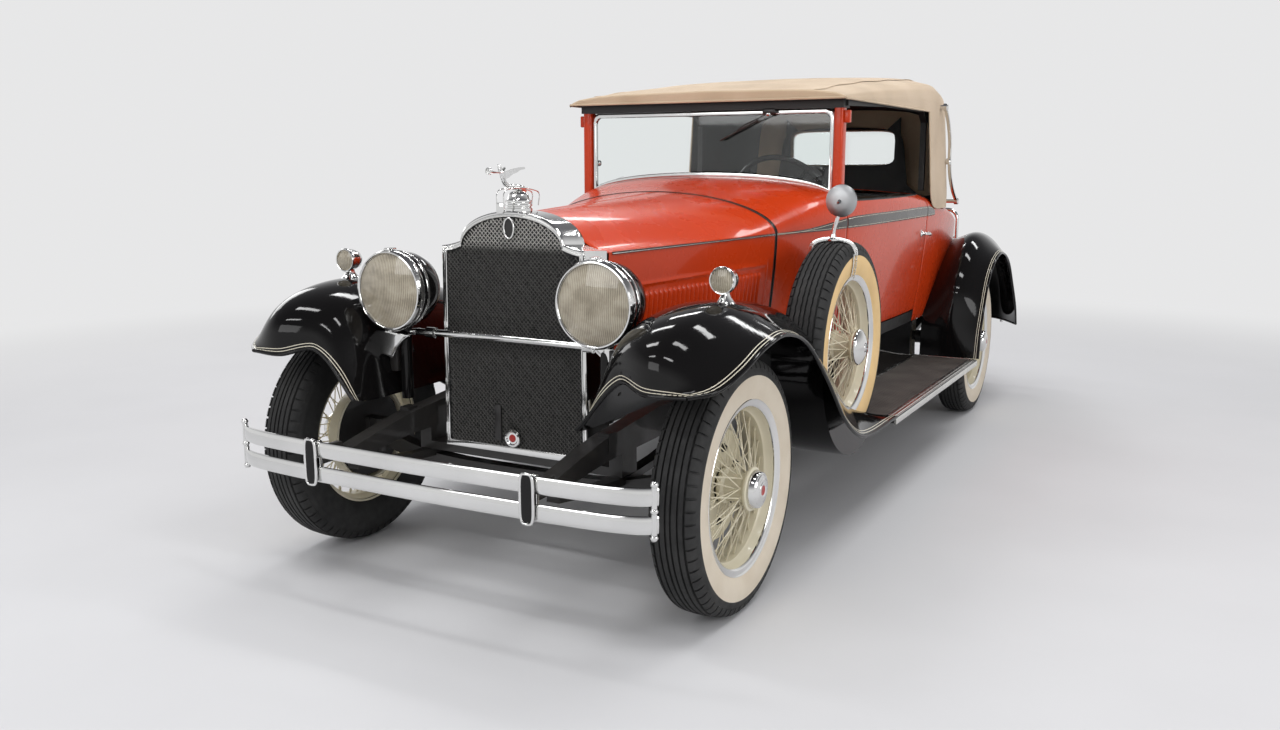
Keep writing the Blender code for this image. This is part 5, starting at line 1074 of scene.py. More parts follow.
def rear_fender_curves():
    edge, axle, start, crown = EDGE_X, WHEELBASE, BOARD_REAR_Y + 0.0003, 0.800
    outer = [(edge, start + 0.010, BOARD_TOP_Z), (edge, axle - 0.430, 0.520),
             (edge, axle - 0.360, 0.680),
             (edge, axle - 0.280, 0.800), (edge, axle - 0.140, 0.890), (edge, axle + 0.050, 0.924),
             (edge, axle + 0.270, 0.860), (edge, axle + 0.440, 0.710), (edge, axle + 0.580, 0.560),
             (edge - 0.01, axle + 0.700, 0.430)]
    top = [(crown, start, BOARD_TOP_Z), (crown, start + 0.020, 0.600), (crown, axle - 0.410, 0.770),
           (crown, axle - 0.280, 0.920), (crown, axle - 0.090, 1.010), (crown, axle + 0.110, 1.030),
           (crown, axle + 0.360, 0.995), (crown, axle + 0.610, 0.890), (crown, axle + 0.790, 0.700),
           (crown - 0.01, axle + 0.870, 0.440)]
    inner = [(0.640, start, BOARD_TOP_Z), (0.640, start + 0.030, 0.600), (0.640, axle - 0.270, 0.760),
             (0.640, axle - 0.070, 0.890), (0.640, axle + 0.070, 0.955), (0.640, axle + 0.230, 0.980),
             (0.610, axle + 0.420, 0.930), (0.560, axle + 0.600, 0.830), (0.520, axle + 0.740, 0.680),
             (0.500, axle + 0.800, 0.480)]
    return outer, top, inner


def fender_rows(curves, rows):
    guides = [smooth_path(curve, rows) for curve in curves]
    return [[guide[i] for guide in guides] for i in range(rows)]


def fender_grid(rows, columns):
    return [smooth_path(row, columns) for row in rows]


def lip_line(rows, grid, distance, lift, front=True):
    """Points and normals of a line that keeps a distance from a fender's outer and front edges."""
    last_row, last_column = len(grid) - 2, len(grid[0]) - 2

    def normal(i, j):
        i, j = min(i, last_row), min(j, last_column)
        here = grid[i][j]
        return (grid[i][j + 1] - here).cross(grid[i + 1][j] - here).normalized()

    sign = 1 if normal(last_row // 2, last_column // 2).z > 0 else -1
    side, run, before = [], 0.0, None
    for i, row in enumerate(rows):
        point = path_points(row, [distance])[0]
        run += (point - before).length if before else 0.0
        before = point
        if run >= distance or not front:
            j = round(distance / reaches(row)[-1] * last_column)
            side.append((point, normal(i, j) * sign))
    line = side[::-1]
    if front:
        run, before = 0.0, None
        for j in range(last_column + 2):
            column = [grid[i][j] for i in range(12)]
            point = path_points(column, [distance])[0]
            run += (point - before).length if before else 0.0
            before = point
            if run >= distance:
                i = min(10, round(distance / max(reaches(column)[-1], 0.001) * 11))
                line.append((point, normal(i, j) * sign))
    return [(point + way * lift, way) for point, way in line]


def ribbon(name, line, width, height, mat):
    """Slim domed strip that lies along points with their normals."""
    rings = []
    for i, (point, up) in enumerate(line):
        ahead = line[min(i + 1, len(line) - 1)][0] - line[max(i - 1, 0)][0]
        side = ahead.cross(up).normalized()
        rings.append([point + side * (a * width / 2) + up * (b * height)
                      for a, b in ((-1.0, -0.3), (-0.7, 0.6), (0.0, 1.0), (0.7, 0.6), (1.0, -0.3))])
    return loft(name, rings, mat)


def make_front_fender():
    rows = fender_rows(front_fender_curves(), 90)
    grid = fender_grid(rows, 34)
    sheet = thicken(grid_mesh("front_fender_left", grid, BLACK), 0.005, 1.0)
    below = []
    for row in grid:
        raised = [(p.x, p.y, p.z + 0.002) for p in row]
        below.append(raised + [(row[-1].x, row[-1].y, 0.0), (row[0].x, row[0].y, 0.0)])
    half = 0.0945
    pan = turned("pan", [(0, -half - 0.006), (TYRE_RADIUS + 0.012, -half - 0.006),
                         (TYRE_RADIUS + 0.012, half + 0.006),
                         (0, half + 0.006)], (SPARE_X, SPARE_Y, SPARE_Z), X_AXIS, 96, BLACK)
    boolean(pan, loft("under", below, BLACK), "INTERSECT")
    boolean(sheet, pan, "UNION")
    drum = turned("drum", [(0, -half), (TYRE_RADIUS + 0.006, -half), (TYRE_RADIUS + 0.006, half),
                           (0, half)],
                  (SPARE_X, SPARE_Y, SPARE_Z), X_AXIS, 96, BLACK)
    boolean(sheet, drum, "DIFFERENCE")
    soften(sheet, 30)
    bead = tube("bead", [row[0] for row in rows], 0.0065, BLACK, sides=12, up=X_AXIS)
    front = tube("front_bead", smooth_path(rows[0], 40), 0.0065, BLACK, sides=12, up=Y_AXIS)
    return joined("front_fender_left", sheet, bead, front), rows, grid


def make_rear_fender():
    rows = fender_rows(rear_fender_curves(), 90)
    grid = fender_grid(rows, 30)
    sheet = thicken(grid_mesh("rear_fender_left", grid, BLACK), 0.005, 1.0)
    bead = tube("bead", [row[0] for row in rows], 0.0065, BLACK, sides=12, up=X_AXIS)
    end = tube("end_bead", smooth_path(rows[-1], 30), 0.0065, BLACK, sides=12, up=Y_AXIS)
    return joined("rear_fender_left", sheet, bead, end), rows, grid


def fender_stripes(stem, rows, grid, distances, front):
    lines = [ribbon("line", lip_line(rows, grid, distance, 0.0048, front), 0.0034, 0.0009, STRIPE)
             for distance in distances]
    return joined(stem + "_stripes_left", *lines)


# Running boards

def make_running_board():
    """Covered board with bright edge strips and the dark apron above it."""
    low, top = BOARD_TOP_Z - 0.030, BOARD_TOP_Z
    board = soft_box("board", (BOARD_INNER_X, BOARD_FRONT_Y, low),
                     (EDGE_X - 0.002, BOARD_REAR_Y, top - 0.004), SATIN)
    section = [(BOARD_INNER_X + 0.018, top - 0.005)]
    for i in range(34):
        x, z = BOARD_INNER_X + 0.030 + i * (EDGE_X - BOARD_INNER_X - 0.085) / 33, top - 0.004
        section += [(x - 0.0030, z), (x - 0.0022, z + 0.0022), (x + 0.0022, z + 0.0022),
                    (x + 0.0030, z)]
    section.append((EDGE_X - 0.040, top - 0.005))
    grid = [[Vector((x, y, z)) for x, z in section]
            for y in steps_between(BOARD_FRONT_Y + 0.006, BOARD_REAR_Y - 0.004, 12)]
    mat = grid_mesh("mat", grid, MAT, angle=50)
    outer = sweep("strip", [(EDGE_X - 0.020, y, top - 0.006)
                            for y in (BOARD_FRONT_Y - 0.002, 1.8, 2.4, BOARD_REAR_Y)],
                  [(-0.022, -0.001), (-0.022, 0.005), (-0.010, 0.006), (-0.009, 0.004), (-0.003, 0.004),
                   (-0.002, 0.006),
                   (0.006, 0.006), (0.008, 0.003), (0.013, 0.003), (0.017, 0.000), (0.020, -0.006),
                   (0.021, -0.026), (0.017, -0.030), (0.012, -0.030), (0.012, -0.004)],
                  NICKEL, angle=30)
    inner = sweep("inner_strip", [(BOARD_INNER_X + 0.020, y, top - 0.002)
                                  for y in (BOARD_FRONT_Y, 2.1, BOARD_REAR_Y)],
                  soft_box_section(0.012, 0.006, 0.002), NICKEL)
    ends = [sweep("end_strip", [(x, y, top - 0.002)
                                for x in (BOARD_INNER_X + 0.014, 0.75, EDGE_X - 0.030)],
                  soft_box_section(0.010, 0.006, 0.002), NICKEL)
            for y in (BOARD_FRONT_Y + 0.006, BOARD_REAR_Y - 0.006)]
    apron_rows = []
    for y in steps_between(BOARD_FRONT_Y, BOARD_REAR_Y, 24):
        apron_rows.append([Vector((BOARD_INNER_X + 0.014, y, top - 0.006)),
                           Vector((BOARD_INNER_X + 0.012, y, 0.42)),
                           Vector((BOARD_INNER_X + 0.012, y, 0.52)),
                           Vector((BOARD_INNER_X + 0.016, y, 0.585)),
                           Vector((BOARD_INNER_X + 0.030, y, 0.5985))])
    apron = thicken(grid_mesh("apron", apron_rows, BLACK), 0.003)
    arms = [soft_box("arm", (0.431, y - 0.025, 0.495), (BOARD_INNER_X + 0.010, y + 0.025, 0.525), SATIN)
            for y in (BOARD_FRONT_Y + 0.4, BOARD_REAR_Y - 0.4)]
    return joined("running_board_left", board, mat, outer, inner, *ends, apron, *arms)


# Wheels and tyres, made about the origin with their outer face to +X

def make_tyre(name, wall, spare=False):
    """Tyre with a blocky tread; the spare's ribs waver."""
    half = [(0.263, 0.050), (0.268, 0.060), (0.276, 0.066), (0.288, 0.0715), (0.305, 0.0765),
            (0.325, 0.0800),
            (0.345, 0.0812), (0.360, 0.0795), (0.3625, 0.0800), (0.372, 0.0780), (0.382, 0.0745),
            (0.3835, 0.0755),
            (0.396, 0.0710), (0.404, 0.0655), (0.4085, 0.0600), (0.4110, 0.0540)]
    crown = [(0.4040, 0.0525), (0.4040, 0.0475), (0.4125, 0.0460), (0.4135, 0.0330), (0.4065, 0.0318),
             (0.4065, 0.0278), (0.4140, 0.0266), (0.4148, 0.0120), (0.4075, 0.0108), (0.4075, 0.0062),
             (0.4150, 0.0050)]
    right = half + crown
    profile = right + [(r, -a) for r, a in reversed(right)]
    profile = [(min(r, 0.4148), a) for r, a in profile]
    count = len(profile)
    blocks = 66
    fractions = (0.0, 0.40, 0.80, 0.815, 0.985)
    sides = blocks * len(fractions)
    verts = np.zeros((sides, count, 3))
    for i in range(sides):
        block, step = divmod(i, len(fractions))
        angle = 2 * math.pi * (block + fractions[step]) / blocks
        slot = 1.0 if step >= 3 else 0.0
        for j, (r, a) in enumerate(profile):
            edge = min(j, count - 1 - j)
            if slot and 11 <= edge <= 15:
                r = min(r, 0.3815 + (0.0755 - min(0.0755, abs(a))) * 1.15)
            if spare and 18 <= edge <= 25:
                a = a + 0.0016 * math.sin(angle * blocks)
            verts[i, j] = (a, r * math.sin(angle), r * math.cos(angle))
    faces = grid_faces(sides, count, True, True)
    marks = [1 if 2 <= k % count <= 6 else 0 for k in range(len(faces))]
    return make(name, verts.reshape(-1, 3).tolist(), faces, RUBBER, wall, marks=marks, angle=32)


def spoke(foot, head):
    foot, head = Vector(foot), Vector(head)
    along = (head - foot).normalized()
    wire = tube("wire", [foot, head], SPOKE_RADIUS, CREAM, sides=6)
    nipple = tube("nipple", [head - along * 0.014, head], SPOKE_RADIUS * 1.7, CREAM, sides=6)
    return [wire, nipple]


def spoke_set(count, foot_r, foot_a, head_r, head_a, lean, turn=0.0):
    """Spokes from a flange of the hub to the rim, crossed in pairs."""
    out = []
    for k in range(count):
        way = 1 if k % 2 else -1
        angle = 2 * math.pi * (k + turn) / count
        start = angle - way * lean
        out += spoke((foot_a, foot_r * math.sin(start), foot_r * math.cos(start)),
                     (head_a, head_r * math.sin(angle), head_r * math.cos(angle)))
    return out


def make_rim():
    return turned("rim", [(0.262, -0.060), (0.2685, -0.062), (0.2700, -0.056), (0.2640, -0.050),
                          (0.258, -0.048),
                          (0.2520, -0.034), (0.2440, -0.028), (0.2420, -0.010), (0.2420, 0.010),
                          (0.2440, 0.028),
                          (0.2520, 0.034), (0.2560, 0.048), (0.2600, 0.056), (0.2680, 0.0585),
                          (0.2700, 0.054),
                          (0.2660, 0.046), (0.2660, -0.046)], (0, 0, 0), X_AXIS, 96, CREAM, loop=True)


def make_wheel(name, full):
    """Wire wheel: drum, bolts and a ringed cap on the full one, a plain domed cap on the spare."""
    parts = [make_rim()]
    parts += spoke_set(24, 0.046, 0.080, 0.243, 0.014, 0.62)
    parts += spoke_set(24, 0.055, 0.004, 0.243, -0.012, 0.55, 0.5)
    parts += spoke_set(16, 0.050, 0.060, 0.243, 0.002, 0.20, 0.25)
    barrel = [(0.056, -0.012), (0.062, -0.006), (0.060, 0.004), (0.050, 0.012), (0.047, 0.050),
              (0.050, 0.068),
              (0.062, 0.078), (0.070, 0.086), (0.070, 0.092), (0.056, 0.098)]
    parts.append(turned("barrel", barrel, (0, 0, 0), X_AXIS, 48, CREAM))
    ring = turned("trim_ring", [(0.2600, 0.0560), (0.2590, 0.0605), (0.2620, 0.0640), (0.2680, 0.0665),
                                (0.2740, 0.0672),
                                (0.2790, 0.0690), (0.2835, 0.0715), (0.2850, 0.0700), (0.2800, 0.0640)],
                  (0, 0, 0), X_AXIS, 96, CHROME)
    parts.append(ring)
    if full:
        drum = [(0.056, -0.018), (0.080, -0.018), (0.090, -0.021), (0.168, -0.023), (0.182, -0.027),
                (0.185, -0.034),
                (0.185, -0.072), (0.175, -0.072), (0.175, -0.034), (0.056, -0.030)]
        parts.append(turned("drum", drum, (0, 0, 0), X_AXIS, 72, CREAM))
        for k in range(6):
            a = 2 * math.pi * k / 6 + 0.3
            parts.append(bolt("nut", (-0.022, 0.118 * math.sin(a), 0.118 * math.cos(a)), X_AXIS, 0.011,
                              0.014, SATIN))
        cap = [(0.062, 0.096), (0.062, 0.104), (0.0585, 0.112), (0.0570, 0.1180), (0.0530, 0.1205),
               (0.0500, 0.1195),
               (0.0480, 0.1215), (0.0440, 0.1240), (0.0400, 0.1230), (0.0385, 0.1245), (0.0330, 0.1270),
               (0.0280, 0.1262),
               (0.0270, 0.1275), (0.0210, 0.1290), (0.0175, 0.1270), (0.0160, 0.1262), (0, 0.1262)]
        marks = [0] * 15 + [1]
        parts.append(turned("cap", cap, (0, 0, 0), X_AXIS, 64, CHROME, RED_DOT, marks=marks, angle=60))
    else:
        cap = [(0.070, 0.092), (0.0720, 0.097), (0.0720, 0.104), (0.066, 0.108), (0.060, 0.1135),
               (0.044, 0.1215),
               (0.030, 0.1260), (0.0200, 0.1275), (0.0190, 0.1262), (0.0150, 0.1262), (0.0140, 0.1280),
               (0, 0.1290)]
        marks = [0, 0, 0, 0, 0, 0, 0, 0, 1, 0, 0]
        parts.append(turned("cap", cap, (0, 0, 0), X_AXIS, 64, CHROME, SATIN, marks=marks, angle=60))
    return joined(name, *parts)


def stand(obj, name, side, x, y, z, turn=0.0):
    """Copy of a wheel or tyre at its place, its outer face away from the car."""
    twin = bpy.data.objects.new(name, obj.data.copy())
    bpy.context.scene.collection.objects.link(twin)
    twin.data.transform(Matrix.Rotation(turn, 4, "X"))
    if side < 0:
        twin.data.transform(Matrix.Rotation(math.pi, 4, "Z"))
    twin.data.transform(Matrix.Translation((side * x, y, z)))
    return twin


def make_wheels():
    """Four road wheels and two spares, copied from four masters that are removed at the end."""
    tyre, wheel = make_tyre("tyre", WALL), make_wheel("wheel", True)
    spare_tyre, spare_wheel = make_tyre("spare_tyre", OLD_WALL, True), make_wheel("spare_wheel", False)
    for side, word in ((1, "left"), (-1, "right")):
        for end, y in (("front", 0.0), ("rear", WHEELBASE)):
            body = "wheel_%s_%s" % (end, word)
            turn = 0.15 if end == "front" else 0.55
            shown = stand(tyre, "tyre_%s_%s_dressed" % (end, word), side, WHEEL_PLANE_X, y, TYRE_RADIUS,
                          turn)
            put(shown, body, ["tyre_%s_%s" % (end, word)])
            shown = stand(wheel, body + "_dressed", side, WHEEL_PLANE_X, y, TYRE_RADIUS, turn)
            put(shown, body, [body])
        shown = stand(spare_tyre, "spare_tyre_" + word, side, SPARE_X, SPARE_Y, SPARE_Z, 0.4)
        put(shown, "body", ["spare_wheel_" + word])
        put(stand(spare_wheel, "spare_rim_" + word, side, SPARE_X, SPARE_Y, SPARE_Z, 0.4), "body")
    for master in (tyre, wheel, spare_tyre, spare_wheel):
        bpy.data.objects.remove(master, do_unlink=True)


def make_mirror():
    """Mirror on its stalk, which stands on the left spare only."""
    y = SPARE_Y - 0.060
    top = SPARE_Z + TYRE_RADIUS
    stalk = tube("stalk", smooth_path([(SPARE_X, y, top + 0.012), (SPARE_X + 0.004, y, top + 0.05),
                                       (SPARE_X + 0.018, y, 1.230), (SPARE_X + 0.020, y, 1.268)], 14),
                 0.0075, CHROME,
                 sides=16, up=Y_AXIS)
    collar = turned("collar", [(0.020, 0), (0.020, 0.006), (0.012, 0.012), (0.009, 0.026)],
                    (SPARE_X, y, top + 0.004),
                    Z_AXIS, 24, CHROME)
    centre = (SPARE_X + 0.03, y - 0.005, 1.287)
    head = turned("head", [(0, -0.0125), (0.030, -0.0115), (0.050, -0.0085), (0.060, -0.003),
                           (0.0625, 0.003),
                           (0.0605, 0.0075), (0.0590, 0.0078), (0.0575, 0.0060)], centre, Y_AXIS, 48,
                  MIRROR)
    glass = turned("face", [(0, 0.0062), (0.0580, 0.0062)], centre, Y_AXIS, 48, CHROME)
    knuckle = tube("knuckle", [(SPARE_X + 0.020, y, 1.268), (SPARE_X + 0.022, y - 0.014, 1.280),
                               (SPARE_X + 0.030, y - 0.024, 1.287)], 0.007, CHROME, sides=12, up=X_AXIS)
    return joined("spare_mirror", stalk, collar, head, glass, knuckle)


def make_spare_strap():
    """Clamp, strap and chain that hold the spare."""
    y = SPARE_Y - 0.060
    top = SPARE_Z + TYRE_RADIUS
    strap_path = []
    for i in range(15):
        a = math.pi * (i / 14)
        strap_path.append((SPARE_X + 0.0865 * math.cos(a), y, top - 0.050 + 0.054 * math.sin(a) ** 0.6))
    strap = sweep("strap", strap_path, soft_box_section(0.030, 0.0028, 0.001), CHROME, up=Y_AXIS)
    strap2 = sweep("strap_down", [(SPARE_X + 0.0868, y, top - 0.045),
                                  (SPARE_X + 0.085, y + 0.002, top - 0.09),
                                  (SPARE_X + 0.078, y + 0.004, top - 0.130)],
                   soft_box_section(0.0028, 0.012, 0.001), CHROME, up=Y_AXIS)
    links = []
    for i in range(11):
        z = top - 0.045 - i * 0.0098
        out = 0.0900 - 0.0001 * i * i
        wide, deep = (0.0032, 0.0) if i % 2 else (0.0, 0.0032)
        ring = [(SPARE_X + out + wide * math.cos(a), y + 0.022 + deep * math.cos(a),
                 z + 0.0068 * math.sin(a))
                for a in around(12)]
        links.append(sweep("link", ring, round_section(0.0012, 6), NICKEL,
                           up=Y_AXIS if i % 2 else X_AXIS,
                           closed=True))
    return joined("spare_strap_left", strap, strap2, *links)


# Radiator

def shell_outline(y, half_width, shoulder_z, top_z, bottom_z, border):
    """Outline of the radiator shell at one station, inset by a border."""
    arch = 20
    foot = half_width * SHELL_FOOT_SHARE
    half = [Vector((half_width + 0.008 - border - 0.008 * t, y,
                    bottom_z + border + t * (shoulder_z - bottom_z - 2 * border)))
            for t in (0.0, 0.25, 0.5, 0.75, 0.97, 1.0)]
    half += [Vector((half_width - border - t * (half_width - border - foot + 0.2 * border), y,
                     shoulder_z - border + 0.018 * t ** 1.5)) for t in (0.08, 0.4, 0.7, 0.93, 1.0)]
    base = shoulder_z + 0.018 - border
    for i in range(1, arch):
        a = math.pi / 2 * i / arch
        half.append(Vector(((foot - 0.2 * border) * math.cos(a), y,
                            base + (top_z - border - base) * math.sin(a))))
    return half + [Vector((0, y, top_z - border))] + [Vector((-p.x, y, p.z)) for p in reversed(half)]


def shell_at(y, border):
    share = (y - SHELL_FRONT_Y) / SHELL_DEPTH
    return shell_outline(y, SHELL_HALF_WIDTH + 0.022 * share, SHELL_SHOULDER_Z - 0.006 * share,
                         SHELL_TOP_Z,
                         SHELL_BOTTOM_Z, border)


def make_radiator_shell():
    rear = SHELL_FRONT_Y + SHELL_DEPTH
    front = SHELL_FRONT_Y
    stops = [(front + 0.016, 0.0215), (front + 0.004, 0.0212), (front + 0.0005, 0.0200),
             (front - 0.0015, 0.0180),
             (front - 0.0015, 0.0150), (front + 0.0015, 0.0135), (front + 0.0015, 0.0115),
             (front - 0.0010, 0.0095),
             (front - 0.0012, 0.0050), (front + 0.0010, 0.0018), (front + 0.0050, 0.0003),
             (front + 0.012, 0.0),
             (front + 0.040, 0.0), (front + 0.075, 0.0), (rear - 0.003, 0.0), (rear, 0.002),
             (rear, 0.008)]
    grid = [shell_at(y, border) for y, border in stops]
    skin = grid_mesh("radiator_shell_dressed", grid, CHROME, angle=28)
    inner = [shell_at(y, 0.0212) for y in (front + 0.010, rear - 0.002)]
    liner = grid_mesh("liner", inner, SATIN)
    sill = sweep("sill", [(x, front + 0.012, SHELL_BOTTOM_Z + 0.010) for x in (-0.298, 0.0, 0.298)],
                 soft_box_section(0.020, 0.026, 0.004), CHROME)
    pieces = [skin, liner, sill]
    ring = [(0.020 * math.sin(a), front - 0.007, 1.214 + 0.034 * math.cos(a)) for a in around(40)]
    pieces.append(sweep("oval", ring, round_section(0.0034, 10), CHROME, up=Y_AXIS, closed=True))
    pieces.append(make("oval_back", [(x, front - 0.0055, z) for x, y, z in ring], [tuple(range(40))],
                       SATIN))
    pieces.append(soft_box("crank_cover", (-0.080, front - 0.004, 0.472),
                           (-0.052, front + 0.006, 0.600), SATIN, bevel=0.003))
    centre = (0.0, front - 0.006, 0.490)
    pieces.append(turned("low_ring", [(0.030, 0.0), (0.032, -0.004), (0.030, -0.008), (0.024, -0.009),
                                      (0.020, -0.005),
                                      (0.014, -0.005), (0.012, -0.008), (0, -0.009)], centre, Y_AXIS,
                         40,
                         CHROME, RED_DOT, marks=[0, 0, 0, 0, 0, 1, 1]))
    return joined("radiator_shell_dressed", *pieces)


def inside_shell(x, z):
    """True where a point lies within the shell's opening."""
    border = 0.0222
    if z < SHELL_BOTTOM_Z + border or z > SHELL_TOP_Z - border:
        return False
    foot = SHELL_HALF_WIDTH * SHELL_FOOT_SHARE - 0.2 * border
    base = SHELL_SHOULDER_Z + 0.018 - border
    x = abs(x)
    if x > SHELL_HALF_WIDTH - border + 0.004:
        return False
    if z <= SHELL_SHOULDER_Z - border:
        return True
    if x >= foot:
        t = (SHELL_HALF_WIDTH - border - x) / max(SHELL_HALF_WIDTH - border - foot, 0.001)
        return z <= SHELL_SHOULDER_Z - border + 0.018 * max(0.0, t) ** 1.5
    return z <= base + (SHELL_TOP_Z - border - base) * math.sqrt(max(0.0, 1 - (x / foot) ** 2))


def make_stone_guard():
    """Woven wires that cross on the diagonal, each passing over and under the next."""
    pitch = 0.0113
    front = SHELL_FRONT_Y + 0.004
    verts, faces = [], []
    section = [(-0.0018, 0.0), (0.0, -0.0012), (0.0018, 0.0)]
    root = math.sqrt(0.5)
    middle = Vector((0.0, 0.85))
    reach = int(0.56 / pitch)
    for way in (1, -1):
        along = Vector((root, way * root))
        across = Vector((-way * root, root))
        for k in range(-reach, reach + 1):
            run = []
            for m in range(-2 * reach, 2 * reach + 1):
                spot = middle + across * (k * pitch) + along * (m * pitch / 2)
                if inside_shell(spot.x, spot.y):
                    run.append((spot, m))
                elif run:
                    break
            if len(run) < 2:
                continue
            base = len(verts)
            for spot, m in run:
                crimp = 0.0012 * math.cos(math.pi * (m / 2 + k + (way < 0)))
                for a, d in section:
                    side = spot + across * a
                    verts.append((side.x, front + crimp + d, side.y))
            count = len(section)
            for i in range(len(run) - 1):
                for j in range(count - 1):
                    a = base + i * count + j
                    faces.append((a, a + 1, a + count + 1, a + count))
    return make("stone_guard", verts, faces, GUARD, angle=60, merge=0.0)


def make_cap():
    """Ringed filler cap with its wire bail, and a plain winged finial that leans over a disc."""
    y, z = SHELL_FRONT_Y + 0.053, SHELL_TOP_Z - 0.002
    cap = turned("cap", [(0.047, 0.0), (0.047, 0.010), (0.043, 0.012), (0.043, 0.016), (0.0465, 0.018),
                         (0.0465, 0.023),
                         (0.042, 0.0245), (0.042, 0.029), (0.046, 0.031), (0.046, 0.036),
                         (0.039, 0.039), (0.036, 0.046),
                         (0.034, 0.056), (0.026, 0.064), (0.014, 0.068), (0, 0.069)], (0, y, z), Z_AXIS,
                 48,
                 CHROME, angle=30)
    parts = [cap]
    figure = [((0, 0.034, 1.336), 0.007), ((0, 0.010, 1.346), 0.011), ((0, -0.030, 1.350), 0.010),
              ((0, -0.066, 1.353), 0.009), ((0, -0.086, 1.366), 0.0075), ((0, -0.096, 1.386), 0.0085),
              ((0, -0.104, 1.402), 0.0075), ((0, -0.113, 1.416), 0.0065), ((0, -0.119, 1.423), 0.003)]
    points = smooth_path([q for q, r in figure], 36)
    share = reaches([Vector(q) for q, r in figure])
    rings = []
    for i, point in enumerate(points):
        ahead = points[min(i + 1, 35)] - points[max(i - 1, 0)]
        side = Vector(X_AXIS)
        rise = side.cross(ahead).normalized()
        r = smooth_value([(d, r) for d, (q, r) in zip(share, figure)], share[-1] * i / 35)
        rings.append([point + side * (r * math.cos(a)) + rise * (r * math.sin(a))
                      for a in around(14)])
    parts.append(loft("finial", rings, CHROME, angle=80))
    for side in (-1, 1):
        grid = []
        for t in steps_between(0, 1, 12):
            root = Vector((side * (0.004 + 0.036 * t), -0.096 + 0.072 * t ** 1.2,
                           1.398 + 0.018 * math.sin(1.5 * t)))
            chord = 0.026 * (1 - 0.8 * t)
            grid.append([root + Vector((0, 0.35 * chord * s,
                                        -chord * s + 0.0015 * math.sin(18 * t) * s))
                         for s in steps_between(0.0, 1.0, 7)])
        parts.append(thicken(grid_mesh("wing", grid, CHROME), 0.0018, 0.0))
        parts.append(tube("arm", smooth_path([(side * 0.006, -0.102, 1.400),
                                              (side * 0.008, -0.130, 1.398),
                                              (side * 0.003, -0.164, 1.402)], 10), 0.0024, CHROME,
                          sides=8, up=Z_AXIS))
        parts.append(tube("bail", smooth_path([(side * 0.014, -0.112, 1.288),
                                               (side * 0.014, -0.110, 1.330),
                                               (side * 0.014, -0.086, 1.343),
                                               (side * 0.014, -0.008, 1.346),
                                               (side * 0.014, 0.050, 1.341),
                                               (side * 0.014, 0.097, 1.327),
                                               (side * 0.014, 0.092, 1.286)], 40), 0.0021, CHROME,
                          sides=8, up=X_AXIS))
    parts.append(soft_box("bracket", (-0.014, -0.118, SHELL_TOP_Z - 0.006), (0.014, -0.104, 1.300),
                          CHROME, bevel=0.003))
    parts.append(turned("disc", [(0, -0.006), (0.004, -0.006), (0.005, -0.003), (0.008, -0.003),
                                 (0.009, -0.006),
                                 (0.0115, -0.005), (0.0118, 0.004), (0.009, 0.006), (0, 0.006)],
                        (0, -0.170, 1.403), Y_AXIS, 32, CHROME))
    return joined("radiator_cap_dressed", *parts)


# Lamps

def lens_face(name, radius, sag, mat, front):
    """Slightly domed lens; its flutes are in the material."""
    rings, sides = 14, 96
    verts = [(0.0, front - sag, 0.0)]
    for i in range(1, rings + 1):
        r, dome = radius * i / rings, sag * (1 - (i / rings) ** 2)
        verts += [(r * math.cos(a), front - dome, r * math.sin(a)) for a in around(sides)]
    faces = [(0, 1 + k, 1 + (k + 1) % sides) for k in range(sides)]
    faces += [tuple(1 + v for v in face) for face in grid_faces(rings, sides, loop_columns=True)]
    return make(name, verts, faces, mat, angle=80)


def make_headlamp():
    x, y, z = HEADLAMP
    ring = turned("ring", [(0.1265, -0.004), (0.1275, -0.010), (0.1310, -0.0135), (0.1355, -0.0125),
                           (0.1385, -0.006),
                           (0.1420, 0.002), (0.1425, 0.010), (0.1400, 0.018), (0.1370, 0.024),
                           (0.1330, 0.026)],
                  (x, y, z), Y_AXIS, 96, CHROME)
    drum = turned("drum", [(0.1340, 0.020), (0.1345, 0.032), (0.1330, 0.060), (0.1270, 0.100),
                           (0.1120, 0.135),
                           (0.0850, 0.165), (0.0500, 0.183), (0.0200, 0.190), (0, 0.191)], (x, y, z),
                  Y_AXIS, 96, BLACK)
    band = turned("band", [(0.1350, 0.040), (0.1368, 0.043), (0.1368, 0.050), (0.1345, 0.053)],
                  (x, y, z), Y_AXIS,
                  96, CHROME)
    lens = lens_face("lens", 0.1285, 0.020, FLUTED, -0.006)
    lens.data.transform(Matrix.Translation((x, y, z)))
    clip = soft_box("clip", (x - 0.012, y - 0.010, z + 0.1385), (x + 0.012, y + 0.030, z + 0.1475),
                    CHROME, bevel=0.003)
    screw = bolt("screw", (x, y - 0.008, z - 0.143), (0, -1, 0), 0.006, 0.006, CHROME)
    rim = turned("rubber", [(0.1262, -0.006), (0.1280, -0.0095), (0.1290, -0.006)], (x, y, z), Y_AXIS,
                 96, SATIN)
    return joined("headlamp_left_dressed", ring, drum, band, lens, clip, screw, rim)


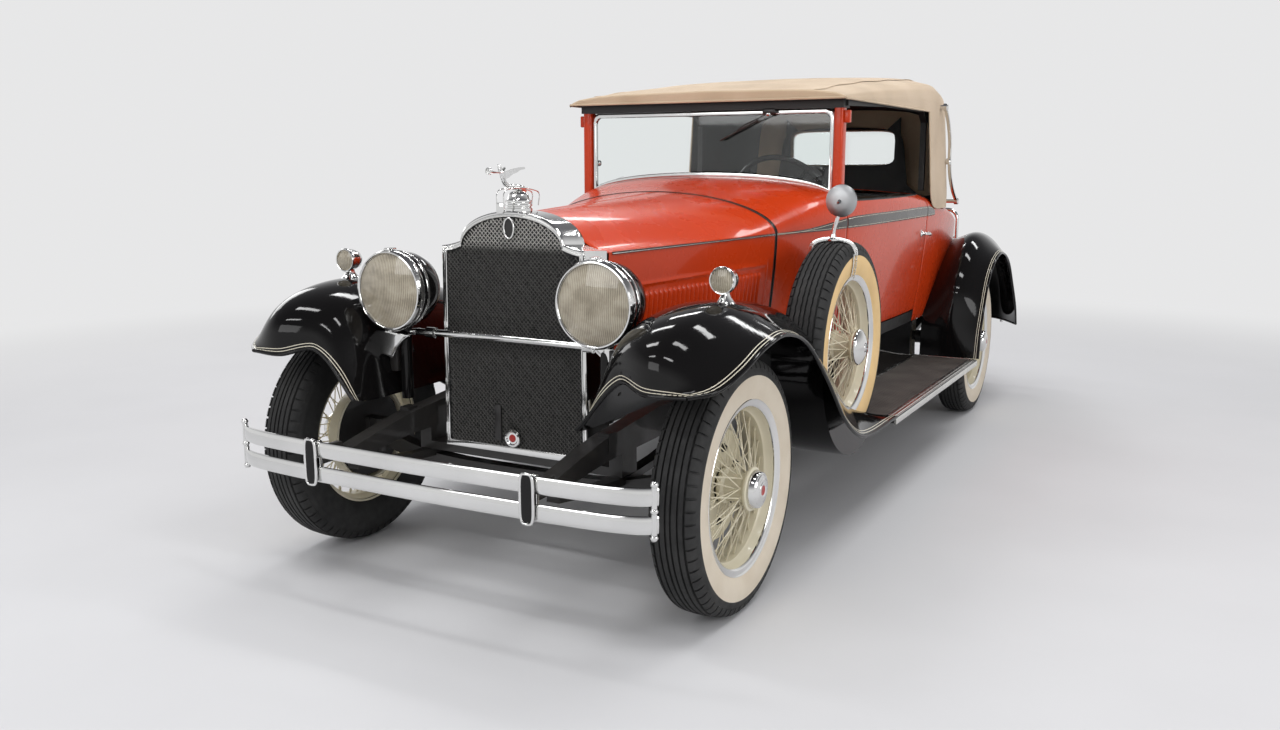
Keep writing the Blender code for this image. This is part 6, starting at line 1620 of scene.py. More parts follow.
def make_lamp_bar():
    """Tie bar, its two brackets with their bolts, and the posts down to the frame."""
    bar_y, bar_z, post_y = SHELL_FRONT_Y - 0.030, 0.838, HEADLAMP.y + 0.075
    path = [(x, bar_y, bar_z + 0.004 * math.cos(x * 3.2)) for x in steps_between(-0.400, 0.400, 30)]
    parts = [tube("bar", path, 0.0125, CHROME, sides=20)]
    for side in (-1, 1):
        x = side * HEADLAMP.x
        post = [(x, post_y, 0.604), (x, post_y, 0.70), (x, post_y, 0.80), (x, post_y + 0.006, 0.856),
                (x, post_y + 0.006, 0.90)]
        parts.append(sweep("post", post, soft_box_section(0.036, 0.040, 0.012), BLACK, up=Y_AXIS))
        saddle = []
        for t in steps_between(0, 1, 12):
            left, right = 0.353 + 0.100 * t ** 0.8, 0.533 - 0.041 * t
            middle, half = (left + right) / 2, (right - left) / 2
            saddle.append([Vector((side * (middle + s * half), post_y - 0.012 - 0.006 * (1 - s * s),
                                   0.848 - 0.084 * t))
                           for s in steps_between(-1, 1, 9)])
        parts.append(thicken(grid_mesh("saddle", saddle, CHROME), 0.040, -side * 1.0, 0.004))
        parts.append(soft_box("strap", (min(side * 0.434, side * 0.468), post_y - 0.026, 0.700),
                              (max(side * 0.434, side * 0.468), post_y - 0.004, 0.846), SATIN,
                              bevel=0.004))
        parts.append(tube("arm", [(side * 0.575, post_y - 0.002, 0.846),
                                  (side * 0.545, post_y - 0.004, 0.800),
                                  (side * 0.520, post_y - 0.004, 0.772)], 0.010, SATIN, sides=12,
                          up=Y_AXIS))
        for dx, dz in ((0.568, 0.842), (0.525, 0.776)):
            parts.append(bolt("bolt", (side * dx, post_y - 0.010, dz), (0, -1, 0), 0.0095, 0.012,
                              CHROME))
        clamp = turned("clamp", [(0.0135, -0.020), (0.019, -0.018), (0.019, 0.018), (0.0135, 0.020)],
                       (side * 0.325, bar_y, bar_z + 0.002), X_AXIS, 24, CHROME)
        parts.append(clamp)
        parts.append(tube("tie", [(side * 0.395, bar_y, bar_z + 0.001),
                                  (side * 0.405, bar_y - 0.030, bar_z + 0.002),
                                  (side * 0.420, post_y - 0.010, bar_z + 0.002)], 0.0125, CHROME,
                          sides=16))
    return joined("lamp_bar_dressed", *parts)


def make_fender_lamp():
    """Small round lamp on its pedestal on the fender's crown."""
    x, y, z = 0.770, -0.020, 1.073
    body = turned("body", [(0.037, -0.012), (0.0385, -0.017), (0.0415, -0.018), (0.0440, -0.013),
                           (0.0440, -0.006),
                           (0.0415, 0.000), (0.0400, 0.018), (0.0330, 0.042), (0.0200, 0.058),
                           (0, 0.064)],
                  (x, y, z), Y_AXIS, 48, CHROME)
    lens = lens_face("lens", 0.0380, 0.007, FLUTED, -0.012)
    lens.data.transform(Matrix.Translation((x, y, z)))
    rings = []
    for t in steps_between(0, 1, 10):
        w = 0.013 + 0.017 * (1 - t) ** 2.2
        d = 0.018 + 0.034 * (1 - t) ** 1.8
        zt = 1.000 + t * (z - 0.036 - 1.000)
        rings.append([Vector((x + w * math.cos(a), y + 0.012 + d * math.sin(a), zt))
                      for a in around(20)])
    pedestal = loft("pedestal", rings, CHROME)
    return joined("fender_lamp_left", body, lens, pedestal)


def make_tail_lamp():
    x, z, y = 0.560, 0.640, WHEELBASE + 0.890
    shell = turned("shell", [(0.012, 0.0), (0.028, 0.006), (0.040, 0.020), (0.043, 0.030),
                             (0.043, 0.038), (0.0405, 0.042),
                             (0.0375, 0.042)], (x, y, z), Y_AXIS, 48, CHROME)
    lens = turned("lens", [(0.0380, 0.040), (0.034, 0.046), (0.024, 0.050), (0.012, 0.0525),
                           (0, 0.053)], (x, y, z),
                  Y_AXIS, 48, RED_LENS)
    low = 0.5455
    arm = sweep("arm", smooth_path([(0.431, y, low + 0.012), (0.500, y, low + 0.012),
                                    (0.552, y, low + 0.030),
                                    (0.560, y, z - 0.020), (0.560, y + 0.004, z)], 24),
                soft_box_section(0.014, 0.022, 0.004),
                SATIN, up=Y_AXIS)
    return joined("tail_lamp_dressed", shell, lens, arm)


# Bumpers

def bumper_path(front_y, back, z, sign):
    shape = [(-1.0, 1.0), (-0.985, 0.80), (-0.94, 0.55), (-0.88, 0.40), (-0.80, 0.28), (-0.60, 0.14),
             (-0.40, 0.07),
             (0.0, 0.0), (0.40, 0.07), (0.60, 0.14), (0.80, 0.28), (0.88, 0.40), (0.94, 0.55),
             (0.985, 0.80), (1.0, 1.0)]
    return smooth_path([(BUMPER_HALF * a, front_y + sign * back * b, z) for a, b in shape], 90)


def make_bumper(name, front_y, back, sign, rail_end):
    """Two bars, their upright clamps, arms to the frame, and a pin with balls at each end."""
    parts = []
    face = [(-0.0050, -0.026), (-0.0075, -0.022), (-0.0088, -0.010), (-0.0092, 0.0), (-0.0088, 0.010),
            (-0.0075, 0.022),
            (-0.0050, 0.026), (0.0010, 0.026), (0.0020, 0.022), (0.0020, -0.022), (0.0010, -0.026)]
    section = [(-a * sign, b) for a, b in face]
    for z in (BUMPER_UPPER_Z, BUMPER_LOWER_Z):
        parts.append(sweep("bar", bumper_path(front_y + sign * 0.002, back, z, sign), section, CHROME))
    middle = (BUMPER_UPPER_Z + BUMPER_LOWER_Z) / 2
    for side in (-1, 1):
        x = side * BUMPER_CLAMP_X
        at = front_y + sign * 0.07 * back
        high, low = BUMPER_UPPER_Z + 0.034, BUMPER_LOWER_Z - 0.034
        loop = []
        for a in around(40):
            cx = 0.0225 * math.copysign(abs(math.cos(a)) ** 0.45, math.cos(a))
            cz = (high - low) / 2 * math.copysign(abs(math.sin(a)) ** 0.45, math.sin(a))
            loop.append((x + cx, at - sign * 0.0125, (high + low) / 2 + cz))
        parts.append(sweep("edge", loop, round_section(0.0048, 10), CHROME, up=Y_AXIS, closed=True))
        plate = make("plate",
                     [(px * 0.97 + x * 0.03, py, (pz - middle) * 0.985 + middle) for px, py, pz in loop],
                     [tuple(range(40))], BLACK)
        parts.append(thicken(plate, 0.004, 0.0))
        near, far = sorted((at + sign * 0.006, at + sign * 0.024))
        parts.append(soft_box("back", (x - 0.022, near, low + 0.006), (x + 0.022, far, high - 0.006),
                              CHROME, bevel=0.005))
        near, far = sorted((at + sign * 0.010, rail_end - sign * 0.0005))
        parts.append(soft_box("arm", (x - 0.020, near, middle - 0.018),
                              (x + 0.010, far, middle + 0.040), SATIN, bevel=0.005))
        tip_y = front_y + sign * (back - 0.012)
        bx = side * (BUMPER_HALF - 0.003)
        parts.append(tube("pin", [(bx, tip_y, BUMPER_LOWER_Z - 0.034), (bx, tip_y, middle),
                                  (bx, tip_y, BUMPER_UPPER_Z + 0.034)],
                          0.0085, CHROME, sides=16, up=Y_AXIS))
        for z in (BUMPER_LOWER_Z - 0.036, middle, BUMPER_UPPER_Z + 0.036):
            ball = turned("ball", [(0, -0.011), (0.008, -0.009), (0.0125, 0.0), (0.008, 0.009),
                                   (0, 0.011)], (bx, tip_y, z),
                          Z_AXIS, 20, CHROME, angle=80)
            parts.append(ball)
    return joined(name, *parts)


# Windshield, top and fittings

def windshield_foot(x):
    return crown_z(WINDSHIELD_Y, abs(x) / body_half_width(WINDSHIELD_Y)) - 0.004


def windshield_loop(inset):
    """Outline of the windshield, its foot on the cowl and its top corners rounded."""
    half = WINDSHIELD_HALF - inset
    loop = []
    for x in steps_between(half, -half, 41):
        loop.append((x, windshield_foot(x * WINDSHIELD_HALF / half) + inset))
    top = WINDSHIELD_TOP_Z - inset
    corner = 0.030
    loop += [(-half, top - corner)]
    for i in range(1, 6):
        a = math.pi / 2 * i / 6
        loop.append((-half + corner - corner * math.cos(a), top - corner + corner * math.sin(a)))
    loop += [(-half + corner, top), (0, top), (half - corner, top)]
    for i in range(1, 6):
        a = math.pi / 2 * i / 6
        loop.append((half - corner + corner * math.sin(a), top - corner + corner * math.cos(a)))
    loop.append((half, top - corner))
    return loop


def make_windshield_frame():
    stops = [(0.0220, 0.0), (0.0215, -0.006), (0.0190, -0.0105), (0.0120, -0.0120), (0.0050, -0.0105),
             (0.0015, -0.006),
             (0.0010, 0.0), (0.0015, 0.006), (0.0050, 0.0105), (0.0190, 0.0105), (0.0215, 0.006)]
    rings = []
    for inset, depth in stops:
        rings.append([Vector((x, WINDSHIELD_Y + depth, z)) for x, z in windshield_loop(inset)])
    parts = [grid_mesh("windshield_rim", rings, CHROME, loop_rows=True, loop_columns=True)]
    for side in (-1, 1):
        x = side * (WINDSHIELD_HALF + 0.0395)
        parts.append(soft_box("hinge", (min(x, x + side * 0.026), WINDSHIELD_Y - 0.014, 1.598),
                              (max(x, x + side * 0.026), WINDSHIELD_Y + 0.014, 1.650), RED,
                              bevel=0.004))
        knob_x = side * (WINDSHIELD_HALF - 0.012)
        parts.append(turned("knob", [(0.006, 0.0), (0.006, 0.010), (0.013, 0.014), (0.015, 0.022),
                                     (0.010, 0.030), (0, 0.032)],
                            (knob_x, WINDSHIELD_Y + 0.008, 1.43), Y_AXIS, 20, CHROME))
    return joined("windshield_frame_dressed", *parts)


def make_wiper():
    """Wiper motor on the header over the driver, its arm and blade toward the middle."""
    x, y = 0.308, WINDSHIELD_Y - 0.030
    motor = soft_box("motor", (x - 0.030, y - 0.010, 1.640), (x + 0.030, y + 0.017, 1.664), SATIN,
                     bevel=0.007,
                     segments=3)
    pivot = turned("pivot", [(0.009, 0), (0.009, 0.010), (0.005, 0.014), (0, 0.015)],
                   (x, y - 0.006, 1.640), (0, -1, 0),
                   20, CHROME)
    arm = tube("arm", [(x, y - 0.016, 1.640), (x - 0.110, y - 0.014, 1.594),
                       (x - 0.150, y - 0.002, 1.572)], 0.0026,
               SATIN, sides=8)
    blade = tube("blade", [(x - 0.055, y + 0.008, 1.614), (x - 0.235, y + 0.008, 1.530)], 0.0042, SATIN,
                 sides=8)
    return joined("wiper", motor, pivot, arm, blade)


def roof_height(y):
    run = TOP_REAR_Y - TOP_FRONT_Y
    return smooth_value([(TOP_FRONT_Y, 1.744), (TOP_FRONT_Y + 0.20 * run, 1.805),
                         (TOP_FRONT_Y + 0.50 * run, 1.860),
                         (TOP_FRONT_Y + 0.75 * run, 1.885), (TOP_FRONT_Y + 0.90 * run, 1.830),
                         (TOP_REAR_Y - 0.040, 1.740), (TOP_REAR_Y, 1.640)], y)


def roof_half_width(y):
    return min(TOP_HALF_WIDTH, smooth_value([
        (TOP_FRONT_Y, TOP_HALF_WIDTH), (TOP_REAR_Y - 0.42, TOP_HALF_WIDTH),
                                             (TOP_REAR_Y - 0.22, TOP_HALF_WIDTH - 0.025),
        (TOP_REAR_Y - 0.09, TOP_HALF_WIDTH - 0.095), (TOP_REAR_Y - 0.02, TOP_HALF_WIDTH - 0.190),
        (TOP_REAR_Y, TOP_HALF_WIDTH - 0.280)], y))


def roof_ring(y):
    """Half section of the canvas from its foot up to the middle of the roof."""
    width = roof_half_width(y)
    top = roof_height(y)
    edge = top - smooth_value([(TOP_FRONT_Y, 0.024), (TOP_FRONT_Y + 0.50, 0.045), (TOP_REAR_Y, 0.045)],
                              y)
    side = smooth_value([(TOP_FRONT_Y, 0.030), (QUARTER_Y, 0.080), (TOP_REAR_Y, 0.10)], y)
    foot = min(body_half_width(y) + 0.016, width + 0.030)
    upright = [(TOP_FOOT_Z - 0.10, foot), (TOP_FOOT_Z + 0.08, foot), (edge - side, width),
               (edge - side * 0.45, width * 0.985),
               (edge, width * 0.93)]

    def side_of(z):
        for (z0, x0), (z1, x1) in zip(upright, upright[1:]):
            if z <= z1:
                return x0 + (x1 - x0) * max(0.0, (z - z0) / (z1 - z0))
        return upright[-1][1]

    ring = [Vector((side_of(z), y, z)) for z in steps_between(TOP_FOOT_Z, TOP_SKIRT_Z, 16)]
    for z in steps_between(TOP_SKIRT_Z, edge, 12)[1:]:
        ring.append(Vector((side_of(z), y, z)))
    sag = 0.0
    for near, far in zip((TOP_FRONT_Y,) + BOWS, BOWS + (TOP_REAR_Y - 0.3,)):
        if near < y < far:
            sag = 0.007 * math.sin(math.pi * (y - near) / (far - near)) ** 2
    drop = (top - edge) / 0.045
    knots = [(0.0, edge), (0.18 / 0.93, top - 0.018 * drop), (0.53 / 0.93, top - 0.004), (1.0, top)]
    for t in steps_between(0, 1, 22)[1:]:
        z = smooth_value(knots, t)
        ring.append(Vector((width * 0.93 * (1 - t), y,
                            z - sag * math.sin(math.pi / 2 * min(1.0, 2.5 * t)))))
    return ring


def quarter_foot(y):
    """Lower edge of the canvas behind the door: a rounded tongue, then along the deck."""
    return smooth_value([(QUARTER_Y, 1.292), (QUARTER_Y + 0.030, 1.235), (QUARTER_Y + 0.090, 1.200),
                         (QUARTER_Y + 0.200, 1.190), (TOP_REAR_Y, 1.190)], y)


def window_loop(directions, grow, y):
    """Points of the rounded rear window's edge, one for each direction from its middle."""
    middle = (WINDOW_LOW + WINDOW_HIGH) / 2
    loop = []
    for angle in directions:
        c, s = math.cos(angle), math.sin(angle)
        x = (WINDOW_HALF + grow) * math.copysign(abs(c) ** 0.30, c)
        z = (middle - WINDOW_LOW + grow) * math.copysign(abs(s) ** 0.30, s)
        loop.append(Vector((x, y, middle + z)))
    return loop


def make_back_curtain(name, rear, mat, back=0.0, grow=0.0):
    """Back curtain between the rear bow and its window, with a slight slack."""
    middle = (WINDOW_LOW + WINDOW_HIGH) / 2
    foot = [Vector((x, TOP_REAR_Y, TOP_FOOT_Z))
            for x in steps_between(rear[-1].x, rear[0].x, 42)[1:-1]]
    outline = [Vector((q.x, TOP_REAR_Y - back, q.z)) for q in list(rear) + foot]
    directions = [math.atan2((p.z - middle) / (middle - WINDOW_LOW), p.x / WINDOW_HALF)
                  for p in outline]
    hole = window_loop(directions, grow, TOP_REAR_Y - back)
    rings = []
    for t in steps_between(0, 1, 16):
        slack = -0.006 * math.sin(math.pi * t)
        rings.append([a.lerp(b, t) + Vector((0, slack, 0)) for a, b in zip(outline, hole)])
    return grid_mesh(name, rings, mat, loop_columns=True)


def make_soft_top():
    """Canvas over the bows, folded down at the front, black inside, its quarters on the body."""
    stations = [TOP_FRONT_Y + d for d in (0.007, 0.014, 0.024)]
    stations += steps_between(TOP_FRONT_Y + 0.04, QUARTER_Y, 58)
    folds = [(0.003, -0.0022), (0.0008, -0.0055), (0.0, -0.0095)]
    front_rows = len(folds) + 4 + len(stations) - 1
    stations += steps_between(QUARTER_Y, TOP_REAR_Y - 0.10, 30)[1:]
    stations += [TOP_REAR_Y - d for d in (0.085, 0.07, 0.055, 0.042, 0.030, 0.020, 0.012, 0.005, 0.0)]
    grid = []
    for y in stations:
        half = roof_ring(y)
        for k in range(16):
            p = half[k]
            floor_z = quarter_foot(y)
            z = floor_z + (TOP_SKIRT_Z - floor_z) * k / 15
            body_x = skin_x(y, z) if z < crown_height(y) else 0.0
            half[k] = Vector((max(p.x, body_x + 0.004) if z < 1.30 else p.x, y, z))
        grid.append(both_sides(half))
    first = grid[0]
    wall = []
    for share in (1.0, 0.75, 0.5, 0.25):
        wall.append([Vector((p.x, TOP_FRONT_Y, p.z - 0.0095 + (TOP_SKIRT_Z + 0.0095 - p.z) * share))
                     for p in first])
    for ahead, drop in reversed(folds):
        wall.append([Vector((p.x, TOP_FRONT_Y + ahead, max(TOP_SKIRT_Z, p.z + drop))) for p in first])
    grid = wall + grid
    columns = len(grid[0])

    def keep(i, j):
        low = j < 15 or j >= columns - 1 - 15
        return not (i < front_rows and low)

    skin = grid_mesh("soft_top_skin", grid, CANVAS, LINING, keep=keep)
    roof = max(skin.data.polygons, key=lambda face: face.center.z)
    if roof.normal.z < 0:
        skin.data.flip_normals()
    modify(skin, "SOLIDIFY", thickness=CANVAS_DEPTH, offset=-1.0, use_even_offset=False,
           material_offset=1,
           material_offset_rim=0)
    for face in skin.data.polygons:
        if face.center.y > TOP_REAR_Y - 0.045:
            face.material_index = 0
    curtain = make_back_curtain("back_curtain", grid[-1], CANVAS)
    if max(curtain.data.polygons, key=lambda face: face.area).normal.y < 0:
        curtain.data.flip_normals()
    modify(curtain, "SOLIDIFY", thickness=CANVAS_DEPTH, offset=-1.0, use_even_offset=False)
    rear = [Vector((p.x * 0.965, p.y, min(p.z, 1.80))) for p in grid[-1]]
    lining = make_back_curtain("back_lining", rear, LINING, 0.040, 0.004)
    modify(lining, "SOLIDIFY", thickness=0.002, offset=0.0, use_even_offset=False)
    top = joined("soft_top_dressed", skin, curtain, lining)
    work = bmesh.new()
    work.from_mesh(top.data)
    bmesh.ops.remove_doubles(work, verts=work.verts, dist=0.0002)
    work.to_mesh(top.data)
    work.free()
    return soften(top, 40)


def make_top_trim():
    """Hems along the skirt and the front, seams from the front corners, and the window's frame."""
    parts = []
    for side in (-1, 1):
        skirt = [roof_ring(y)[15] for y in steps_between(TOP_FRONT_Y, QUARTER_Y, 50)]
        skirt = [Vector((side * (p.x + 0.001), p.y, p.z)) for p in skirt]
        parts.append(tube("hem", skirt, 0.0048, CANVAS, sides=10, up=X_AXIS))
        seam = []
        for y in steps_between(TOP_FRONT_Y + 0.012, TOP_REAR_Y - 0.10, 70):
            p = roof_ring(y)[29]
            seam.append(Vector((side * p.x, p.y, p.z + 0.0015)))
        parts.append(sweep("seam", seam, [(-0.010, -0.001), (-0.009, 0.0012), (0.009, 0.0012),
                                          (0.010, -0.001)], CANVAS))
        edge = [Vector((side * (p.x + 0.001), p.y, p.z)) for p in
                [roof_ring(QUARTER_Y)[k] for k in range(15, 3, -1)]]
        parts.append(tube("quarter_edge", edge, 0.0045, CANVAS, sides=10, up=Y_AXIS))
    corner = roof_ring(TOP_FRONT_Y)[15].x
    front = [(x, TOP_FRONT_Y - 0.001, TOP_SKIRT_Z + 0.003)
             for x in steps_between(-corner, corner, 24)]
    parts.append(sweep("front_hem", front, soft_box_section(0.007, 0.010, 0.003), CANVAS))
    parts.append(sweep("window_frame", window_loop(around(96), 0.003, TOP_REAR_Y + 0.001),
                       soft_box_section(0.014, 0.008, 0.003), CHROME, up=Y_AXIS, closed=True))
    return joined("soft_top_trim", *parts)


def make_rear_window():
    loop = window_loop(around(96), 0.002, TOP_REAR_Y - 0.002)
    return thicken(make("rear_window", loop, [tuple(range(len(loop)))], GLASS), 0.003)


def make_landau():
    x = TOP_HALF_WIDTH + 0.030
    path = smooth_path([(x, 2.98, 1.725), (x + 0.004, 3.045, 1.64), (x + 0.006, 3.090, 1.54),
                        (x + 0.006, 3.10, 1.44),
                        (x + 0.005, 3.135, 1.36), (x + 0.003, 3.22, 1.28), (x, 3.34, 1.215)], 60)
    iron = sweep("iron", path, soft_box_section(0.010, 0.020, 0.004), CHROME, up=X_AXIS)
    parts = [iron]
    for y, z, r in ((2.98, 1.725, 0.020), (3.10, 1.44, 0.017), (3.335, 1.217, 0.018)):
        inner = 0.60 if z < 1.3 else TOP_HALF_WIDTH - 0.003
        parts.append(turned("joint", [(r * 0.6, inner), (r * 0.6, x - 0.012), (r, x - 0.010),
                                      (r, x + 0.008), (r * 0.75, x + 0.013),
                                      (0, x + 0.014)], (0, y, z), X_AXIS, 32, CHROME))
    return joined("landau_left_dressed", *parts)


def make_luggage_rack():
    half, low, high, y = RACK_HALF, RACK_LOW, RACK_HIGH, RACK_Y
    loop = [(half, y, low), (half, y, high - 0.06)]
    for i in range(1, 8):
        a = math.pi / 2 * i / 8
        loop.append((half - 0.06 + 0.06 * math.cos(a), y, high - 0.06 + 0.06 * math.sin(a)))
    path = loop + [(half - 0.06, y, high), (0, y, high)]
    path += [(-px, py, pz) for px, py, pz in reversed(path[:-1])]
    parts = [sweep("hoop", path, round_section(0.0128, 16), CHROME, up=Y_AXIS)]
    parts.append(tube("base", [(-half, y, low), (0, y, low), (half, y, low)], 0.0130, CHROME, sides=20))
    for i in range(5):
        x = half * (i - 2) / 3
        parts.append(sweep("slat", [(x, y, low), (x, y, (low + high) / 2), (x, y, high)],
                           soft_box_section(0.036, 0.012, 0.005),
                           CHROME, up=Y_AXIS))
    for z in (0.78, 0.95):
        parts.append(tube("rung", [(-half, y, z), (0, y, z), (half, y, z)], 0.0075, CHROME, sides=14))
    return joined("luggage_rack_dressed", *parts)


def make_steering_wheel():
    axis = Vector((0, math.cos(COLUMN_SLOPE), math.sin(COLUMN_SLOPE)))
    across = Vector(X_AXIS)
    rise = axis.cross(across)
    profile = [(0.213 + 0.0125 * math.cos(a), 0.0125 * math.sin(a)) for a in around(14)]
    rim = turned("rim", profile, STEERING, axis, 96, BLACK, loop=True)
    hub = turned("hub", [(0.0, -0.0495), (0.030, -0.0495), (0.036, -0.030), (0.036, -0.004),
                         (0.030, 0.006), (0.020, 0.011),
                         (0, 0.012)], STEERING, axis, 40, BLACK)
    cap = turned("horn", [(0.017, 0.010), (0.016, 0.016), (0.008, 0.020), (0, 0.0205)], STEERING, axis,
                 32, NICKEL)
    parts = [rim, hub, cap]
    for i in range(4):
        a = math.pi / 4 + math.pi / 2 * i
        out = across * math.cos(a) + rise * math.sin(a)
        path = [STEERING + out * 0.026 - axis * 0.016, STEERING + out * 0.10 - axis * 0.013,
                STEERING + out * 0.205]
        parts.append(sweep("spoke", path, soft_box_section(0.020, 0.010, 0.004), BLACK, up=axis))
    return joined("steering_wheel_dressed", *parts)


# Seats

def padded_block(name, low, high, lean, channels):
    """Stuffed cushion: a slack block blown up as cloth, its channels sewn in afterwards."""
    voxel, depth, cap = 0.012, 0.006, 0.024
    block = soft_box(name, low, high, LEATHER, bevel=0.030, segments=4)
    modify(block, "REMESH", mode="VOXEL", voxel_size=voxel)
    for vert in block.data.vertices:
        vert.co.y += lean * (vert.co.z - low[2])
    count = len(block.data.vertices)
    rest = np.zeros(count * 3)
    block.data.vertices.foreach_get("co", rest)
    rest = rest.reshape(-1, 3)
    cloth = block.modifiers.new("Cloth", "CLOTH")
    cloth.settings.quality = 4
    cloth.settings.use_pressure = True
    cloth.settings.uniform_pressure_force = 4.0
    cloth.settings.effector_weights.gravity = 0.0
    for step in range(1, 21):
        bpy.context.scene.frame_set(step)
    graph = bpy.context.evaluated_depsgraph_get()
    mesh = block.evaluated_get(graph).to_mesh()
    moved = np.zeros(count * 3)
    mesh.vertices.foreach_get("co", moved)
    move = moved.reshape(-1, 3) - rest
    length = np.linalg.norm(move, axis=1, keepdims=True)
    move *= np.minimum(1.0, cap / np.maximum(length, 0.00001))
    block.evaluated_get(graph).to_mesh_clear()
    block.modifiers.clear()
    bpy.context.scene.frame_set(1)
    block.data.vertices.foreach_set("co", (rest + move).ravel())
    block.data.update()
    modify(block, "SUBSURF", levels=1)
    normals = [vert.normal.copy() for vert in block.data.vertices]
    for vert, normal in zip(block.data.vertices, normals):
        near = min(abs(vert.co.x - x) for x in channels)
        vert.co -= normal * depth * math.exp(-(near / 0.0060) ** 2)
    return soften(block, 60)


def make_seats():
    """Bench behind the wheel and the small seat under the rear lid."""
    channels = [-0.42, -0.28, -0.14, 0.0, 0.14, 0.28, 0.42]
    cushion = padded_block("seat_cushion", (-0.540, 2.228, 0.775), (0.540, 2.735, 0.925), 0.0, channels)
    back = padded_block("seat_back", (-0.540, 2.730, 0.890), (0.540, 2.825, 1.275), 0.36, channels)
    rumble = padded_block("rumble_cushion", (-0.355, 3.432, 0.632), (0.355, 3.828, 0.756), 0.0,
                          [-0.18, -0.06, 0.06, 0.18])
    put(cushion, "body", ["seat"])
    put(back, "body")
    put(rumble, "body", ["rumble_seat"])
    riser = soft_box("seat_riser", (-0.545, 2.235, 0.622), (0.545, 2.900, 0.768), LINING, bevel=0.006)
    board = [[Vector((x, y, z)) for x in (-0.545, 0.0, 0.545)]
             for y, z in ((2.900, 0.770), (2.935, 0.900), (2.990, 1.200), (2.998, 1.262))]
    board = thicken(grid_mesh("seat_board", board, LINING), 0.008, 0.0)
    put(joined("seat_riser", riser, board), "body")


# Assembly

def build_all():
    put_pair(make_hood_top(), "hood_top_left", ["hood_top_left"])
    put_pair(make_hood_side(), "hood_side_left", ["hood_side_left"])
    belt_pieces()
    put(make_cowl(), "body", ["cowl"])
    put(make_firewall(), "body")
    put(make_dashboard(), "body")
    put(make_column(), "body")
    put_pair(make_door(), "door_left", ["door_left"])
    put_pair(make_door_trim(), "door_left")
    put_pair(make_sill_cap(), "door_left")
    put(make_rear_body(), "body", ["rear_body"])
    put(make_rear_inside(), "body")
    put(make_lid(), "rumble_lid", ["rumble_lid"])
    make_seats()
    put_pair(make_door_handle(), "door_left")
    put_pair(make_hood_latch(), "hood_side_left")

    fender, rows, grid = make_front_fender()
    stripes = fender_stripes("front_fender", rows, grid, STRIPE_DISTANCES, True)
    put_pair(fender, "body", ["front_fender_left"])
    put_pair(stripes, "body")
    fender, rows, grid = make_rear_fender()
    stripes = fender_stripes("rear_fender", rows, grid, STRIPE_DISTANCES, False)
    put_pair(fender, "body", ["rear_fender_left"])
    put_pair(stripes, "body")
    put_pair(make_running_board(), "body", ["running_board_left"])
    make_wheels()
    put(make_mirror(), "body")
    put_pair(make_spare_strap(), "body")

    put(make_radiator_shell(), "body", ["radiator_shell"])
    put(make_stone_guard(), "body")
    put(make_cap(), "body", ["radiator_cap"])
    put_pair(make_headlamp(), "body", ["headlamp_left"])
    put(make_lamp_bar(), "body", ["lamp_bar"])
    put_pair(make_fender_lamp(), "body")
    put(make_tail_lamp(), "body", ["tail_lamp"])
    put(make_bumper("front_bumper_dressed", -0.594, 0.080, 1, -0.460), "body",
        ["front_bumper"])
    put(make_bumper("rear_bumper_dressed", WHEELBASE + 1.094, 0.080, -1, WHEELBASE + 0.930), "body",
        ["rear_bumper"])

    put(make_windshield_frame(), "body", ["windshield_frame"])
    put(make_wiper(), "body")
    put(make_soft_top(), "body", ["soft_top"])
    put(make_top_trim(), "body")
    put(make_rear_window(), "body")
    put_pair(make_landau(), "body", ["landau_left"])
    put(make_luggage_rack(), "luggage_rack", ["luggage_rack"])
    put(make_steering_wheel(), "steering_wheel", ["steering_wheel"])


def dress_nodes():
    """Finishes of the solids that stay in view."""
    looks = {
        SATIN: ["frame", "front_axle", "rear_axle", "knuckle_left", "knuckle_right", "tie_rod",
                "fuel_tank", "floor"],
        IRON: ["engine_block"],
        CORE: ["radiator_core"],
        LINING: ["top_frame"],
        GLASS: ["windshield_glass"],
    }
    for mat, names in looks.items():
        for name in names:
            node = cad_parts[name]
            node.data.materials.clear()
            node.data.materials.append(mat)


# Stage

def stage_material(name, colour, near, far):
    """Pale matt floor that turns into the plain background with distance from the car."""
    mat = bpy.data.materials.new(name)
    mat.use_nodes = True
    tree = mat.node_tree
    shader = tree.nodes["Principled BSDF"]
    shader.inputs["Roughness"].default_value = 0.85
    tint(tree, shader, noise(tree, 1.5, 4.0), (0.3, colour), (0.7, tuple(c * 0.97 for c in colour)))
    length = tree.nodes.new("ShaderNodeVectorMath")
    length.operation = "LENGTH"
    tree.links.new(coordinates(tree), length.inputs[0])
    share = tree.nodes.new("ShaderNodeMapRange")
    share.interpolation_type = "SMOOTHSTEP"
    share.inputs["From Min"].default_value = near
    share.inputs["From Max"].default_value = far
    tree.links.new(length.outputs["Value"], share.inputs["Value"])
    plain = tree.nodes.new("ShaderNodeEmission")
    plain.inputs["Color"].default_value = (*BACKGROUND, 1.0)
    seen = math_node(tree, "MULTIPLY", share.outputs["Result"], seen_directly(tree))
    mix = tree.nodes.new("ShaderNodeMixShader")
    tree.links.new(seen.outputs[0], mix.inputs["Fac"])
    tree.links.new(shader.outputs[0], mix.inputs[1])
    tree.links.new(plain.outputs[0], mix.inputs[2])
    tree.links.new(mix.outputs[0], tree.nodes["Material Output"].inputs["Surface"])
    return mat


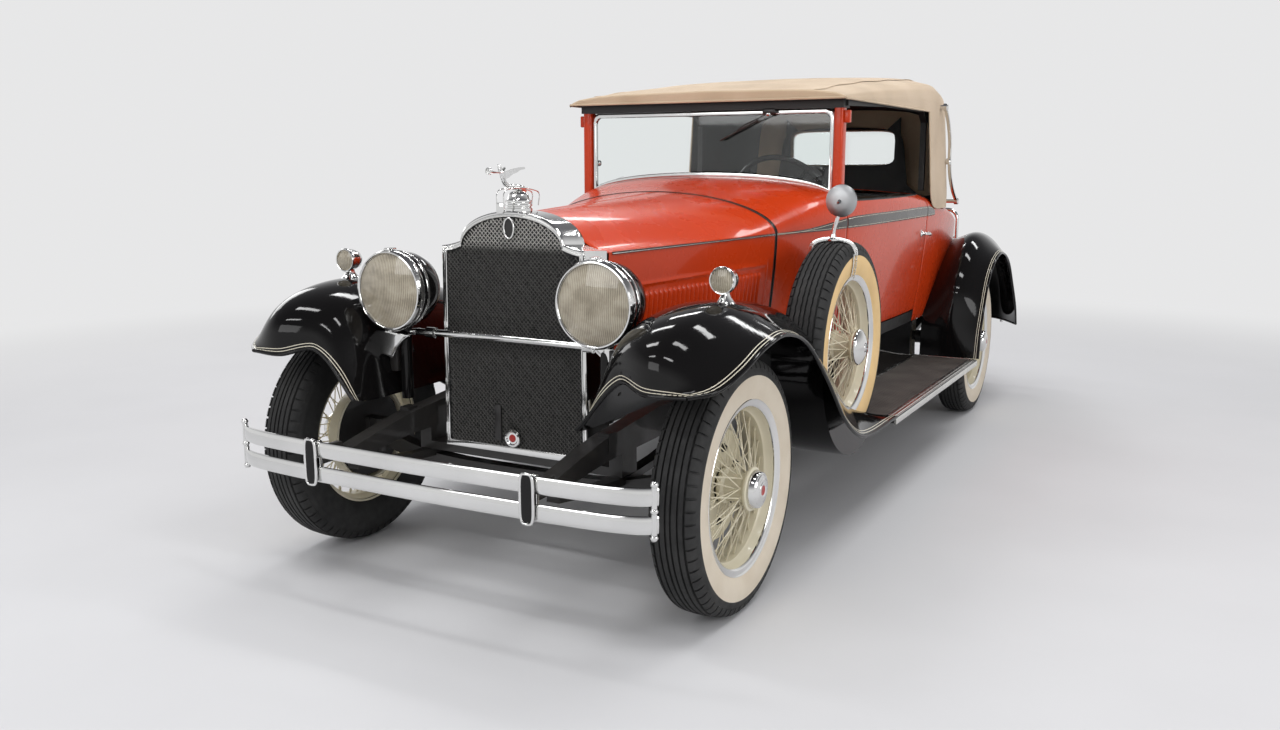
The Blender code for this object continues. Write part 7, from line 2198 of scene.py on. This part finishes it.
def seen_directly(tree):
    """One where the camera, a mirror or a pane looks, zero for the light itself."""
    path = tree.nodes.new("ShaderNodeLightPath")
    total = path.outputs["Is Camera Ray"]
    for key in ("Is Glossy Ray", "Is Transmission Ray"):
        either = math_node(tree, "ADD", total, path.outputs[key])
        either.use_clamp = True
        total = either.outputs[0]
    return total


def set_stage():
    floor = make("studio_floor", [(-60, -60, 0), (60, -60, 0), (60, 60, 0), (-60, 60, 0)],
                 [(0, 1, 2, 3)],
                 stage_material("floor_pale", (0.60, 0.60, 0.61), *FLOOR_FADE))
    world = bpy.data.worlds.new("studio")
    bpy.context.scene.world = world
    world.use_nodes = True
    tree = world.node_tree
    background = tree.nodes["Background"]
    background.inputs["Color"].default_value = (0.80, 0.80, 0.82, 1)
    background.inputs["Strength"].default_value = 0.75
    direction = tree.nodes.new("ShaderNodeTexCoord")
    height = tree.nodes.new("ShaderNodeSeparateXYZ")
    tree.links.new(direction.outputs["Generated"], height.inputs["Vector"])
    plain = tree.nodes.new("ShaderNodeBackground")
    tree.links.new(ramp(tree, height.outputs["Z"],
                        [(0.14, BACKGROUND), (0.55, (0.20, 0.20, 0.21)), (0.95, (0.11, 0.11, 0.12))]),
                   plain.inputs["Color"])
    plain.inputs["Strength"].default_value = 1.0
    mix = tree.nodes.new("ShaderNodeMixShader")
    tree.links.new(seen_directly(tree), mix.inputs["Fac"])
    tree.links.new(background.outputs[0], mix.inputs[1])
    tree.links.new(plain.outputs[0], mix.inputs[2])
    tree.links.new(mix.outputs[0], tree.nodes["World Output"].inputs["Surface"])


def area_light(name, place, target, size, power, size_y=None):
    data = bpy.data.lights.new(name, "AREA")
    data.shape = "RECTANGLE"
    data.size = size
    data.size_y = size_y or size
    data.energy = power
    lamp = bpy.data.objects.new(name, data)
    lamp.location = place
    lamp.rotation_mode = "QUATERNION"
    lamp.rotation_quaternion = (Vector(target) - Vector(place)).to_track_quat("-Z", "Y")
    bpy.context.scene.collection.objects.link(lamp)


def set_lights():
    for i, y in enumerate((-4.6, -2.4, -0.2, 2.0, 4.2)):
        for j, x in enumerate((-1.5, 1.7)):
            area_light("ceiling_%d_%d" % (i, j), (x, y, 4.0), (x, y, 0), 1.5, 25, 0.34)
    area_light("side_fill", (6.0, -2.5, 2.6), (0, 0, 0.8), 3.2, 85, 2.0)
    area_light("front_fill", (-1.5, -7.0, 2.8), (0, -1.0, 0.7), 3.2, 55, 2.0)
    area_light("far_side", (-6.0, 0.5, 3.0), (0, 0, 0.8), 3.0, 60, 2.0)


def set_camera():
    data = bpy.data.cameras.new("camera")
    data.lens = CAMERA_LENS_MM
    data.sensor_width = CAMERA_SENSOR_MM
    camera = bpy.data.objects.new("camera", data)
    camera.location = CAMERA_PLACE
    camera.rotation_euler = (CAMERA_PITCH, 0, CAMERA_TURN)
    bpy.context.scene.collection.objects.link(camera)
    bpy.context.scene.camera = camera


set_camera()
set_stage()
set_lights()
dress_nodes()
build_all()
bpy.context.scene.view_settings.view_transform = "Standard"
